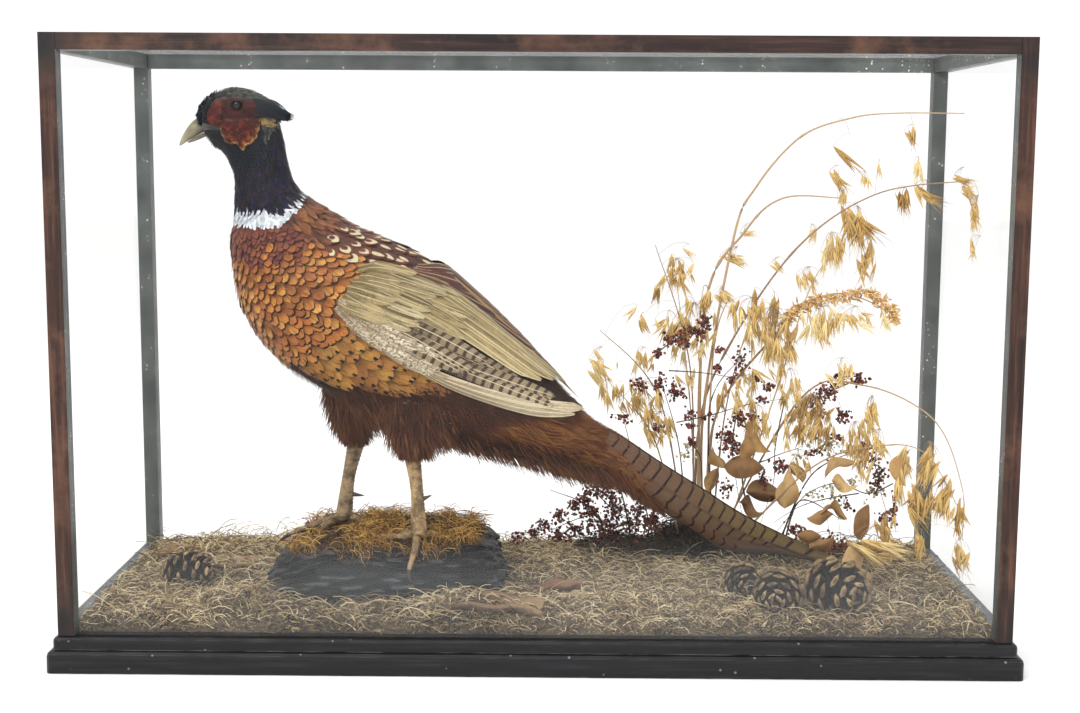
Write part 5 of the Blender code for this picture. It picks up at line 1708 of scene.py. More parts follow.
@dataclass(frozen=True)
class Head:
    """Bill, eyes and bare face skin."""

    body: Body
    upper: tuple[tuple[float, ...], ...] = (
        (-300.5, 472.5, -296.0, 458.5, 6.0), (-306.4, 470.0, -301.6, 457.2, 5.7),
        (-312.0, 466.5, -305.9, 455.2, 5.1), (-317.5, 460.0, -311.8, 451.8, 4.1),
        (-321.6, 453.2, -317.7, 448.2, 2.7), (-324.0, 447.6, -322.4, 445.2, 1.3),
        (-324.6, 445.0, -324.2, 444.4, 0.3))
    lower: tuple[tuple[float, ...], ...] = (
        (-296.0, 458.0, -295.0, 452.6, 5.4), (-301.2, 456.9, -300.4, 452.6, 4.9),
        (-305.6, 455.0, -304.9, 450.8, 4.4), (-311.4, 451.9, -310.4, 448.6, 3.2),
        (-316.4, 448.6, -315.8, 447.1, 1.3), (-317.2, 448.0, -317.0, 447.6, 0.4))

    def build(self) -> None:
        """Builds the pieces of the head."""
        horn = HornFinish("bird_bill_horn", spread=0.3)
        for name, rows, node in (("bill_upper_sheath", self.upper, "bill_upper"),
                                 ("bill_lower_sheath", self.lower, "bill_lower")):
            table = np.array([row + (MIDLINE,) for row in rows])
            points, faces = loft(table, 34, 26, 0.9)
            x, z = points[:, 0], points[:, 2]
            out = np.abs(points[:, 1] - MIDLINE)
            base = shade("#57534D") + (shade("#7E765F") - shade("#57534D")) * smooth(-x, 305, 312)[:, None]
            base = base + (shade("#A59B80") - base) * (smooth(-x, 314, 321) * 0.7)[:, None]
            ridge = np.exp(-((x + 309) / 5.0) ** 2 - ((z - 462.0) / 2.2) ** 2)[:, None]
            base = base + (shade("#A9A27C") - base) * 0.6 * ridge
            edge = smooth(z - (457.2 + (x + 301.6) * 0.66), 1.6, 0.2)[:, None]
            base = base + (shade("#6F5F4C") - base) * 0.5 * edge
            if node == "bill_upper":
                # The nostril is a slit pressed into each side and darkened as painted shade inside it.
                slot = np.exp(-((x + 304.6) / 2.3) ** 2 - ((z - 463.2 - (x + 304.6) * 0.5) / 0.9) ** 2)
                slot *= out > 2
                points[:, 1] -= np.sign(points[:, 1] - MIDLINE) * 1.1 * slot
                base = base * (1 - 0.9 * slot[:, None])
            mesh = make_mesh(name, points, faces)
            add_values(mesh, "Base", "FLOAT_COLOR", base)
            place_piece(name, mesh, horn, "horn", (node,))
        for side in Side:
            self.face(side)
            self.gape(side, horn)
        for side in Side:
            self.eye(side)

    def gape(self, side: Side, horn: HornFinish) -> None:
        """Builds the horny corner of the mouth, where the bill runs back under the forehead.

        Args:
            side: The side of the bird.
            horn: The bill's finish.
        """
        rows, columns = 24, 9
        t, c = lattice(np.linspace(0, 1, rows), np.linspace(-1, 1, columns))
        x = -299.5 + 18.5 * t
        z = 462.0 - 2.6 * t + c * (3.2 * (1 - t) ** 0.9 + 0.5)
        chart = self.body.chart(np.stack([x, z], -1).reshape(-1, 2), side)
        here = self.body.form.read(chart[:, 0], chart[:, 1]).reshape(rows, columns, 8)
        lift = (2.1 * (1 - c ** 4) * (1 - 0.4 * t))[..., None]
        place, out = here[..., :3], here[..., 3:6]
        shell = np.concatenate([place + out * (lift + 0.3), (place - out * 0.8)[:, ::-1]], axis=1)
        faces = closed_faces(1, rows, 2 * columns)
        mesh = make_mesh(f"bill_gape_{side.name.lower()}", shell.reshape(-1, 3),
                         faces if side is Side.FAR else turned_over(faces))
        tone = smooth(np.concatenate([t, t], axis=1).reshape(-1), 0.0, 0.55)[:, None]
        add_values(mesh, "Base", "FLOAT_COLOR", shade("#4A4338") * (1 - tone) + shade("#120E0C") * tone)
        place_piece(mesh.name, mesh, horn, "horn")

    def face(self, side: Side) -> None:
        """Builds the bare face skin of one side.

        Args:
            side: The side of the bird.
        """
        rows, columns = 40, 150
        rho, turn = lattice(np.concatenate([np.linspace(0.02, 1.0, rows - 3), [1.0, 0.97, 0.90]]),
                            around(columns))
        low = smooth(-np.sin(turn), 0.1, 0.5)
        reach = wattle_reach(turn) * (1 + 0.030 * np.sin(turn * 17 + 0.5) * low * rho)
        x = WATTLE_MIDDLE[0] + rho * reach * np.cos(turn)
        z = WATTLE_MIDDLE[1] + rho * reach * np.sin(turn)
        # The form under the skin is read through a grid of 2 mm.
        coarse_x, coarse_z = np.arange(-298.0, -241.0, 2.0), np.arange(438.0, 493.0, 2.0)
        chart = self.body.chart(np.stack(lattice(coarse_x, coarse_z), -1).reshape(-1, 2), side)
        here = self.body.form.read(chart[:, 0], chart[:, 1]).reshape(len(coarse_x), len(coarse_z), 8)
        near = read_grid(here, np.clip((x - coarse_x[0]) / 2, 0, len(coarse_x) - 1),
                         np.clip((z - coarse_z[0]) / 2, 0, len(coarse_z) - 1))
        draw = np.random.default_rng(11)
        pits = np.stack([draw.uniform(-294, -246, 330), draw.uniform(442, 487, 330)], -1)
        away = np.sqrt(((np.stack([x, z], -1)[..., None, :] - pits) ** 2).sum(-1)).min(-1)
        # The pits are small dents, darkened in the colours below as painted shade.
        pit = smooth(away, 1.45, 0.55) * (0.35 + 0.65 * smooth(-(z - 466), -2, 5)) * smooth(rho, 1.0, 0.9)
        patch = 0.9 * np.sin(x * 0.43 + 1.7 * np.sin(z * 0.31)) * np.sin(z * 0.52 + 1.3 * np.sin(x * 0.27))
        patch = 0.55 + patch
        # The fold is a crease, pressed in and darkened as painted shade.
        fold = np.exp(-((z - 470.5 - 0.04 * (x + 262)) / 1.6) ** 2) * smooth(x, -288, -276)
        dark = np.exp(-(((x + 255) / 8.5) ** 2 + ((z - 474) / 4.0) ** 2)) + 0.7 * np.exp(
            -(((x + 268) / 9) ** 2 + ((z - 482) / 7) ** 2))
        # The ridge under the eye is raised and lightened to a pale pink as a painted highlight.
        ridge = np.exp(-((z - 467.2) / 1.3) ** 2) * smooth(x, -284, -278) * smooth(-x, 249, 254)
        lobe = smooth(-x + 0.9 * np.sin(z * 0.8) + 0.7 * np.sin(z * 1.9), 280.5, 286.5)
        # The groove is pressed in and darkened as painted shade.
        groove = np.exp(-((x + 281.5 - 0.25 * (z - 468) + 0.8 * np.sin(z * 0.9)) / 1.5) ** 2)
        groove = groove * smooth(z, 458, 462)
        rim = smooth(rho, 0.80, 0.96)
        lift = 2.6 + 0.5 * ridge - 0.9 * fold - 0.7 * pit + 0.5 * lobe + 0.5 * rim * low - 0.5 * dark
        lift = lift - 0.8 * groove
        lift = lift * np.sqrt(np.clip(1 - np.minimum(rho, 1) ** 10, 0, 1)) + 0.9 * (rho > 0.5)
        lift[-3:] = np.array([0.4, -0.4, -0.9])[:, None]
        place = near[..., :3] + near[..., 3:6] * lift[..., None]
        place[..., 0], place[..., 2] = x, z
        base = np.broadcast_to(shade("#6E2B22"), (rows, columns, 3)).copy()
        # Of these colours, the pits, the fold and the groove are painted shade and the ridge's pale pink a
        # painted highlight; the others are the skin's own.
        for code, share in (
                ("#A23A22", smooth(-(z - 466), -1, 6) * 0.9), ("#B9552C", smooth(-(z - 460), 0, 8) * 0.6),
                ("#A3402C", lobe * 0.8), ("#9A6A5C", np.clip(ridge, 0, 1) * 0.5),
                ("#E2A04A", rim * low * 0.95),
                ("#B98B4C", rim * smooth(np.cos(turn), 0.75, 0.97) * 0.8),
                ("#F0BC6C", smooth(rho, 0.90, 0.98) * low * 0.9), ("#8A6A66", smooth(z, 484.5, 487) * 0.6),
                ("#241412", np.clip(dark, 0, 1) * 0.85), ("#1E0A08", pit * 0.9),
                ("#3A1B18", np.clip(fold, 0, 1) * 0.6), ("#2A1413", groove * 0.8),
                ("#3E1A17", np.clip(patch, 0, 1) * 0.8)):
            base += (shade(code) - base) * share[..., None]
        faces = closed_faces(1, rows, columns)
        mesh = make_mesh(f"face_skin_{side.name.lower()}", place.reshape(-1, 3),
                         faces if side is Side.FAR else turned_over(faces))
        add_values(mesh, "Base", "FLOAT_COLOR", base.reshape(-1, 3))
        place_piece(mesh.name, mesh, FaceSkin("papillose_face_skin"), "red_face_skin",
                    (f"wattle_{side.hand}",))

    def eye(self, side: Side) -> None:
        """Builds one eye and its lids.

        Args:
            side: The side of the bird.
        """
        middle = np.array([EYE[0], MIDLINE + side.value * EYE[1], EYE[2]])
        turn, rise = lattice(np.linspace(0.001, np.pi - 0.001, 25), around(40))
        ball = np.stack([np.sin(turn) * np.cos(rise), -np.cos(turn), np.sin(turn) * np.sin(rise)], -1)
        mesh = make_mesh(f"glass_eye_{side.hand}", middle + (ball * EYE_RADIUS).reshape(-1, 3),
                         turned_over(closed_faces(1, 25, 40)))
        place_piece(mesh.name, mesh, GlassEye("painted_glass_eye"), "glass_eye", (f"eye_{side.hand}",))
        rings, sides = 48, 10
        along, round_ = lattice(around(rings), around(sides))
        radius = 4.4 + 0.25 * np.sin(along * 3) + (0.85 + 0.15 * np.sin(along * 9)) * np.cos(round_)
        out = 3.7 + 1.3 * np.sin(round_)
        lid = np.stack([radius * np.cos(along) * 1.08, side.value * out, radius * np.sin(along) * 0.92], -1)
        # One ring more than there are, so that the last joins the first.
        quads = strip_faces(1, rings + 1, sides, closed=True) % (rings * sides)
        mesh = make_mesh(f"eyelids_{side.hand}", middle + lid.reshape(-1, 3),
                         quads if side is Side.NEAR else quads[:, ::-1])
        add_values(mesh, "Base", "FLOAT_COLOR", np.broadcast_to(shade("#160A09"), (rings * sides, 3)))
        place_piece(mesh.name, mesh, FaceSkin("papillose_face_skin"), "red_face_skin")


@dataclass(frozen=True)
class Leg:
    """One leg from hock to claws: shank x, y, radius at three heights, then the toes."""

    word: str
    shank: tuple[tuple[float, float, float], ...]
    toes: tuple[tuple[tuple[float, float, float], ...], ...]
    spur: tuple[tuple[float, float, float], tuple[float, float, float]]
    finish: LegFinish
    heights: tuple[float, float, float] = (166.0, 135.0, 104.0)
    toe_radius: float = 3.5
    claw_share: float = 0.80
    scute_pitch: float = 3.2
    ring_pitch: float = 2.1

    def build(self) -> None:
        """Builds the shank with its scutes and spur, then the toes with rings and claws."""
        table = np.array([(x, y, z, r) for (x, y, r), z in zip(self.shank, self.heights)])
        table = np.concatenate([table, [(table[2, 0] - 1, table[2, 1] - 1.5, 96.0, table[2, 3] * 0.95)]])
        fine = spline(table, np.linspace(0.0, 3, 46))
        fine[0, 2] += 3.0
        self.piece("shank_core", tubes(fine[None, :, :3], fine[None, :, 3], 20), (f"shank_{self.word}",))
        count = int(70 / self.scute_pitch)
        ring = spline(table, np.linspace(0.02, 2.45, count))
        self.scutes(f"shank_scutes_{self.word}", ring[:, :3], ring[:, 3] * 1.03, self.scute_pitch, 7.0)
        toes, claws = [], []
        for toe in self.toes:
            line = np.array(toe, float)
            t = np.linspace(0, len(line) - 1, 60)
            path = spline(line, t)
            share = np.concatenate([[0], np.cumsum(np.linalg.norm(np.diff(path, axis=0), axis=1))])
            total = share[-1]
            share /= total
            even = np.stack([np.interp(np.linspace(0, 1, 44), share, path[:, k]) for k in range(3)], -1)
            toes.append((even, total))
            claws.append(spline(even, np.linspace(self.claw_share - 0.02, 1.0, 14) * 43))
        radii = np.stack([self.toe_girth(total) for _, total in toes])
        self.piece("foot_core", tubes(np.stack([e for e, _ in toes]), radii, 14), (f"foot_{self.word}",))
        spots, girths = [], []
        for (even, total), girth in zip(toes, radii):
            at = np.arange(0.06, self.claw_share - 0.02, self.ring_pitch / total) * 43
            spots.append(np.concatenate([spline(even, at), spline(even, at + 0.5) - spline(even, at)], 1))
            girths.append(np.interp(at, np.arange(44), girth) * 1.05)
        spots = np.concatenate(spots)
        self.scutes(f"toe_rings_{self.word}", spots[:, :3], np.concatenate(girths), self.ring_pitch, 10.0,
                    spots[:, 3:])
        claw = np.stack(claws)
        radii = 2.0 * np.sqrt(np.linspace(1, 0.0, 14)) + 0.12
        horn = HornFinish("dark_claw_horn", spread=0.25)
        self.piece("claws", tubes(claw, np.broadcast_to(radii, claw.shape[:2]), 10), (), horn, "#3A2E26")
        root, tip = np.array(self.spur)
        cone = root + (tip - root) * np.linspace(-0.35, 1, 10)[:, None]
        cone[:, 2] += 1.2 * np.linspace(0, 1, 10) ** 2
        girth = 3.0 * np.linspace(1, 0.06, 10) ** 0.8
        self.piece("spur", tubes(cone[None], girth[None], 14), (), horn, "#45372C")

    def toe_girth(self, total: float) -> Array:
        """Radii along a toe, with its pads' swellings.

        Args:
            total: The toe's length in millimetres.

        Returns:
            Radii from root to claw tip.
        """
        s = np.linspace(0, 1, 44)
        body = self.toe_radius * (1 - 0.42 * np.minimum(s / self.claw_share, 1))
        swell = 1 + 0.10 * np.sin(s * total / 11.0 * TAU)
        return np.where(s < self.claw_share, body * swell, np.maximum(0.3, 1.9 - 8 * (s - self.claw_share)))

    def piece(self, name: str, shape: Shape, nodes: tuple[str, ...], finish: Finish | None = None,
              code: str = "#B39A73") -> None:
        """Places one of the leg's closed forms.

        Args:
            name: The piece's name without the leg's.
            shape: Its points and faces.
            nodes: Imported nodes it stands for.
            finish: A finish other than the leg's.
            code: Its stored colour.
        """
        mesh = make_mesh(f"{name}_{self.word}", *shape)
        add_values(mesh, "Base", "FLOAT_COLOR", np.broadcast_to(shade(code), (len(shape[0]), 3)))
        place_piece(mesh.name, mesh, finish or self.finish, "horn" if finish else "scaly_leg_skin", nodes)

    def scutes(self, name: str, spots: Array, girths: Array, pitch: float, tilt: float,
               ahead: Array | None = None) -> None:
        """Shingles a limb with overlapping ring scutes.

        Args:
            name: The piece's name.
            spots: Middle of each ring.
            girths: Radius of each ring.
            pitch: Distance between rings.
            tilt: How far each leans, in degrees.
            ahead: The limb's direction at each ring, downwards or outwards.
        """
        if ahead is None:
            ahead = np.gradient(spots, axis=0)
        turns = [Vector(a).to_track_quat("-Z", "Y").to_euler() for a in ahead]
        base = bpy.data.meshes.new(name)
        base.from_pydata((spots * MM).tolist(), [], [])
        add_values(base, "Turn", "FLOAT_VECTOR", np.array([tuple(t) for t in turns]))
        add_values(base, "Girth", "FLOAT", girths * MM)
        rule = GeometryRule("limb_scutes", {"Pitch": pitch * MM, "Tilt": float(np.radians(tilt)),
                                            "Flare": 1.10})
        add, given = rule.nodes.add, rule.inputs
        cone = add("GeometryNodeMeshCone", {"Vertices": 18, "Side Segments": 3, "Radius Top": 0.99,
                                            "Radius Bottom": given["Flare"], "Depth": 1.25}, out="Mesh",
                   fill_type="NONE")
        cone = add("GeometryNodeTransform", {
            "Geometry": cone, "Rotation": add("CombineXYZ", {"Y": given["Tilt"]})})
        girth = add("GeometryNodeInputNamedAttribute", {"Name": "Girth"}, data_type="FLOAT")
        size = add("CombineXYZ", {"X": girth, "Y": girth, "Z": given["Pitch"]})
        turn = add("GeometryNodeInputNamedAttribute", {"Name": "Turn"}, data_type="FLOAT_VECTOR")
        points = add("GeometryNodeMeshToPoints", {"Mesh": given["Geometry"]})
        rings = add("GeometryNodeInstanceOnPoints", {"Points": points, "Instance": cone, "Rotation": turn,
                                                     "Scale": size})
        rule.finish(rings, self.finish.material())
        mesh = rule.run(base, name)
        mesh.polygons.foreach_set("use_smooth", np.ones(len(mesh.polygons), bool))
        place_piece(name, mesh, None, "scaly_leg_skin")


LEGS = (
    Leg("left", ((-112, -46, 7.0), (-107.5, -52, 5.3), (-105.5, -60, 6.6)),
        (((-106, -62, 96.5), (-106, -80, 96.3), (-106.5, -91, 91), (-109.5, -96.5, 81), (-111.5, -98, 72),
          (-109.5, -98.5, 64)),
         ((-106, -61, 96.5), (-126, -64, 96.2), (-147, -67, 95.6), (-160, -69, 94)),
         ((-106, -60, 96.5), (-119, -48, 96.2), (-133, -37, 94.8)),
         ((-106, -60, 98.5), (-94, -54, 97), (-85, -50, 94.6))),
        ((-103, -55, 129), (-94.5, -54.5, 131.5)), LegFinish("tan_leg_scutes")),
    Leg("right", ((-171, 11, 7.4), (-177.5, 9, 5.6), (-181, 6, 7.0)),
        (((-181, 5, 96.5), (-201, 4, 93.6), (-223, 2, 86), (-236, 1, 80), (-245, 0, 72.5)),
         ((-181, 6, 96.5), (-193, 20, 95.8), (-207, 32, 90)),
         ((-181, 4, 96.5), (-194, -9, 95.6), (-207, -20, 90)),
         ((-181, 5, 98.5), (-168, 3, 97), (-159, 1, 94.6))),
        ((-173.5, 7, 119.5), (-162.5, 5.5, 117.5)),
        LegFinish("brown_leg_scutes", light="#A58C68", dark="#5E4B39", crease="#352619")),
)


# ---------------------------------------------------------------- the glazed case
@dataclass(frozen=True)
class EbonisedPine(Finish):
    """Black-stained and waxed pine: near black, grey along the edges, partly worn and partly a painted
    highlight, with a few pale knocks.
    """

    worn: str = "#8B8B8D"

    def paint(self, tree: NodeTree) -> Socket:
        """Wires grain of about 2 mm by 60 mm, grey edges that are partly rubbed and partly a painted
        highlight, and specks of about 1.5 mm.

        Args:
            tree: The tree being wired.

        Returns:
            The shader.
        """
        place = tree.add("TexCoord", out="Object")
        long = tree.add("VectorMath", {0: place, 1: (16.0, 450.0, 450.0)}, operation="MULTIPLY")
        grain = tree.add("TexNoise", {"Vector": long, "Scale": 1.0, "Detail": 4.0}, out="Fac")
        colour = tree.add("ValToRGB", {"Fac": grain}, stops=(
            (0.3, "#0C0C0E"), (0.55, "#141416"), (0.75, "#222226")))
        # The grey along the rounded edges is partly wear and partly a painted highlight.
        soft = tree.add("Bevel", {"Radius": 0.0012}, samples=4)
        edge = tree.add("VectorMath", {0: soft, 1: tree.add("NewGeometry", out="Normal")},
                        "Value", operation="DOT_PRODUCT")
        rub = tree.add("TexNoise", {"Vector": place, "Scale": 60.0, "Detail": 4.0}, out="Fac")
        edge = tree.add("MapRange", {"Value": edge, "From Min": 0.985, "From Max": 0.80})
        edge = tree.add("Math", {0: edge, 1: tree.add("MapRange", {
            "Value": rub, "From Min": 0.42, "From Max": 0.62})}, operation="MULTIPLY")
        colour = tree.add("Mix", {0: edge, 6: colour, 7: linear(self.worn)}, 2, data_type="RGBA")
        speck = tree.add("TexVoronoi", {"Vector": place, "Scale": 75.0}, out="Distance")
        speck = tree.add("MapRange", {"Value": speck, "From Min": 0.10, "From Max": 0.05, "To Max": 0.7})
        colour = tree.add("Mix", {0: speck, 6: colour, 7: linear(self.worn)}, 2, data_type="RGBA")
        bump = tree.add("Bump", {"Height": grain, "Strength": 0.25, "Distance": 0.0005})
        return tree.add("BsdfPrincipled", {"Base Color": colour, "Roughness": 0.42, "Specular IOR Level": 0.3,
                                           "Normal": bump})


@dataclass(frozen=True)
class CaseWood(Finish):
    """Mahogany stain and old varnish outside, blackened at the joints; flaking grey-green paint inside.

    The direction a face looks in tells the outside from the inside.
    """

    stain: tuple[str, str, str] = ("#1E110D", "#3A231B", "#5C3B2C")
    painted: str = "#3C403E"
    grain: tuple[float, float, float] = (260.0, 260.0, 12.0)
    all_paint: float = 0.0
    dark: tuple[float, float] = (0.03, 0.50)

    def paint(self, tree: NodeTree) -> Socket:
        """Wires grain of about 4 mm by 80 mm, the joints' soot, the paint and its chips.

        Args:
            tree: The tree being wired.

        Returns:
            The shader.
        """
        place = tree.add("TexCoord", out="Object")
        long = tree.add("VectorMath", {0: place, 1: self.grain}, operation="MULTIPLY")
        grain = tree.add("TexNoise", {"Vector": long, "Scale": 1.0, "Detail": 5.0, "Roughness": 0.6},
                         out="Fac")
        colour = tree.add("ValToRGB", {"Fac": grain}, stops=(
            (0.32, self.stain[0]), (0.52, self.stain[1]), (0.70, self.stain[2])))
        wear = tree.add("TexNoise", {"Vector": place, "Scale": 22.0, "Detail": 5.0, "Roughness": 0.65},
                        out="Fac")
        share = tree.add("MapRange", {"Value": wear, "From Min": 0.50, "From Max": 0.72, "To Max": 0.7})
        colour = tree.add("Mix", {0: share, 6: colour, 7: linear("#694836")}, 2, data_type="RGBA")
        height = tree.add("SeparateXYZ", {"Vector": place}).node.outputs
        end = tree.add("MapRange", {"Value": tree.add("Math", {0: height["X"]}, operation="ABSOLUTE"),
                                    "From Min": 0.362, "From Max": 0.398})
        tall = tree.add("MapRange", {
            "Value": height["Z"], "From Min": self.dark[1] - 0.02, "From Max": self.dark[1] + 0.02})
        foot = tree.add("MapRange", {
            "Value": height["Z"], "From Min": self.dark[0] + 0.055, "From Max": self.dark[0] + 0.015})
        joint = tree.add("Math", {0: tall, 1: foot}, operation="MAXIMUM")
        joint = tree.add("Math", {0: end, 1: joint}, operation="MULTIPLY")
        joint = tree.add("Math", {0: joint, 1: tree.add("MapRange", {
            "Value": wear, "From Min": 0.35, "From Max": 0.55, "To Min": 0.4})}, operation="MULTIPLY")
        colour = tree.add("Mix", {0: joint, 6: colour, 7: linear("#191719")}, 2, data_type="RGBA")
        # A face that looks back to the middle of the case, 0.27 m up, is an inner one.
        spot = tree.add("VectorMath", {0: place, 1: (0, 0, 0.27)}, operation="SUBTRACT")
        outward = tree.add("VectorMath", {0: spot, 1: tree.add("NewGeometry", out="True Normal")}, "Value",
                           operation="DOT_PRODUCT")
        inner = tree.add("MapRange", {"Value": outward, "From Min": -0.02, "From Max": -0.05})
        inner = tree.add("Math", {0: inner, 1: self.all_paint}, operation="MAXIMUM")
        mottled = tree.add("Mix", {0: tree.add("MapRange", {
            "Value": wear, "From Min": 0.35, "From Max": 0.65}), 6: linear(self.painted),
            7: linear("#5E625F")}, 2,
            data_type="RGBA")
        chips = tree.add("TexVoronoi", {"Vector": place, "Scale": 190.0}, out="Distance")
        chip = tree.add("Math", {0: tree.add("MapRange", {
            "Value": chips, "From Min": 0.20, "From Max": 0.10}), 1: tree.add("MapRange", {
                "Value": wear, "From Min": 0.50, "From Max": 0.60})}, operation="MULTIPLY")
        mottled = tree.add("Mix", {0: chip, 6: mottled, 7: linear("#E4E4E0")}, 2, data_type="RGBA")
        colour = tree.add("Mix", {0: inner, 6: colour, 7: mottled}, 2, data_type="RGBA")
        bump = tree.add("Bump", {"Height": grain, "Strength": 0.3, "Distance": 0.0004})
        return tree.add("BsdfPrincipled", {"Base Color": colour, "Roughness": 0.45, "Specular IOR Level": 0.3,
                                           "Normal": bump})


@dataclass(frozen=True)
class PaneGlass(Finish):
    """Old drawn sheet glass: clear, softly reflecting, with a faint dust and a painted reflection of the
    floor near its foot.
    """

    dust: float = 0.004
    # foot: the pale haze at the pane's foot, a painted reflection of the floor in front of the case.
    foot: float = 0.035
    shine: float = 1.10

    def paint(self, tree: NodeTree) -> Socket:
        """Wires clear glass under a faint mist of dust, and a pale haze that thickens towards the foot as a
        painted reflection of the floor in front.

        Args:
            tree: The tree being wired.

        Returns:
            The shader.
        """
        place = tree.add("TexCoord", out="Object")
        height = tree.add("SeparateXYZ", {"Vector": place}).node.outputs["Z"]
        cloud = tree.add("TexNoise", {"Vector": place, "Scale": 9.0, "Detail": 5.0}, out="Fac")
        # The haze towards the foot is a painted reflection of the floor in front of the case.
        low = tree.add("MapRange", {"Value": height, "From Min": 0.125, "From Max": 0.075,
                                    "To Max": self.foot},
                       interpolation_type="SMOOTHSTEP")
        dust_and_reflection = tree.add("Math", {0: tree.add("MapRange", {
            "Value": cloud, "From Min": 0.3, "From Max": 0.7, "To Min": 0.6, "To Max": 1.2}), 1: low},
            operation="MULTIPLY")
        dust_and_reflection = tree.add("Math", {0: dust_and_reflection, 1: self.dust})
        # Leaving the glass, the index turns over, so that both faces mirror alike.
        mirror = tree.add("Mix", {
            0: tree.add("NewGeometry", out="Backfacing"), 2: tree.add("Fresnel", {"IOR": self.shine}),
            3: tree.add("Fresnel", {"IOR": 1 / self.shine})}, 0, data_type="FLOAT")
        clear = tree.add("MixShader", {
            0: mirror,
            1: tree.add("BsdfTransparent", {"Color": linear("#FFFFFF")}),
            2: tree.add("BsdfGlossy", {"Roughness": 0.03})})
        haze = tree.add("BsdfDiffuse", {"Color": linear("#D9DBDC")})
        return tree.add("MixShader", {0: dust_and_reflection, 1: clear, 2: haze})


@dataclass(frozen=True)
class Case:
    """The case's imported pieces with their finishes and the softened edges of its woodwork."""

    round_over: float = 0.8

    def build(self, nodes: dict[str, bpy.types.Object]) -> None:
        """Finishes each piece of the case.

        Args:
            nodes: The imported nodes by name.
        """
        ebonised = EbonisedPine("ebonised_pine_wax")
        upright = CaseWood("stained_mahogany_upright")
        back = CaseWood("painted_back_upright", stain=("#1C1A19", "#33302C", "#4A4641"), all_paint=0.8)
        along_x = CaseWood("stained_mahogany_rail", grain=(12.0, 260.0, 260.0),
                           stain=("#170F10", "#2C1D1A", "#452F27"))
        along_y = CaseWood("stained_mahogany_side_rail", grain=(260.0, 12.0, 260.0))
        back_rail = CaseWood("painted_back_rail", grain=along_x.grain, stain=back.stain, all_paint=0.8)
        glass = PaneGlass("drawn_sheet_glass")
        clean = PaneGlass("drawn_sheet_glass_clean", dust=0.0, foot=0.01, shine=1.08)
        table = {
            ebonised: ("base_plinth", "base_moulding"), upright: ("post_front_left", "post_front_right"),
            back: ("post_back_left", "post_back_right"), along_x: ("rail_front",),
            along_y: ("rail_left", "rail_right", "sill_left", "sill_right"),
            back_rail: ("rail_back", "sill_back"), glass: ("glass_front",),
            clean: ("glass_left", "glass_right", "glass_back", "glass_top"),
        }
        for finish, name in ((finish, name) for finish, names in table.items() for name in names):
            node = nodes[name]
            node.data.materials.clear()
            node.data.materials.append(finish.material())
            if "glass" not in name:
                soften = node.modifiers.new("round_over", "BEVEL")
                soften.width, soften.segments, soften.limit_method = self.round_over * MM, 2, "ANGLE"
                soften.harden_normals = False
            LOG.info("%s: finished", name)


# ---------------------------------------------------------------- groundwork
GROUND_TOP = 39.6
ROCK_TOP = 92.0
# How far from the middle, and how low, litter may reach inside the panes, in metres.
LITTER_REACH = (0.390, 0.1465)
LITTER_LOW = 0.031


@dataclass(frozen=True)
class EarthMat(Finish):
    """Sawdust and papier-mache groundwork: matt, crumbly, with moss dust between the straw."""

    light: str = "#86745A"
    dark: str = "#3E3326"

    def paint(self, tree: NodeTree) -> Socket:
        """Wires crumbs of about 3 mm over drifts of about 60 mm.

        Args:
            tree: The tree being wired.

        Returns:
            The shader.
        """
        place = tree.add("TexCoord", out="Object")
        drift = tree.add("TexNoise", {"Vector": place, "Scale": 16.0, "Detail": 4.0}, out="Fac")
        crumb = tree.add("TexNoise", {"Vector": place, "Scale": 330.0, "Detail": 4.0, "Roughness": 0.7},
                         out="Fac")
        both = tree.add("Math", {0: tree.add("Math", {0: drift, 1: crumb}), 1: 0.5},
                        operation="MULTIPLY")
        colour = tree.add("ValToRGB", {"Fac": both}, stops=((0.40, self.dark), (0.60, self.light)))
        bump = tree.add("Bump", {"Height": crumb, "Strength": 0.8, "Distance": 0.002})
        return tree.add("BsdfPrincipled", {
            "Base Color": colour, "Roughness": 0.95, "Specular IOR Level": 0.2, "Normal": bump})


@dataclass(frozen=True)
class DriedPlant(Finish):
    """Dried stems, leaves or moss: papery and matt, streaked along the fibre, each one its own tone.

    The tone comes from each piece's stored "Tone" value, from 0 to 1.
    """

    tones: tuple[str, ...] = ("#7B6A55", "#A8967C", "#C7B699")
    roughness: float = 0.7
    fleck: float = 700.0
    depth: float = 0.3
    drift: float = 0.0

    def paint(self, tree: NodeTree) -> Socket:
        """Wires the tones with flecks of about 1.5 mm, drifts of about 60 mm and a papery sheen.

        Args:
            tree: The tree being wired.

        Returns:
            The shader.
        """
        place = tree.add("TexCoord", out="Object")
        tone = tree.add("Attribute", out="Fac", attribute_name="Tone")
        noise = tree.add("TexNoise", {"Vector": place, "Scale": self.fleck, "Detail": 3.0}, out="Fac")
        both = tree.add("Math", {0: noise, 1: self.depth, 2: tone}, operation="MULTIPLY_ADD")
        wide = tree.add("TexNoise", {"Vector": place, "Scale": 15.0, "Detail": 3.0}, out="Fac")
        both = tree.add("Math", {0: wide, 1: self.drift, 2: both}, operation="MULTIPLY_ADD")
        both = tree.add("Math", {0: both, 1: (self.depth + self.drift) / 2}, operation="SUBTRACT")
        last = len(self.tones) - 1
        colour = tree.add("ValToRGB", {"Fac": both}, stops=tuple(
            (0.05 + 0.9 * i / last, code) for i, code in enumerate(self.tones)))
        bump = tree.add("Bump", {"Height": noise, "Strength": 0.4, "Distance": 0.0005})
        return tree.add("BsdfPrincipled", {
            "Base Color": colour, "Roughness": self.roughness, "Specular IOR Level": 0.25, "Normal": bump,
            "Sheen Weight": 0.03})


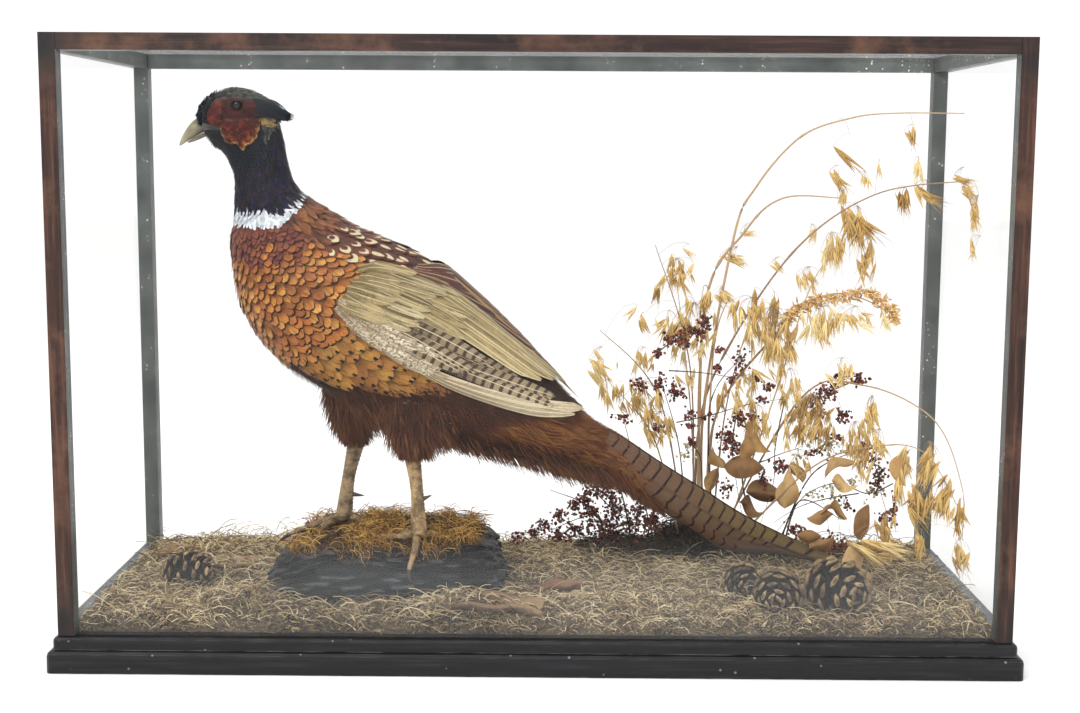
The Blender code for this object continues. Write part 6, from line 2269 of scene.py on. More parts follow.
@dataclass(frozen=True)
class Slate(Finish):
    """Split slate under a wash of size and peat dust: dark grey, satin, bedded in thin leaves."""

    tones: tuple[str, ...] = ("#060707", "#131516", "#27292B", "#484C4E")

    def paint(self, tree: NodeTree) -> Socket:
        """Wires grain 6 mm long and 1 mm high over the beds' tones, partly their own and partly painted light
        and shade from the ledges, and warm dust on the flat tops.

        Args:
            tree: The tree being wired.

        Returns:
            The shader.
        """
        place = tree.add("TexCoord", out="Object")
        bed = tree.add("VectorMath", {0: place, 1: (60.0, 60.0, 420.0)}, operation="MULTIPLY")
        layers = tree.add("TexNoise", {"Vector": bed, "Scale": 1.0, "Detail": 2.0}, out="Fac")
        tone = tree.add("Attribute", out="Fac", attribute_name="Tone")
        both = tree.add("Math", {0: layers, 1: 0.8, 2: tone}, operation="MULTIPLY_ADD")
        colour = tree.add("ValToRGB", {"Fac": both}, stops=tuple(zip((0.45, 0.75, 0.95, 1.15), self.tones)))
        flat = tree.add("SeparateXYZ", {"Vector": tree.add("NewGeometry", out="Normal")})
        dust = tree.add("MapRange", {
            "Value": flat.node.outputs["Z"], "From Min": 0.8, "From Max": 0.98, "To Max": 0.75})
        colour = tree.add("Mix", {0: dust, 6: colour, 7: linear("#4E3B26")}, 2, data_type="RGBA")
        bump = tree.add("Bump", {"Height": layers, "Strength": 0.5, "Distance": 0.0006})
        return tree.add("BsdfPrincipled", {
            "Base Color": colour, "Roughness": 0.6, "Specular IOR Level": 0.12, "Normal": bump})


@dataclass(frozen=True)
class Rock:
    """The slate block the bird stands on: a squarish outline with bedded, stepped sides."""

    centre: tuple[float, float] = (-138.0, -20.0)
    half: tuple[float, float] = (112.0, 74.0)
    power: float = 4.0
    # Share of the outline and height, from the foot to the middle of the top.
    levels: tuple[tuple[float, float], ...] = (
        (1.0, 39.8), (0.985, 60.0), (0.955, 76.0), (0.92, 85.0), (0.86, 91.0), (0.45, ROCK_TOP),
        (0.12, ROCK_TOP), (0.01, ROCK_TOP))
    # Height of the top along X.
    ramp: tuple[tuple[float, float], ...] = (
        (-260.0, 52.0), (-232.0, 77.0), (-192.0, ROCK_TOP), (-60.0, ROCK_TOP), (-20.0, 80.0))

    def place(self, t: Array, turn: Array) -> Array:
        """Points of the block.

        Args:
            t: Steps through the levels.
            turn: Angles round the block.

        Returns:
            Rows of x, y, z.
        """
        level = np.array(self.levels)
        share = np.interp(t, np.arange(len(level)), level[:, 0])
        high = np.interp(t, np.arange(len(level)), level[:, 1])
        c, s = np.cos(turn), np.sin(turn)
        reach = (np.abs(c) ** self.power + np.abs(s) ** self.power) ** (-1 / self.power)
        chip = 0.014 * np.sin(turn * 7 + high * 0.12) + 0.006 * np.sin(turn * 19 + high * 0.15)
        ledge = self.ledges(turn, high) * smooth(share, 0.6, 0.85) / 80
        share = share * (1 - 0.02 + ledge + chip * smooth(share, 0.3, 0.8))
        x = self.centre[0] + self.half[0] * share * reach * c
        y = self.centre[1] + self.half[1] * share * reach * s
        top = np.interp(x, *np.array(self.ramp).T)
        z = np.minimum(high, GROUND_TOP + (high - GROUND_TOP) * (top - GROUND_TOP) / (ROCK_TOP - GROUND_TOP))
        wave = 0.5 * np.sin(x * 0.21 + y * 0.13) + 0.4 * np.sin(y * 0.33 - x * 0.1) - 0.9
        return np.stack([x, y, z + wave * smooth(high, 60, 90)], -1)

    def ledges(self, turn: Array, high: Array) -> Array:
        """Beds 3 to 7 mm thick, broken into plates.

        Args:
            turn: Angles round the block.
            high: Heights.

        Returns:
            How far each spot stands out, in millimetres.
        """
        draw = np.random.default_rng(17)
        edges = np.cumsum(draw.uniform(3.0, 7.0, 16)) + 30
        bed = high + 2.0 * np.sin(turn * 2 + 0.7) + 1.0 * np.sin(turn * 5) + 0.5 * np.sin(turn * 13 + 1)
        k = np.clip(np.searchsorted(edges, bed) - 1, 0, 14)
        waves = np.stack([sum(np.sin(turn * n + draw.uniform(0, TAU)) for n in draw.integers(3, 24, 4))
                          for _ in range(16)])
        plates = 1.5 * np.tanh(1.6 * waves) + draw.normal(0, 0.7, 16)[:, None, None]
        here, above = (np.take_along_axis(plates, (k + step)[None], 0)[0] for step in (0, 1))
        share = (bed - edges[k]) / (edges[k + 1] - edges[k])
        return here + (above - here) * smooth(share, 0.72, 1.0) - 0.8 * smooth(share, 0.28, 0.0)

    def build(self) -> None:
        """Builds the slate block and the moss on it."""
        level_z = np.array(self.levels)
        # The bedded sides, up to level 4, are cut finer than the top.
        t, turn = lattice(np.concatenate([np.linspace(0, 4.0, 78), np.linspace(4.2, len(level_z) - 1, 18)]),
                          around(280))
        mesh = make_mesh("slate_block", self.place(t, turn).reshape(-1, 3), closed_faces(1, *t.shape))
        high = np.interp(t, np.arange(len(level_z)), level_z[:, 1])
        # The tone follows the ledges: partly each plate's own, partly painted light on plates that stand out
        # and painted shade in the recessed foot of each bed.
        add_values(mesh, "Tone", "FLOAT", np.clip(0.36 + 0.11 * self.ledges(turn, high), 0, 0.75).ravel())
        place_piece("slate_block", mesh, Slate("sized_split_slate"), "slate_and_moss", ("rock",))
        self.moss()

    def moss(self) -> None:
        """Spreads dried moss over the block's top and its upper edge."""
        t, turn = lattice(np.linspace(1.9, 6.9, 41), np.linspace(0, TAU, 121))
        points = self.place(t, turn).reshape(-1, 3)
        quads = strip_faces(1, *t.shape)
        middle = points[quads].mean(1)
        edge = smooth(middle[:, 2], 70, 90) + 0.3 * np.sin(middle[:, 0] * 0.11) + 0.25 * np.sin(
            middle[:, 0] * 0.29 + middle[:, 1] * 0.2)
        # The far foot's front toe and the block's right end stay bare.
        toe = (middle[:, 0] < -186) & (np.abs(middle[:, 1] + 16) < 27)
        edge[toe | (middle[:, 0] > -56 + 6 * np.sin(middle[:, 1] * 0.2))] = 0
        sheet = make_mesh("moss_bed", points, quads[edge > 0.62])
        gold = DriedPlant("golden_dried_moss", ("#4A3214", "#8A6128", "#BC8C3E", "#DDB76E"), 0.85)
        dark = DriedPlant("dark_dried_moss", ("#231A0F", "#4A351B", "#75552A"), 0.9)
        hummock = np.sin(middle[:, 0] * 0.085 + 1.2) + 0.6 * np.sin(middle[:, 1] * 0.12)
        high = make_mesh("moss_hummocks", points, quads[(edge > 0.72) & (hummock > -0.4)])
        for name, bed, sprigs in (
                ("moss_mat", sheet, Sprigs("dark_moss", dark, 2.15, 8.0, 0.38, 6, 1.1, 0.5, 5)),
                ("moss_tufts", high, Sprigs("golden_moss", gold, 1.8, 14.0, 0.27, 5, 0.7, 0.5, 5))):
            place_piece(name, sprigs.spread(bed), None, "slate_and_moss")


@dataclass(frozen=True)
class Sprigs:
    """Curly ribbons scattered and turned at random over a bed."""

    name: str
    finish: DriedPlant
    spacing: float
    length: float
    width: float
    seed: int
    lean: float = 1.3
    curl: float = 0.35
    steps: int = 6

    def spread(self, bed: bpy.types.Mesh) -> bpy.types.Mesh:
        """Scatters the sprigs.

        Args:
            bed: Where they grow.

        Returns:
            Their mesh.
        """
        rule = GeometryRule(self.name, {
            "Spacing": self.spacing * MM, "Density": 2.0 / (self.spacing * MM) ** 2,
            "Length": self.length * MM, "Width": self.width * MM, "Curl": self.curl * self.length * MM,
            "Lean": self.lean, "Seed": self.seed})
        add, given = rule.nodes.add, rule.inputs
        spots = add("GeometryNodeDistributePointsOnFaces", {
            "Mesh": given["Geometry"], "Distance Min": given["Spacing"], "Density Max": given["Density"],
            "Seed": given["Seed"]}, distribute_method="POISSON")
        line = add("GeometryNodeCurvePrimitiveBezierSegment", {
            "Resolution": self.steps, "Start": (0, 0, 0), "Start Handle": add("CombineXYZ", {
                "X": given["Curl"], "Z": add("Math", {0: given["Length"], 1: 0.35}, operation="MULTIPLY")}),
            "End Handle": add("CombineXYZ", {
                "Y": given["Curl"], "Z": add("Math", {0: given["Length"], 1: 0.7}, operation="MULTIPLY")}),
            "End": add("CombineXYZ", {
                "X": add("Math", {0: given["Curl"], 1: -0.6}, operation="MULTIPLY"),
                "Y": add("Math", {0: given["Curl"], 1: -0.4}, operation="MULTIPLY"),
                "Z": given["Length"]})})
        profile = add("GeometryNodeCurvePrimitiveCircle", {"Resolution": 3, "Radius": given["Width"]},
                      out="Curve")
        sprig = add("GeometryNodeCurveToMesh", {"Curve": line, "Profile Curve": profile, "Fill Caps": True})
        low = add("Math", {0: given["Lean"], 1: 0.45}, operation="SUBTRACT")
        high = add("Math", {0: given["Lean"], 1: 0.25})
        lean = add("FunctionNodeRandomValue", {
            "Min": add("CombineXYZ", {"X": low, "Y": -0.5}),
            "Max": add("CombineXYZ", {"X": high, "Y": 0.5, "Z": TAU}),
            "Seed": given["Seed"]}, data_type="FLOAT_VECTOR")
        size = add("FunctionNodeRandomValue", {"Min": 0.5, "Max": 1.25, "Seed": 7}, 1, data_type="FLOAT")
        placed = add("GeometryNodeInstanceOnPoints", {"Points": spots, "Instance": sprig, "Rotation": lean,
                                                      "Scale": size})
        tone = add("FunctionNodeRandomValue", {"Min": 0.0, "Max": 1.0, "Seed": 3}, 1, data_type="FLOAT")
        stored = add("GeometryNodeStoreNamedAttribute", {"Geometry": placed, "Name": "Tone", "Value": tone},
                     data_type="FLOAT", domain="INSTANCE")
        rule.finish(stored, self.finish.material())
        return rule.run(bed, self.name)


@dataclass(frozen=True)
class Groundwork:
    """The straw and moss floor inside the case."""

    half: tuple[float, float] = (388.0, 138.0)
    # Heaps of litter: middle x, y, height, and how far each spreads along x and y.
    heaps: tuple[tuple[float, ...], ...] = (
        (-252.0, -108.0, 19.0, 30.0, 20.0), (-62.0, -108.0, 15.0, 40.0, 18.0),
        (-320.0, 70.0, 6.0, 44.0, 40.0), (60.0, -98.0, 5.0, 60.0, 22.0), (120.0, -20.0, 4.0, 50.0, 40.0),
        (326.0, -50.0, 4.0, 36.0, 40.0), (10.0, 60.0, 6.0, 60.0, 40.0))

    def build(self, nodes: dict[str, bpy.types.Object]) -> None:
        """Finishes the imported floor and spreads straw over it.

        Args:
            nodes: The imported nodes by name.
        """
        floor = nodes["groundwork"]
        floor.data.materials.clear()
        floor.data.materials.append(EarthMat("crumbled_groundwork").material())
        rows, columns = 131, 47
        x, y = lattice(np.linspace(-1, 1, rows) * self.half[0], np.linspace(-1, 1, columns) * self.half[1])
        top = np.stack([x, y, self.height(x, y)], -1)
        shell = np.concatenate([top - (0, 0, 0.5), (top * (1, 1, 0) + (0, 0, GROUND_TOP - 3))[:, ::-1]],
                               axis=1)
        mat = make_mesh("peat_mat", shell.reshape(-1, 3), turned_over(closed_faces(1, rows, 2 * columns)))
        place_piece("peat_mat", mat, EarthMat("peat_dust_mat", "#6E5D44", "#2E2418"), "dried_moss_ground")
        quads = strip_faces(1, rows, columns)[:, ::-1]
        middle = top.reshape(-1, 3)[quads].mean(1)
        rock = Rock()
        inside = (np.abs((middle[:, 0] - rock.centre[0]) / rock.half[0]) ** 4
                  + np.abs((middle[:, 1] - rock.centre[1]) / rock.half[1]) ** 4) < 0.7
        front, level = lattice(np.linspace(-1, 1, 65) * self.half[0], (31.5, 39.5))
        front = np.stack([front, np.full_like(front, -141.5), level], -1).reshape(-1, 3)
        points = np.concatenate([top.reshape(-1, 3), front])
        faces = np.concatenate([quads[~inside], strip_faces(1, 65, 2) + rows * columns])
        straw = DriedPlant("pale_dried_straw", ("#4A3A26", "#8E7852", "#C6AE82", "#EAD8B0"), 0.8, drift=0.9)
        fuzz = DriedPlant("pale_dried_moss", ("#3E3020", "#705C40", "#A38F6E"), 0.9, drift=0.6)
        leftward = points[faces].mean(1)[:, 0] < 0
        for word, part in (("left", faces[leftward]), ("right", faces[~leftward])):
            bed = make_mesh(f"litter_bed_{word}", points, part)
            for name, litter in (("straw_litter", Sprigs("straw", straw, 3.7, 24.0, 0.40, 8, 1.48, 0.26, 5)),
                                 ("chaff_litter", Sprigs("chaff", straw, 3.3, 12.0, 0.42, 9, 1.25, 0.5, 4)),
                                 ("loose_stems", Sprigs("stems", straw, 11.0, 46.0, 0.30, 51, 1.5, 0.16, 7)),
                                 ("moss_litter", Sprigs("fuzz", fuzz, 3.0, 9.0, 0.40, 21, 1.3, 0.6, 4))):
                mesh = litter.spread(bed)
                mesh.name = f"{name}_{word}"
                place_piece(mesh.name, self.kept_in(mesh), None, "dried_moss_ground")
        x, y = lattice(np.linspace(-330, -236, 12), np.linspace(60, 132, 9))
        back = make_mesh("back_bed", np.stack([x, y, np.full_like(x, GROUND_TOP + 1)], -1).reshape(-1, 3),
                         strip_faces(1, 12, 9)[:, ::-1])
        tall = Sprigs("tall_moss", straw, 4.6, 24.0, 0.32, 33, lean=0.75, curl=0.5, steps=7)
        place_piece("tall_moss", self.kept_in(tall.spread(back)), None, "dried_moss_ground")

    def height(self, x: Array, y: Array) -> Array:
        """Heights of the litter's bed, heaped here and there and against the slate.

        Args:
            x: Places along the case.
            y: Places across it.

        Returns:
            Heights in millimetres.
        """
        lift = 1.4 + 1.1 * np.sin(x * 0.045 + 1) * np.sin(y * 0.06 + 0.5)
        for middle, other, high, wide, deep in self.heaps:
            lift = lift + high * np.exp(-((x - middle) / wide) ** 2 - ((y - other) / deep) ** 2)
        lift = lift * smooth(self.half[0] - np.abs(x), 0, 16)
        return GROUND_TOP + lift * smooth(self.half[1] - np.abs(y), 0, 10)

    def kept_in(self, mesh: bpy.types.Mesh) -> bpy.types.Mesh:
        """Presses litter that would pass through the panes back against them.

        Args:
            mesh: The litter or moss, which is changed.

        Returns:
            The same mesh.
        """
        places = np.zeros(len(mesh.vertices) * 3, np.float32)
        mesh.vertices.foreach_get("co", places)
        places = places.reshape(-1, 3)
        for axis, reach in enumerate(LITTER_REACH):
            places[:, axis] = np.clip(places[:, axis], -reach, reach)
        places[:, 2] = np.maximum(places[:, 2], LITTER_LOW)
        mesh.vertices.foreach_set("co", places.ravel())
        return mesh


# ---------------------------------------------------------------- dried plants
# Wild-oat spikelets in groups: middle x, y, z, spread along x and z, how many, how far they hang
# out of plumb towards +X in degrees, length, tone from dark to pale.
OAT_GROUPS = np.array((
    (294, 60, 434, 2, 1.5, 1, 58, 47.6, 0.35), (309, 60, 415, 4, 2, 3, 0, 15, 0.8),
    (324, 60, 424, 1.5, 1.5, 1, 0, 20, 0.9), (340, 0, 455, 3.4, 1.9, 3, 15, 21.6, 0.55),
    (346, 0, 425, 1.9, 2.4, 2, -5, 21.6, 0.9), (285, 60, 414, 2, 2, 2, 30, 27.5, 0.5),
    (290, 60, 397, 4, 2, 4, 0, 15, 0.85), (302, 50, 367, 10, 8.7, 11, 12, 31.1, 0.5),
    (312, 50, 338, 6, 10, 6, -5, 27.4, 0.55), (279, 60, 342, 10, 12.5, 10, 5, 22.5, 0.8),
    (262, 70, 362, 3, 2.5, 3, 0, 17.6, 0.7), (203, 90, 363, 4.6, 2, 3, 90, 15.3, 0.8),
    (147, 90, 343, 1, 1, 1, 80, 16.9, 0.7), (194, 90, 336, 6.1, 5.1, 5, 75, 17.9, 0.8),
    (135, 90, 319, 13.3, 9.2, 12, 0, 20.4, 0.6), (116, 90, 301, 1.5, 1.5, 2, 0, 20.4, 0.45),
    (90, 90, 283, 1, 1, 1, -20, 17.9, 0.8), (104, 90, 272, 1.5, 2.6, 2, 10, 20.4, 0.7),
    (162, 90, 293, 4.1, 7.7, 5, 0, 23, 0.6), (182, 90, 300, 6.6, 3.1, 6, 40, 19.2, 0.8),
    (211, 80, 295, 1, 1, 1, -5, 30.5, 0.3), (229, 80, 287, 2.5, 2.5, 3, 0, 35.5, 0.35),
    (234, 80, 330, 3.6, 2, 3, 40, 17.8, 0.8), (260, 60, 318, 6.5, 5, 6, 35, 20, 0.75),
    (335, 0, 396, 3.4, 2.9, 4, 10, 22.9, 0.35), (351, -20, 399, 4.7, 3.8, 4, 50, 28.5, 0.45),
    (378, -40, 418, 2.8, 0.9, 3, 88, 21.1, 0.5), (380, -50, 406, 3.3, 3.3, 4, 50, 18.6, 0.6),
    (389, -50, 385, 2.3, 11.6, 8, 8, 17.4, 0.6), (392, -50, 357, 1.9, 3.7, 3, 5, 16.3, 0.6),
    (226, 60, 258, 18.8, 23.8, 34, 5, 23.8, 0.7), (207, 70, 280, 15.1, 10.1, 10, 10, 23.9, 0.6),
    (270, 50, 275, 14.9, 11.2, 16, 5, 22.4, 0.85), (303, 45, 282, 12.4, 5, 7, 40, 19.8, 0.8),
    (330, 40, 281, 4, 4.9, 3, 20, 17.3, 0.85), (153, 90, 264, 17.9, 20.4, 20, -5, 21.7, 0.7),
    (128, 90, 267, 10.2, 10.2, 6, -25, 20.4, 0.7), (104, 90, 233, 7.7, 7.7, 5, -15, 20.4, 0.65),
    (63, 90, 227, 7.7, 10.2, 5, 40, 28.1, 0.7), (77, 90, 233, 1.5, 1.5, 1, -20, 15.3, 0.7),
    (69, 90, 201, 10.2, 5.1, 5, 10, 23, 0.75), (103, 85, 194, 21.6, 12.7, 22, 15, 19.1, 0.6),
    (121, 80, 167, 19, 10.2, 14, 20, 21.6, 0.6), (143, 85, 223, 7.6, 5.1, 4, 30, 17.8, 0.6),
    (178, 70, 197, 2.5, 2.5, 1, 15, 35.3, 0.45), (199, 70, 203, 15.1, 15.1, 14, 0, 20.2, 0.6),
    (243, 60, 210, 12.5, 15, 8, 5, 20, 0.75), (213, 60, 179, 15, 10, 8, 0, 20, 0.6),
    (262, 50, 183, 18.7, 17.4, 34, -5, 19.9, 0.5), (289, 40, 231, 7.4, 7.4, 6, 10, 19.8, 0.75),
    (315, 20, 191, 4.4, 14.6, 10, 20, 19.5, 0.65), (322, 10, 168, 5.8, 7.3, 7, 10, 19.4, 0.65),
    (302, 30, 164, 9.8, 14.7, 12, 0, 19.6, 0.6), (308, 10, 148, 7.3, 7.3, 7, -20, 19.4, 0.55),
    (335, -40, 158, 3.7, 9.4, 5, 5, 21.1, 0.6), (353, -50, 160, 7.9, 11.6, 10, -20, 25.5, 0.55),
    (343, -55, 123, 6, 8.3, 8, 5, 25.5, 0.55), (365, -60, 132, 9.2, 9.2, 12, -15, 23.1, 0.55),
    (381, -60, 115, 3.2, 6.9, 5, 0, 25.4, 0.55), (348, -55, 87, 3.2, 4.6, 4, 10, 25.5, 0.65),
    (381, -65, 81, 3.2, 5.5, 5, 0, 25.3, 0.55), (331, -40, 132, 2.8, 4.7, 3, 5, 25.7, 0.6),
    (315, -30, 78, 16.5, 8.5, 12, 60, 30.6, 0.6), (323, -20, 95, 7.1, 7.1, 7, 10, 21.4, 0.55),
    (253, 50, 140, 7.5, 7.5, 5, 20, 19.9, 0.6),))
# Sorrel fruit: middle x, y, z, spread along x and z, how many.
SORREL_GROUPS = np.array((
    (116, 70, 248, 3, 3, 9), (134, 70, 261, 6.6, 4.5, 18), (152, 70, 269, 6.6, 5, 18),
    (161, 70, 278, 3.5, 6.6, 12), (99, 70, 217, 4, 3.5, 9), (119, 70, 218, 3.5, 6.6, 12),
    (132, 70, 210, 3, 7.6, 12), (140, 70, 210, 3, 3, 6), (83, 70, 184, 5.5, 2.5, 8),
    (148, 70, 187, 3.5, 4, 7),
    (166, 70, 187, 4, 2, 6), (148, 70, 176, 4, 1.5, 6), (117, 70, 174, 3, 3, 6), (150, 70, 161, 3, 2.5, 6),
    (175, 70, 251, 4, 2.5, 6), (198, 70, 241, 4, 7.6, 12), (189, 70, 222, 3.5, 2, 6), (213, 70, 223, 4, 2, 5),
    (224, 70, 216, 5, 2, 8), (175, 70, 233, 3, 2, 5), (218, 70, 203, 3.5, 2, 5), (194, 70, 185, 5, 5, 12),
    (187, 70, 165, 6.1, 6.1, 22), (191, 70, 153, 5.5, 4.5, 14), (209, 70, 187, 4, 2.5, 6),
    (270, 70, 201, 5.5, 4.5, 16), (280, 70, 211, 5.5, 5, 16), (289, 70, 215, 3, 3, 8),
    (296, 70, 224, 4, 3, 9),
    (312, 70, 224, 4.5, 4, 12), (275, 70, 190, 5, 3, 10), (298, 70, 188, 5.5, 4, 12),
    (291, 70, 167, 5.5, 3, 9), (274, 70, 151, 6.6, 2.5, 10), (255, 70, 190, 4, 2.5, 6),
    (308, 70, 156, 4.5, 3.5, 10), (320, 70, 157, 6.1, 4, 14), (328, 70, 144, 4, 5, 10),
    (336, 70, 131, 4.5, 6.6, 12), (237, 70, 137, 5.5, 4.5, 12), (342, 70, 87, 5.5, 5, 12),
    (350, 70, 94, 2.5, 10.1, 10), (334, 70, 118, 5.5, 6.6, 10), (231, 70, 107, 5, 3.5, 8),
    (253, 70, 74, 7.1, 3, 12), (289, 70, 60, 5, 7.6, 16), (300, 70, 57, 4, 4, 8), (185, 70, 114, 4, 6.1, 9),
    (221, 70, 125, 4, 5, 7), (301, 70, 99, 6.6, 3.5, 8), (60, 95, 108, 8.7, 6.1, 26),
    (73, 95, 108, 6.1, 4.1, 12), (81, 95, 87, 7.7, 6.7, 20), (63, 95, 73, 10.2, 7.7, 26),
    (94, 95, 73, 10.2, 6.7, 24), (113, 95, 74, 8.7, 6.1, 18), (84, 95, 55, 15.4, 6.1, 26),
    (-17, 95, 57, 4, 3, 8), (-4, 95, 62, 4.5, 3.5, 10),
    (7, 95, 70, 5, 4, 13), (22, 95, 80, 5, 4, 14), (37, 95, 90, 5, 4.5, 15), (48, 95, 99, 4.5, 5, 14),
    (102, 95, 88, 5, 6, 14), (117, 95, 75, 5, 5, 12), (37, 95, 66, 6, 5, 16), (22, 95, 60, 6, 4, 14),
    (52, 95, 84, 5, 5, 16), (74, 95, 96, 5, 6, 14), (72, 95, 66, 6, 6, 16),
    (116, 95, 52, 10.2, 6.1, 18), (61, 95, 52, 7.7, 5.1, 12),))
# Pale, papery flower heads, as above.
FLOWER_GROUPS = np.array((
    (145, 45, 153, 6.4, 6, 10), (281, 45, 161, 6.4, 6.4, 12), (269, 45, 169, 6, 5, 8),
    (286, 45, 119, 7.4, 4, 10), (266, 45, 114, 5, 3.5, 6), (252, 45, 151, 5, 3.5, 6), (306, 45, 128, 5, 3, 6),
    (326, 45, 115, 6.4, 5, 8),))
# Broad leaves: middle x, y, z, length, how far the tip leans from upright in degrees, tone.
LEAVES = np.array((
    (178, 70, 145, 19.2, -30, 0.55), (172, 70, 122, 20.2, 20, 0.45), (202, 65, 136, 30.2, 90, 0.3),
    (219, 65, 170, 30.2, -25, 0.6), (224, 60, 111, 31.1, 95, 0.25), (243, 55, 119, 32.9, 5, 0.8),
    (273, 40, 94, 19.8, 80, 0.5), (286, 38, 94, 20.7, 100, 0.55), (290, 35, 140, 25.6, 60, 0.8),
    (295, 35, 128, 19.7, 100, 0.85), (312, 20, 93, 27.3, 10, 0.3), (340, -30, 156, 26.4, 5, 0.7),
    (260, 20, 79, 17.6, 90, 0.35), (271, 15, 75, 20.4, 60, 0.45), (297, -10, 61, 31.5, -5, 0.8),
    (210, 60, 98, 20, 110, 0.25), (252, 55, 133, 17, -30, 0.6), (305, -20, 53, 14.2, 80, 0.7),
    (275, 0, 55, 14.4, 80, 0.6), (204, 62, 158, 22.1, 10, 0.5),))
TWIGS = (
    ((135, 66, 180), (170, 66, 188), (203, 66, 198), (239, 66, 204)),
    ((193, 66, 185), (190, 66, 157), (195, 66, 120), (201, 66, 89)),
    ((240, 66, 202), (232, 66, 157), (231, 66, 121), (219, 66, 79)),
    ((314, 66, 225), (289, 66, 214), (269, 66, 201), (254, 66, 188), (239, 66, 183)),
    ((315, 66, 111), (282, 66, 105), (257, 66, 97), (232, 66, 81)),
    ((348, 66, 121), (323, 66, 111), (294, 66, 121), (264, 66, 110), (247, 66, 87), (232, 66, 68)),
    ((306, 66, 155), (321, 66, 155), (332, 66, 132), (338, 66, 106), (347, 66, 80)),
    ((116, 66, 249), (134, 66, 262), (151, 66, 269), (161, 66, 280), (158, 66, 300)),
    ((54, 66, 114), (75, 66, 93), (101, 66, 80), (124, 66, 67)),
    ((67, 66, 67), (85, 66, 78), (114, 66, 78)),
    ((127, 66, 231), (160, 66, 229), (193, 66, 224)),
    ((148, 66, 162), (159, 66, 146), (161, 66, 123)),
)
STALKS = (
    (((169, 100, 40), (164, 100, 178), (189, 85, 358), (209, 75, 409), (246, 50, 456), (286, 15, 473),
      (320, -15, 477), (371, -60, 476)), 1.5),
    (((158, 104, 40), (162, 104, 177), (194, 95, 263), (250, 65, 353), (311, 10, 404), (375, -70, 418)), 1.5),
    (((161, 92, 40), (163, 92, 288), (200, 80, 366), (234, 70, 398), (285, 52, 399)), 1.7),
    (((177, 95, 40), (175, 90, 180), (242, 75, 278), (265, 72, 300), (297, 60, 307), (337, 45, 291)), 1.5),
    (((171, 88, 40), (256, 75, 202), (313, 50, 220), (370, 5, 195), (386, -45, 141), (384, -60, 96)), 1.1),
    (((155, 90, 40), (150, 90, 228), (113, 80, 352)), 1.1),
    (((150, 96, 40), (120, 85, 199), (60, 80, 269)), 1.1),
    (((146, 88, 40), (115, 80, 160), (72, 75, 215)), 1.0),
    (((168, 94, 40), (172, 92, 240), (186, 90, 300)), 1.3),
    (((173, 90, 40), (185, 85, 190), (212, 80, 300)), 1.1),
    (((158, 98, 40), (152, 95, 180), (135, 92, 318)), 1.0),
    (((180, 88, 40), (230, 60, 210), (262, 55, 318), (302, 55, 372)), 1.0),
    (((180, 80, 40), (262, 40, 140), (318, 10, 168), (352, -40, 172), (378, -62, 128)), 1.0),
)
SORREL_STALKS = (
    ((96, 90, 42), (81, 84, 112), (50, 82, 151)), ((74, 92, 42), (55, 88, 88), (12, 86, 108)),
    ((104, 92, 42), (118, 90, 100), (101, 88, 152)), ((66, 92, 42), (60, 96, 80), (14, 92, 66)),
    ((226, 82, 42), (202, 78, 122), (227, 70, 144), (255, 64, 156)),
    ((242, 76, 42), (256, 60, 104), (292, 34, 92)),
    ((236, 84, 42), (268, 68, 128), (322, 60, 158)), ((150, 90, 42), (140, 84, 150), (119, 72, 222)),
    ((178, 86, 42), (168, 78, 190), (198, 70, 244)), ((120, 92, 42), (100, 90, 120), (83, 72, 186)),
)


def random_turns(draw: np.random.Generator, count: int, lean: float, spread: float) -> Array:
    """Unit vectors that hang down, leaning towards +X and strewn about that.

    Args:
        draw: The random draws.
        count: How many vectors.
        lean: How far they lean, in degrees.
        spread: How far they are strewn, in degrees.

    Returns:
        Rows of x, y, z.
    """
    tilt = np.radians(lean + draw.normal(0, spread, count))
    out = np.radians(draw.normal(0, spread * 1.2, count))
    return np.stack([np.sin(tilt) * np.cos(out), np.sin(out), -np.cos(tilt) * np.cos(out)], -1)


def rolled(ahead: Array, draw: np.random.Generator) -> Array:
    """Turns that take Z to each given way, with a random roll about it.

    Args:
        ahead: Rows of unit vectors.
        draw: The random draws.

    Returns:
        Rows of three Euler angles.
    """
    turns = []
    for way, roll in zip(ahead, draw.uniform(0, TAU, len(ahead))):
        spin = Matrix.Rotation(roll, 3, "Z").to_quaternion()
        turns.append(tuple((Vector(way).to_track_quat("Z", "Y") @ spin).to_euler()))
    return np.array(turns)


def spindle(start: Sequence[float], end: Sequence[float], girth: float, sides: int = 5, steps: int = 6,
            flat: float = 1.0, lead: float = 0.65) -> Shape:
    """A closed spindle between two points.

    Args:
        start: Where it starts.
        end: Where it ends.
        girth: Its greatest radius.
        sides: Corners round it.
        steps: Rings along it.
        flat: How thick it is across Y, as a share of its width.
        lead: Below 1 puts its widest place nearer the start.

    Returns:
        Points and faces.
    """
    s = np.linspace(0, 1, steps)
    line = np.array(start, float) + (np.array(end, float) - start) * s[:, None]
    points, faces = tubes(line[None], (girth * (np.sin(np.pi * s ** lead) + 0.06))[None], sides)
    middle = np.repeat(line, sides, axis=0)
    return middle + (points - middle) * (1, flat, 1), faces


def joined(*shapes: Shape) -> Shape:
    """Several shapes as one."""
    firsts = np.cumsum([0] + [len(points) for points, _ in shapes])
    faces = [[int(first) + k for k in face] for first, (_, sides) in zip(firsts, shapes) for face in sides]
    return np.concatenate([points for points, _ in shapes]), faces


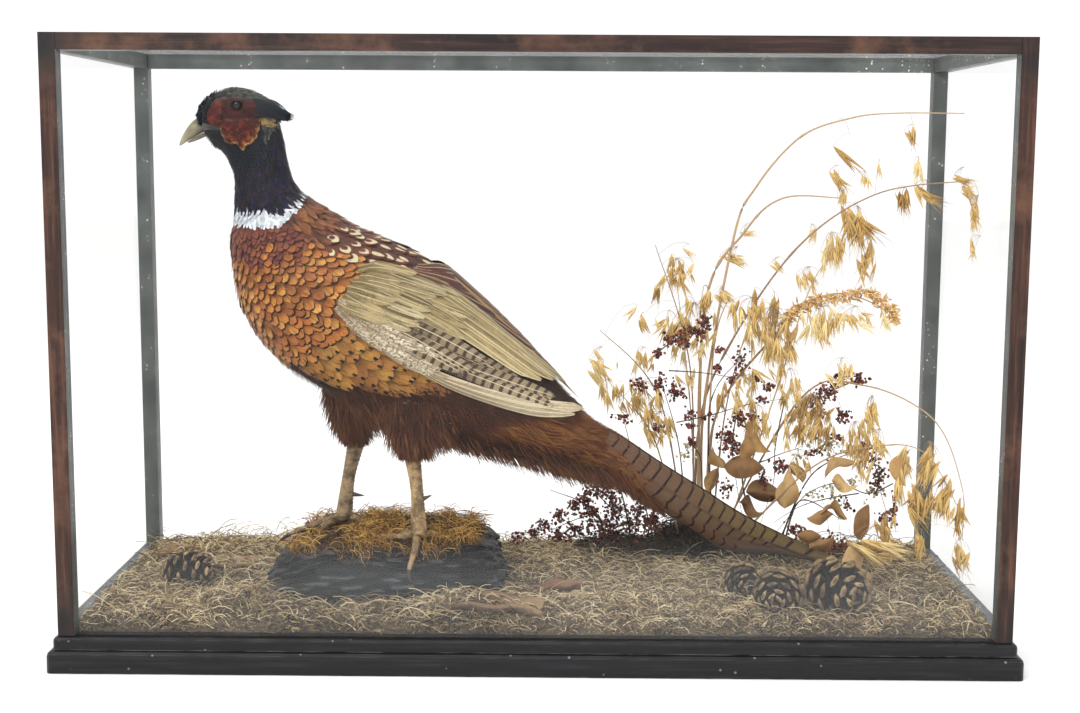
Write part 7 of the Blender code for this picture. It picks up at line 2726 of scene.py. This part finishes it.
def copies(name: str, shape: Shape, spots: Array, turns: Array, sizes: Array, tones: Array,
           finish: Finish) -> bpy.types.Mesh:
    """Sets copies of one small shape on points, each with its turn, size and tone.

    Args:
        name: The mesh's name.
        shape: The shape, one unit long.
        spots: Where each goes, in millimetres.
        turns: Each one's turn.
        sizes: Each one's length in millimetres.
        tones: Each one's tone, from 0 to 1.
        finish: Their finish.

    Returns:
        The mesh. Its "Along" value is the height on the shape, its "Tone" the copy's tone.
    """
    single = bpy.data.objects.new(f"{name}_unit", make_mesh(f"{name}_unit", shape[0] / MM, shape[1]))
    add_values(single.data, "Along", "FLOAT", shape[0][:, 2])
    bpy.context.scene.collection.objects.link(single)
    base = bpy.data.meshes.new(name)
    base.from_pydata((spots * MM).tolist(), [], [])
    add_values(base, "Turn", "FLOAT_VECTOR", turns)
    add_values(base, "Long", "FLOAT", sizes * MM)
    add_values(base, "Tone", "FLOAT", tones)
    rule = GeometryRule(name, {"Shape": single, "Growth": 1.0})
    add, given = rule.nodes.add, rule.inputs
    turn, long, tone = (
        add("GeometryNodeInputNamedAttribute", {"Name": key}, data_type=kind)
        for key, kind in (("Turn", "FLOAT_VECTOR"), ("Long", "FLOAT"), ("Tone", "FLOAT")))
    made = add("GeometryNodeInstanceOnPoints", {
        "Points": add("GeometryNodeMeshToPoints", {"Mesh": given["Geometry"]}), "Rotation": turn,
        "Instance": add("GeometryNodeObjectInfo", {"Object": given["Shape"]}, "Geometry"),
        "Scale": add("Math", {0: long, 1: given["Growth"]}, operation="MULTIPLY")})
    rule.finish(add("GeometryNodeStoreNamedAttribute", {"Geometry": made, "Name": "Tone", "Value": tone},
                    data_type="FLOAT", domain="INSTANCE"), finish.material())
    mesh = rule.run(base, name)
    bpy.data.objects.remove(single)
    return mesh


@dataclass
class Plants:
    """The dried plants at the tail end: wild oats, sorrel and leafy twigs."""

    seed: int = 31

    def build(self) -> None:
        """Builds stalks, spikelets, fruit, flowers and leaves."""
        self.draw = np.random.default_rng(self.seed)
        self.straw = DriedPlant("dry_oat_straw", ("#8C705C", "#A98C6C", "#C8AA7E"), 0.6)
        self.stem = DriedPlant("dark_dry_stem", ("#2F2522", "#4A3A30", "#6A5644"), 0.8)
        self.lines, dark, twigs = (
            [spline(np.array(path, float), np.linspace(0, len(path) - 1, 60)) for path in paths]
            for paths in ([path for path, _ in STALKS], SORREL_STALKS, TWIGS))
        self.stalks("oat_stalks", self.lines, [r for _, r in STALKS], self.straw, "dried_grass",
                    ("grass_clump",))
        self.stalks("sorrel_stalks", dark[:4], [1.0] * 4, self.stem, "dried_sorrel", ("sorrel_clump",))
        self.stalks("sorrel_tall_stalks", dark[7:], [0.9] * 3, self.stem, "dried_sorrel", ())
        self.stalks("leafy_twig_stems", dark[4:7] + twigs, [1.1] * 3 + [0.7] * len(twigs), self.stem,
                    "dried_leaf", ("leafy_twig",))
        self.oats()
        self.seeds("sorrel_fruit", SORREL_GROUPS, dark[:4] + dark[7:] + twigs, 3.5, (2.6, 4.8), DriedPlant(
            "dark_sorrel_fruit", ("#38160F", "#6A2C20", "#9A5238"), 0.6, depth=0.5))
        self.seeds("papery_flowers", FLOWER_GROUPS, dark[4:7] + twigs, 2.0, (2.6, 4.8), DriedPlant(
            "papery_flower", ("#8F8860", "#B3AB82", "#D0C9A2"), 0.8))
        self.leaves()

    def stalks(self, name: str, lines: Sequence[Array], radii: Sequence[float], finish: DriedPlant, slot: str,
               nodes: tuple[str, ...]) -> None:
        """Builds tapering stalks with their joints.

        Args:
            name: The piece's name.
            lines: Each stalk's line, 60 points long.
            radii: Each one's radius at the foot.
            finish: Their finish.
            slot: The record's slot.
            nodes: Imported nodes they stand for.
        """
        s = np.linspace(0, 1, 60)
        joint = sum(0.45 * np.exp(-((s - at) / 0.012) ** 2) for at in (0.16, 0.36, 0.58))
        wall = np.array(radii)[:, None] * (1 - 0.72 * s) * (1 + joint)
        mesh = make_mesh(name, *tubes(np.stack(lines), wall, 7))
        add_values(mesh, "Tone", "FLOAT", np.repeat(self.draw.uniform(0.2, 0.75, len(lines)), 60 * 7))
        place_piece(name, mesh, finish, slot, nodes)

    def strewn(self, groups: Array, more: float = 1.0, spread: float = 1.0) -> tuple[Array, Array]:
        """Random places round each group's middle.

        Args:
            groups: Middle, spreads and count, group by group.
            more: A factor on the counts.
            spread: A factor on the spreads.

        Returns:
            The places and the group of each.
        """
        counts = np.maximum(1, groups[:, 5] * more).astype(int)
        owner = np.repeat(np.arange(len(groups)), counts)
        wide = spread * np.stack([groups[:, 3], 0.8 * groups[:, 3] + 2, groups[:, 4]], -1)
        away = np.clip(self.draw.normal(0, 0.62, (len(owner), 3)), -1.3, 1.3)
        spots = groups[owner, :3] + away * wide[owner]
        spots[:, 0] = np.clip(spots[:, 0], -380, 386)
        return spots, owner

    def pedicels(self, name: str, spots: Array, owner: Array, knots: Array, lines: Sequence[Array],
                 finish: DriedPlant, slot: str, radius: float) -> None:
        """Hair-thin stems from each head to its group's knot, and from each knot to the nearest stalk.

        Args:
            name: The piece's name.
            spots: The heads' places.
            owner: Each one's group.
            knots: Each group's knot.
            lines: The stalks.
            finish: Their finish.
            slot: The record's slot.
            radius: Their radius.
        """
        every = np.concatenate(lines)
        s = np.linspace(0, 1, 7)[:, None]
        paths = []
        nearest = [every[((every - knot) ** 2 * (1, 0.5, 1)).sum(1).argmin()] for knot in knots]
        for start, end in (*zip(spots, knots[owner]), *zip(knots, nearest)):
            bow = np.array([0, 0, 0.18]) * np.linalg.norm(end - start)
            paths.append(start + (end - start) * s + 4 * s * (1 - s) * bow)
        paths = np.array(paths)
        mesh = make_mesh(name, *tubes(paths, np.full(paths.shape[:2], radius), 3))
        add_values(mesh, "Tone", "FLOAT", np.full(len(mesh.vertices), 0.5))
        place_piece(name, mesh, finish, slot)

    def oats(self) -> None:
        """Builds the wild-oat spikelets, their hair stems and the feathery plume."""
        groups = OAT_GROUPS
        spots, owner = self.strewn(groups, 1.6)
        ahead = np.concatenate([random_turns(self.draw, int((owner == k).sum()), groups[k, 6], 16)
                                for k in range(len(groups))])
        sizes = groups[owner, 7] * self.draw.uniform(0.78, 1.18, len(owner))
        spots = spots - ahead * sizes[:, None] * 0.5
        tones = np.clip(groups[owner, 8] + self.draw.normal(0, 0.12, len(owner)), 0, 1)
        knots = groups[:, :3] + (groups[:, 4] + 0.5 * groups[:, 7])[:, None] * (0, 0, 1)
        self.pedicels("oat_pedicels", spots, owner, knots, self.lines, self.straw, "dried_grass", 0.16)
        whole = joined(spindle((0, 0, 0), (0.17, 0, 0.95), 0.055, 5, 6, 0.55),
                       spindle((0, 0, 0), (-0.20, 0, 0.90), 0.050, 5, 6, 0.55),
                       spindle((0, 0, 0.04), (0.04, 0.09, 0.76), 0.042, 4, 5),
                       spindle((0, 0, 0.04), (-0.05, -0.07, 0.70), 0.038, 4, 5),
                       spindle((0.02, 0, 0.4), (0.16, 0.18, 1.40), 0.007, 3, 4),
                       spindle((-0.02, 0, 0.4), (-0.16, -0.10, 1.30), 0.007, 3, 4))
        husks = DriedPlant("dry_oat_husk", ("#7A5A30", "#B89152", "#DABA76", "#EAD49C"), 0.55, 300.0, 0.45)
        mesh = copies("oat_spikelets", whole, spots, rolled(ahead, self.draw), sizes, tones, husks)
        place_piece("oat_spikelets", mesh, None, "dried_grass")
        plume = np.array(((236, 66, 276), (240, 64, 284), (250, 62, 293), (265, 60, 300), (290, 56, 305),
                          (314, 52, 309), (330, 48, 298), (339, 45, 286)), float)
        count = 620
        t = self.draw.uniform(0, len(plume) - 1, count)
        spots = spline(plume, t) + self.draw.normal(0, 1.0, (count, 3)) * (2.0, 2.0, 2.4)
        away = unit(self.draw.normal(0, 1, (count, 3)) + (0.5, 0, -0.4))
        mesh = copies("grass_plume", spindle((0, 0, 0), (0.05, 0, 1.0), 0.13, 4, 5), spots,
                      rolled(away, self.draw), self.draw.uniform(4, 9.0, count),
                      self.draw.uniform(0, 1, count),
                      DriedPlant("golden_plume", ("#B98A4C", "#DDB470", "#EED09A"), 0.6))
        place_piece("grass_plume", mesh, None, "dried_grass")

    def seeds(self, name: str, groups: Array, lines: Sequence[Array], more: float, size: tuple[float, float],
              finish: DriedPlant) -> None:
        """Builds clustered fruit or flowers with their stems.

        Args:
            name: The piece's name.
            groups: The clusters.
            lines: The stalks they hang from.
            more: A factor on the counts.
            size: Least and greatest length.
            finish: Their finish.
        """
        spots, owner = self.strewn(groups, more, 1.35)
        self.pedicels(f"{name}_stems", spots[::3], owner[::3], groups[:, :3], lines, self.stem,
                      "dried_sorrel", 0.22)
        turns = rolled(random_turns(self.draw, len(spots), 0, 60), self.draw)
        mesh = copies(name, spindle((0, 0, 0), (0, 0, 1), 0.42, 3, 5, lead=0.8), spots, turns,
                      self.draw.uniform(*size, len(spots)), self.draw.uniform(0, 1, len(spots)), finish)
        place_piece(name, mesh, None, "dried_sorrel")

    def leaves(self) -> None:
        """Builds the broad dried leaves, each cupped and folded on its rib."""
        points = []
        for k, (x, y, z, length, lean) in enumerate(LEAVES[:, :5]):
            long = 1.32 * length
            s, c = lattice(np.linspace(0, 1, 15), np.linspace(-1, 1, 9))
            half = 0.34 * long * np.sin(np.pi * s ** 0.8) ** 0.85
            cup, bend = self.draw.uniform(0.5, 1.1), self.draw.uniform(-1.2, 1.2)
            ripple = 0.03 * long * np.sin(s * 9 + c * 3 + k)
            twist = self.draw.uniform(-2.4, 2.4) * (s - 0.5)
            local = np.stack([c * half * (1 - 0.25 * cup), half * cup * np.abs(c) ** 1.5 + bend * long * 0.25
                              * np.sin(np.pi * s) + ripple * np.abs(c), (s - 0.5) * long], -1)
            x0, y0, z0 = np.moveaxis(local, -1, 0)
            local = np.stack([x0 * np.cos(twist) - y0 * np.sin(twist),
                              x0 * np.sin(twist) + y0 * np.cos(twist),
                              z0], -1)
            for angle, axis in ((self.draw.uniform(-0.9, 0.9), "Z"), (np.radians(lean), "Y")):
                local = local @ np.array(Matrix.Rotation(angle, 3, axis)).T
            points.append(local.reshape(-1, 3) + (x, y, z))
        mesh = make_mesh("broad_leaves", np.concatenate(points), strip_faces(len(LEAVES), *s.shape))
        add_values(mesh, "Tone", "FLOAT", np.repeat(LEAVES[:, 5], s.size))
        place_piece("broad_leaves", mesh, DriedPlant("dry_broad_leaf", (
            "#523823", "#8A663E", "#B78F5A", "#D6B581"), 0.6, 160.0, 0.4), "dried_leaf")


@dataclass(frozen=True)
class Turf:
    """A mound of dark peat and roots that the plants are set in."""

    name: str
    centre: tuple[float, float]
    size: tuple[float, float, float]

    def build(self) -> None:
        """Builds the mound and the root fibres on it."""
        t, turn = lattice(np.linspace(0, np.pi / 2 - 0.02, 14), around(48))
        rough = 1 + 0.10 * np.sin(turn * 5 + t * 3) + 0.07 * np.sin(turn * 11 + t * 7)
        points = np.stack([self.centre[0] + self.size[0] * np.cos(t) * np.cos(turn) * rough,
                           self.centre[1] + self.size[1] * np.cos(t) * np.sin(turn) * rough,
                           GROUND_TOP + self.size[2] * np.sin(t) * rough], -1).reshape(-1, 3)
        mesh = make_mesh(self.name, points, closed_faces(1, *t.shape))
        place_piece(self.name, mesh, EarthMat("peaty_turf", "#2E2319", "#130E0A"), "dried_moss_ground")
        root = DriedPlant("dark_root_fibre", ("#17110D", "#33271D", "#5E4B33"), 0.9)
        sprigs = Sprigs(f"{self.name}_fibre", root, 2.1, 12.0, 0.38, 9, lean=1.0, curl=0.7, steps=5)
        place_piece(f"{self.name}_fibres", sprigs.spread(mesh), None, "dried_moss_ground")


TURFS = (Turf("grass_turf", (160.0, 96.0), (46.0, 32.0, 32.0)),
         Turf("sorrel_turf", (84.0, 94.0), (44.0, 26.0, 13.0)),
         Turf("twig_turf", (234.0, 80.0), (25.0, 20.0, 10.0)))


@dataclass(frozen=True)
class ConeScale(Finish):
    """Weathered pine-cone scale: brown woody blade, near black as painted shade where it lies between the
    scales, that ends in a thick, paler, dusty tan boss.
    """

    blade: tuple[str, str] = ("#15100D", "#3A2C22")
    boss: tuple[str, str] = ("#5E4A36", "#AE946A")

    def paint(self, tree: NodeTree) -> Socket:
        """Wires blade into boss along each scale, with grain of about 1 mm and a dark navel.

        Args:
            tree: The tree being wired.

        Returns:
            The shader.
        """
        place = tree.add("TexCoord", out="Object")
        along, tone = (tree.add("Attribute", out="Fac", attribute_name=key) for key in ("Along", "Tone"))
        grain = tree.add("TexNoise", {"Vector": place, "Scale": 900.0, "Detail": 3.0}, out="Fac")
        both = tree.add("Math", {0: grain, 1: tone})
        # The blade's near-black tones are painted shade deep between the scales.
        blade, boss = (tree.add("ValToRGB", {"Fac": tree.add("Math", {
            0: both, 1: 0.5}, operation="MULTIPLY")}, stops=tuple(zip((0.25, 0.75), tones)))
            for tones in (self.blade, self.boss))
        rough = tree.add("Math", {0: grain, 1: 0.16, 2: along}, operation="MULTIPLY_ADD")
        share = tree.add("MapRange", {"Value": rough, "From Min": 0.91, "From Max": 0.98})
        colour = tree.add("Mix", {0: share, 6: blade, 7: boss}, 2, data_type="RGBA")
        navel = tree.add("MapRange", {"Value": along, "From Min": 0.97, "From Max": 1.0, "To Max": 0.7})
        colour = tree.add("Mix", {0: navel, 6: colour, 7: linear("#2E231A")}, 2, data_type="RGBA")
        bump = tree.add("Bump", {"Height": grain, "Strength": 0.5, "Distance": 0.0006})
        return tree.add("BsdfPrincipled", {
            "Base Color": colour, "Roughness": 0.7, "Specular IOR Level": 0.25, "Normal": bump})


@dataclass(frozen=True)
class Cone:
    """A dropped pine cone: overlapping scales in a spiral round a core."""

    node: str
    centre: tuple[float, float]
    half: float
    radius: float
    turn: float
    count: int = 72
    # One scale, one unit long: height, half width, half thickness and bend back at each section.
    scale: tuple[tuple[float, ...], ...] = (
        (0.0, 0.06, 0.03, 0.0), (0.4, 0.16, 0.04, 0.0), (0.68, 0.28, 0.05, 0.01), (0.85, 0.32, 0.11, 0.05),
        (0.96, 0.20, 0.10, 0.11), (1.04, 0.03, 0.03, 0.16))

    def scale_shape(self) -> Shape:
        """One woody scale, thin at the root and thick at the tip."""
        row = spline(np.array(self.scale), np.linspace(0, 5, 8))[:, None]
        turn = around(6)
        points = np.stack([row[..., 1] * np.cos(turn), row[..., 3] + row[..., 2] * np.sin(turn),
                           row[..., 0] + 0 * turn], -1)
        return points.reshape(-1, 3), closed_faces(1, *points.shape[:2])

    def build(self) -> None:
        """Builds the core and its scales."""
        draw = np.random.default_rng(int(abs(self.centre[0])))
        k = np.arange(self.count)
        t = (k + 0.5) / self.count
        spin = k * 2.39996
        girth = self.radius * np.interp(t, (0, 0.12, 0.35, 0.6, 0.85, 1), (0.62, 0.90, 1.06, 1.0, 0.72, 0.42))
        along = self.half * (-0.62 + 1.25 * t)
        lean = np.interp(t, (0, 0.05, 0.12, 0.22, 0.5, 1), (-6.0, -2.6, -1.2, -0.55, 0.2, 2.4))
        out = unit(np.stack([lean, np.cos(spin), np.sin(spin)], -1) + draw.normal(0, 0.06, (self.count, 3)))
        axis = np.array(Matrix.Rotation(np.radians(self.turn), 3, "Z"))
        middle = np.array([*self.centre, GROUND_TOP + self.radius * 0.86])
        root = np.stack([along, 0.16 * girth * np.cos(spin), 0.16 * girth * np.sin(spin)], -1)
        spots, ahead = root @ axis.T + middle, out @ axis.T
        turns = []
        for way in ahead:
            # Each scale's thick side faces the cone's foot.
            z = Vector(way)
            side = z.cross(Vector(axis @ (1.0, 0, 0))).normalized()
            turns.append(tuple(Matrix((side, z.cross(side), z)).transposed().to_euler()))
        sizes = 0.86 * girth + 1.5
        mesh = copies(f"{self.node}_scales", self.scale_shape(), spots, np.array(turns), sizes,
                      draw.uniform(0, 1, self.count), ConeScale("weathered_cone_scale"))
        place_piece(f"{self.node}_scales", mesh, None, "pine_cone", (self.node,))
        # The core is near black, as painted shade deep inside the cone.
        core = spindle((-0.8 * self.half, 0, 0), (0.8 * self.half, 0, 0), 0.5 * self.radius, 20, 14, lead=0.9)
        mesh = make_mesh(f"{self.node}_core", core[0] @ axis.T + middle, core[1])
        place_piece(mesh.name, mesh, DriedPlant("sooty_cone_core", ("#100C0A", "#1E1713", "#2E241D")),
                    "pine_cone")


CONES = (Cone("cone_left", (-322, -36), 27, 18, 168), Cone("cone_small", (188, -50), 23, 16, 100),
         Cone("cone_middle", (214, -98), 30, 20, 78), Cone("cone_right", (264, -96), 29, 25, 118))


@dataclass(frozen=True)
class Flake:
    """A curled piece of bark or a fallen leaf on the ground."""

    node: str
    centre: tuple[float, float]
    size: tuple[float, float, float]
    turn: float
    rise: float
    slot: str
    tones: tuple[str, ...]
    curl: float
    ragged: float
    pointed: float

    def build(self) -> None:
        """Builds the flake as a thin closed shell."""
        long, wide, thick = self.size
        rows, columns = 41, 17
        s, c = lattice(np.linspace(-1, 1, rows), np.linspace(-1, 1, columns))
        half = wide / 2 * (1 - self.pointed * np.abs(s) ** 2.2)
        half = half * (1 + self.ragged * np.sin(s * 17 + np.sign(c) * 2))
        x = s * long / 2 * (1 + self.ragged * 0.5 * np.sin(c * 7 + 1) * np.abs(s) ** 4)
        y = c * half
        rise = self.rise * (0.35 * (1 - s ** 2) + self.curl * np.abs(c) ** 1.8 + 0.12 * np.sin(s * 6 + c * 2))
        rise = rise + 0.4 * thick * np.sin(y * 1.3) * self.ragged * 4
        top = np.stack([x, y, rise + thick / 2], -1)
        low = np.stack([x, y, rise - thick / 2], -1)
        ring = np.concatenate([top, low[:, ::-1]], axis=1)
        turn = np.array(Matrix.Rotation(np.radians(self.turn), 3, "Z"))
        points = ring.reshape(-1, 3) @ turn.T + (*self.centre, GROUND_TOP + 2.5)
        mesh = make_mesh(f"{self.node}_flake", points, closed_faces(1, rows, 2 * columns))
        add_values(mesh, "Tone", "FLOAT", np.repeat(0.5 + 0.35 * s[:, 0], 2 * columns))
        finish = DriedPlant(f"{self.node}_surface", self.tones, 0.75, 220.0, 0.4)
        place_piece(mesh.name, mesh, finish, self.slot, (self.node,))


FLAKES = (
    Flake("bark_centre", (-37, -121), (88, 34, 3.2), -6, 15, "bark", ("#543C32", "#7A614A", "#98805F"),
          0.55, 0.06, 0.25),
    Flake("bark_left", (-294, 26), (62, 34, 3.2), 12, 8, "bark", ("#5C4936", "#8B7355", "#A68E6E"),
          0.5, 0.08, 0.3),
    Flake("leaf_curled", (22, -58), (46, 22, 1.6), 24, 9, "dried_leaf", ("#5A3C2C", "#7E5A43", "#9A7658"),
          0.9, 0.03, 0.85),
    Flake("leaf_corner", (-354, 66), (52, 30, 1.6), 38, 8, "dried_leaf", ("#5E4630", "#82684A", "#A0845F"),
          0.8, 0.03, 0.85),
)


# ---------------------------------------------------------------- stage
@dataclass(frozen=True)
class StudioFloor(Finish):
    """Matt painted board: a pale, even ground that only takes a soft shadow."""

    def paint(self, tree: NodeTree) -> Socket:
        """Wires a faint unevenness into an off-white paint.

        Args:
            tree: The tree being wired.

        Returns:
            The shader.
        """
        place = tree.add("TexCoord", out="Object")
        grain = tree.add("TexNoise", {"Vector": place, "Scale": 4.0}, out="Fac")
        colour = tree.add("Mix", {0: grain, 6: linear("#F7F7F6"), 7: linear("#FAFAF9")}, 2, data_type="RGBA")
        return tree.add("BsdfPrincipled", {"Base Color": colour, "Roughness": 0.9})


@dataclass(frozen=True)
class Studio:
    """Camera and soft lights round the case."""

    place: tuple[float, float, float] = (0.0127, -1.4551, 0.4413)
    pitch: float = -0.1290
    yaw: float = 0.0071
    roll: float = 0.0056
    lens: float = 52.73
    sensor: float = 36.0

    def build(self) -> None:
        """Sets the stage, the camera, the lights and the white surroundings."""
        scene = bpy.context.scene
        floor = bpy.data.objects.new("floor", make_mesh("floor", np.array(
            ((-9, -9, 0), (9, -9, 0), (9, 9, 0), (-9, 9, 0))) / MM, [(0, 1, 2, 3)]))
        floor.data.materials.append(StudioFloor("matt_white_floor").material())
        scene.collection.objects.link(floor)
        camera = bpy.data.objects.new("camera", bpy.data.cameras.new("camera"))
        camera.data.lens, camera.data.sensor_width = self.lens, self.sensor
        scene.collection.objects.link(camera)
        ahead = Vector((-np.sin(self.yaw) * np.cos(self.pitch), np.cos(self.yaw) * np.cos(self.pitch),
                        np.sin(self.pitch)))
        right = Vector((np.cos(self.yaw), np.sin(self.yaw), 0.0))
        up = right.cross(ahead)
        side = right * np.cos(self.roll) + up * np.sin(self.roll)
        top = up * np.cos(self.roll) - right * np.sin(self.roll)
        turn = Matrix((side, top, -ahead)).transposed().to_4x4()
        camera.matrix_world = Matrix.Translation(self.place) @ turn
        scene.camera = camera
        world = bpy.data.worlds.new("white_surroundings")
        world.use_nodes = True
        world.node_tree.nodes["Background"].inputs["Color"].default_value = (1, 1, 1, 1)
        world.node_tree.nodes["Background"].inputs["Strength"].default_value = 1.08
        scene.world = world
        scene.view_settings.view_transform = "Standard"
        for name, spot, size, power in (("key", (-0.9, -1.7, 1.7), 1.1, 26.0),
                                        ("fill", (1.5, -1.5, 0.9), 1.4, 4.0),
                                        ("top", (0.0, 0.2, 2.0), 1.2, 9.0)):
            light = bpy.data.objects.new(name, bpy.data.lights.new(name, "AREA"))
            light.data.energy, light.data.size = power, size
            light.location = spot
            light.rotation_euler = (Vector((0, 0, 0.25)) - Vector(spot)).to_track_quat("-Z", "Y").to_euler()
            scene.collection.objects.link(light)


def main() -> None:
    """Builds everything."""
    logging.basicConfig(level=logging.INFO, format="%(message)s")
    body = Body()
    Plumage(body).build()
    Head(body).build()
    for leg in LEGS:
        leg.build()
    nodes = frame["nodes"]
    Case().build(nodes)
    Groundwork().build(nodes)
    Rock().build()
    Plants().build()
    for piece in (*TURFS, *CONES, *FLAKES):
        piece.build()
    Studio().build()


if __name__ == "__main__":
    main()
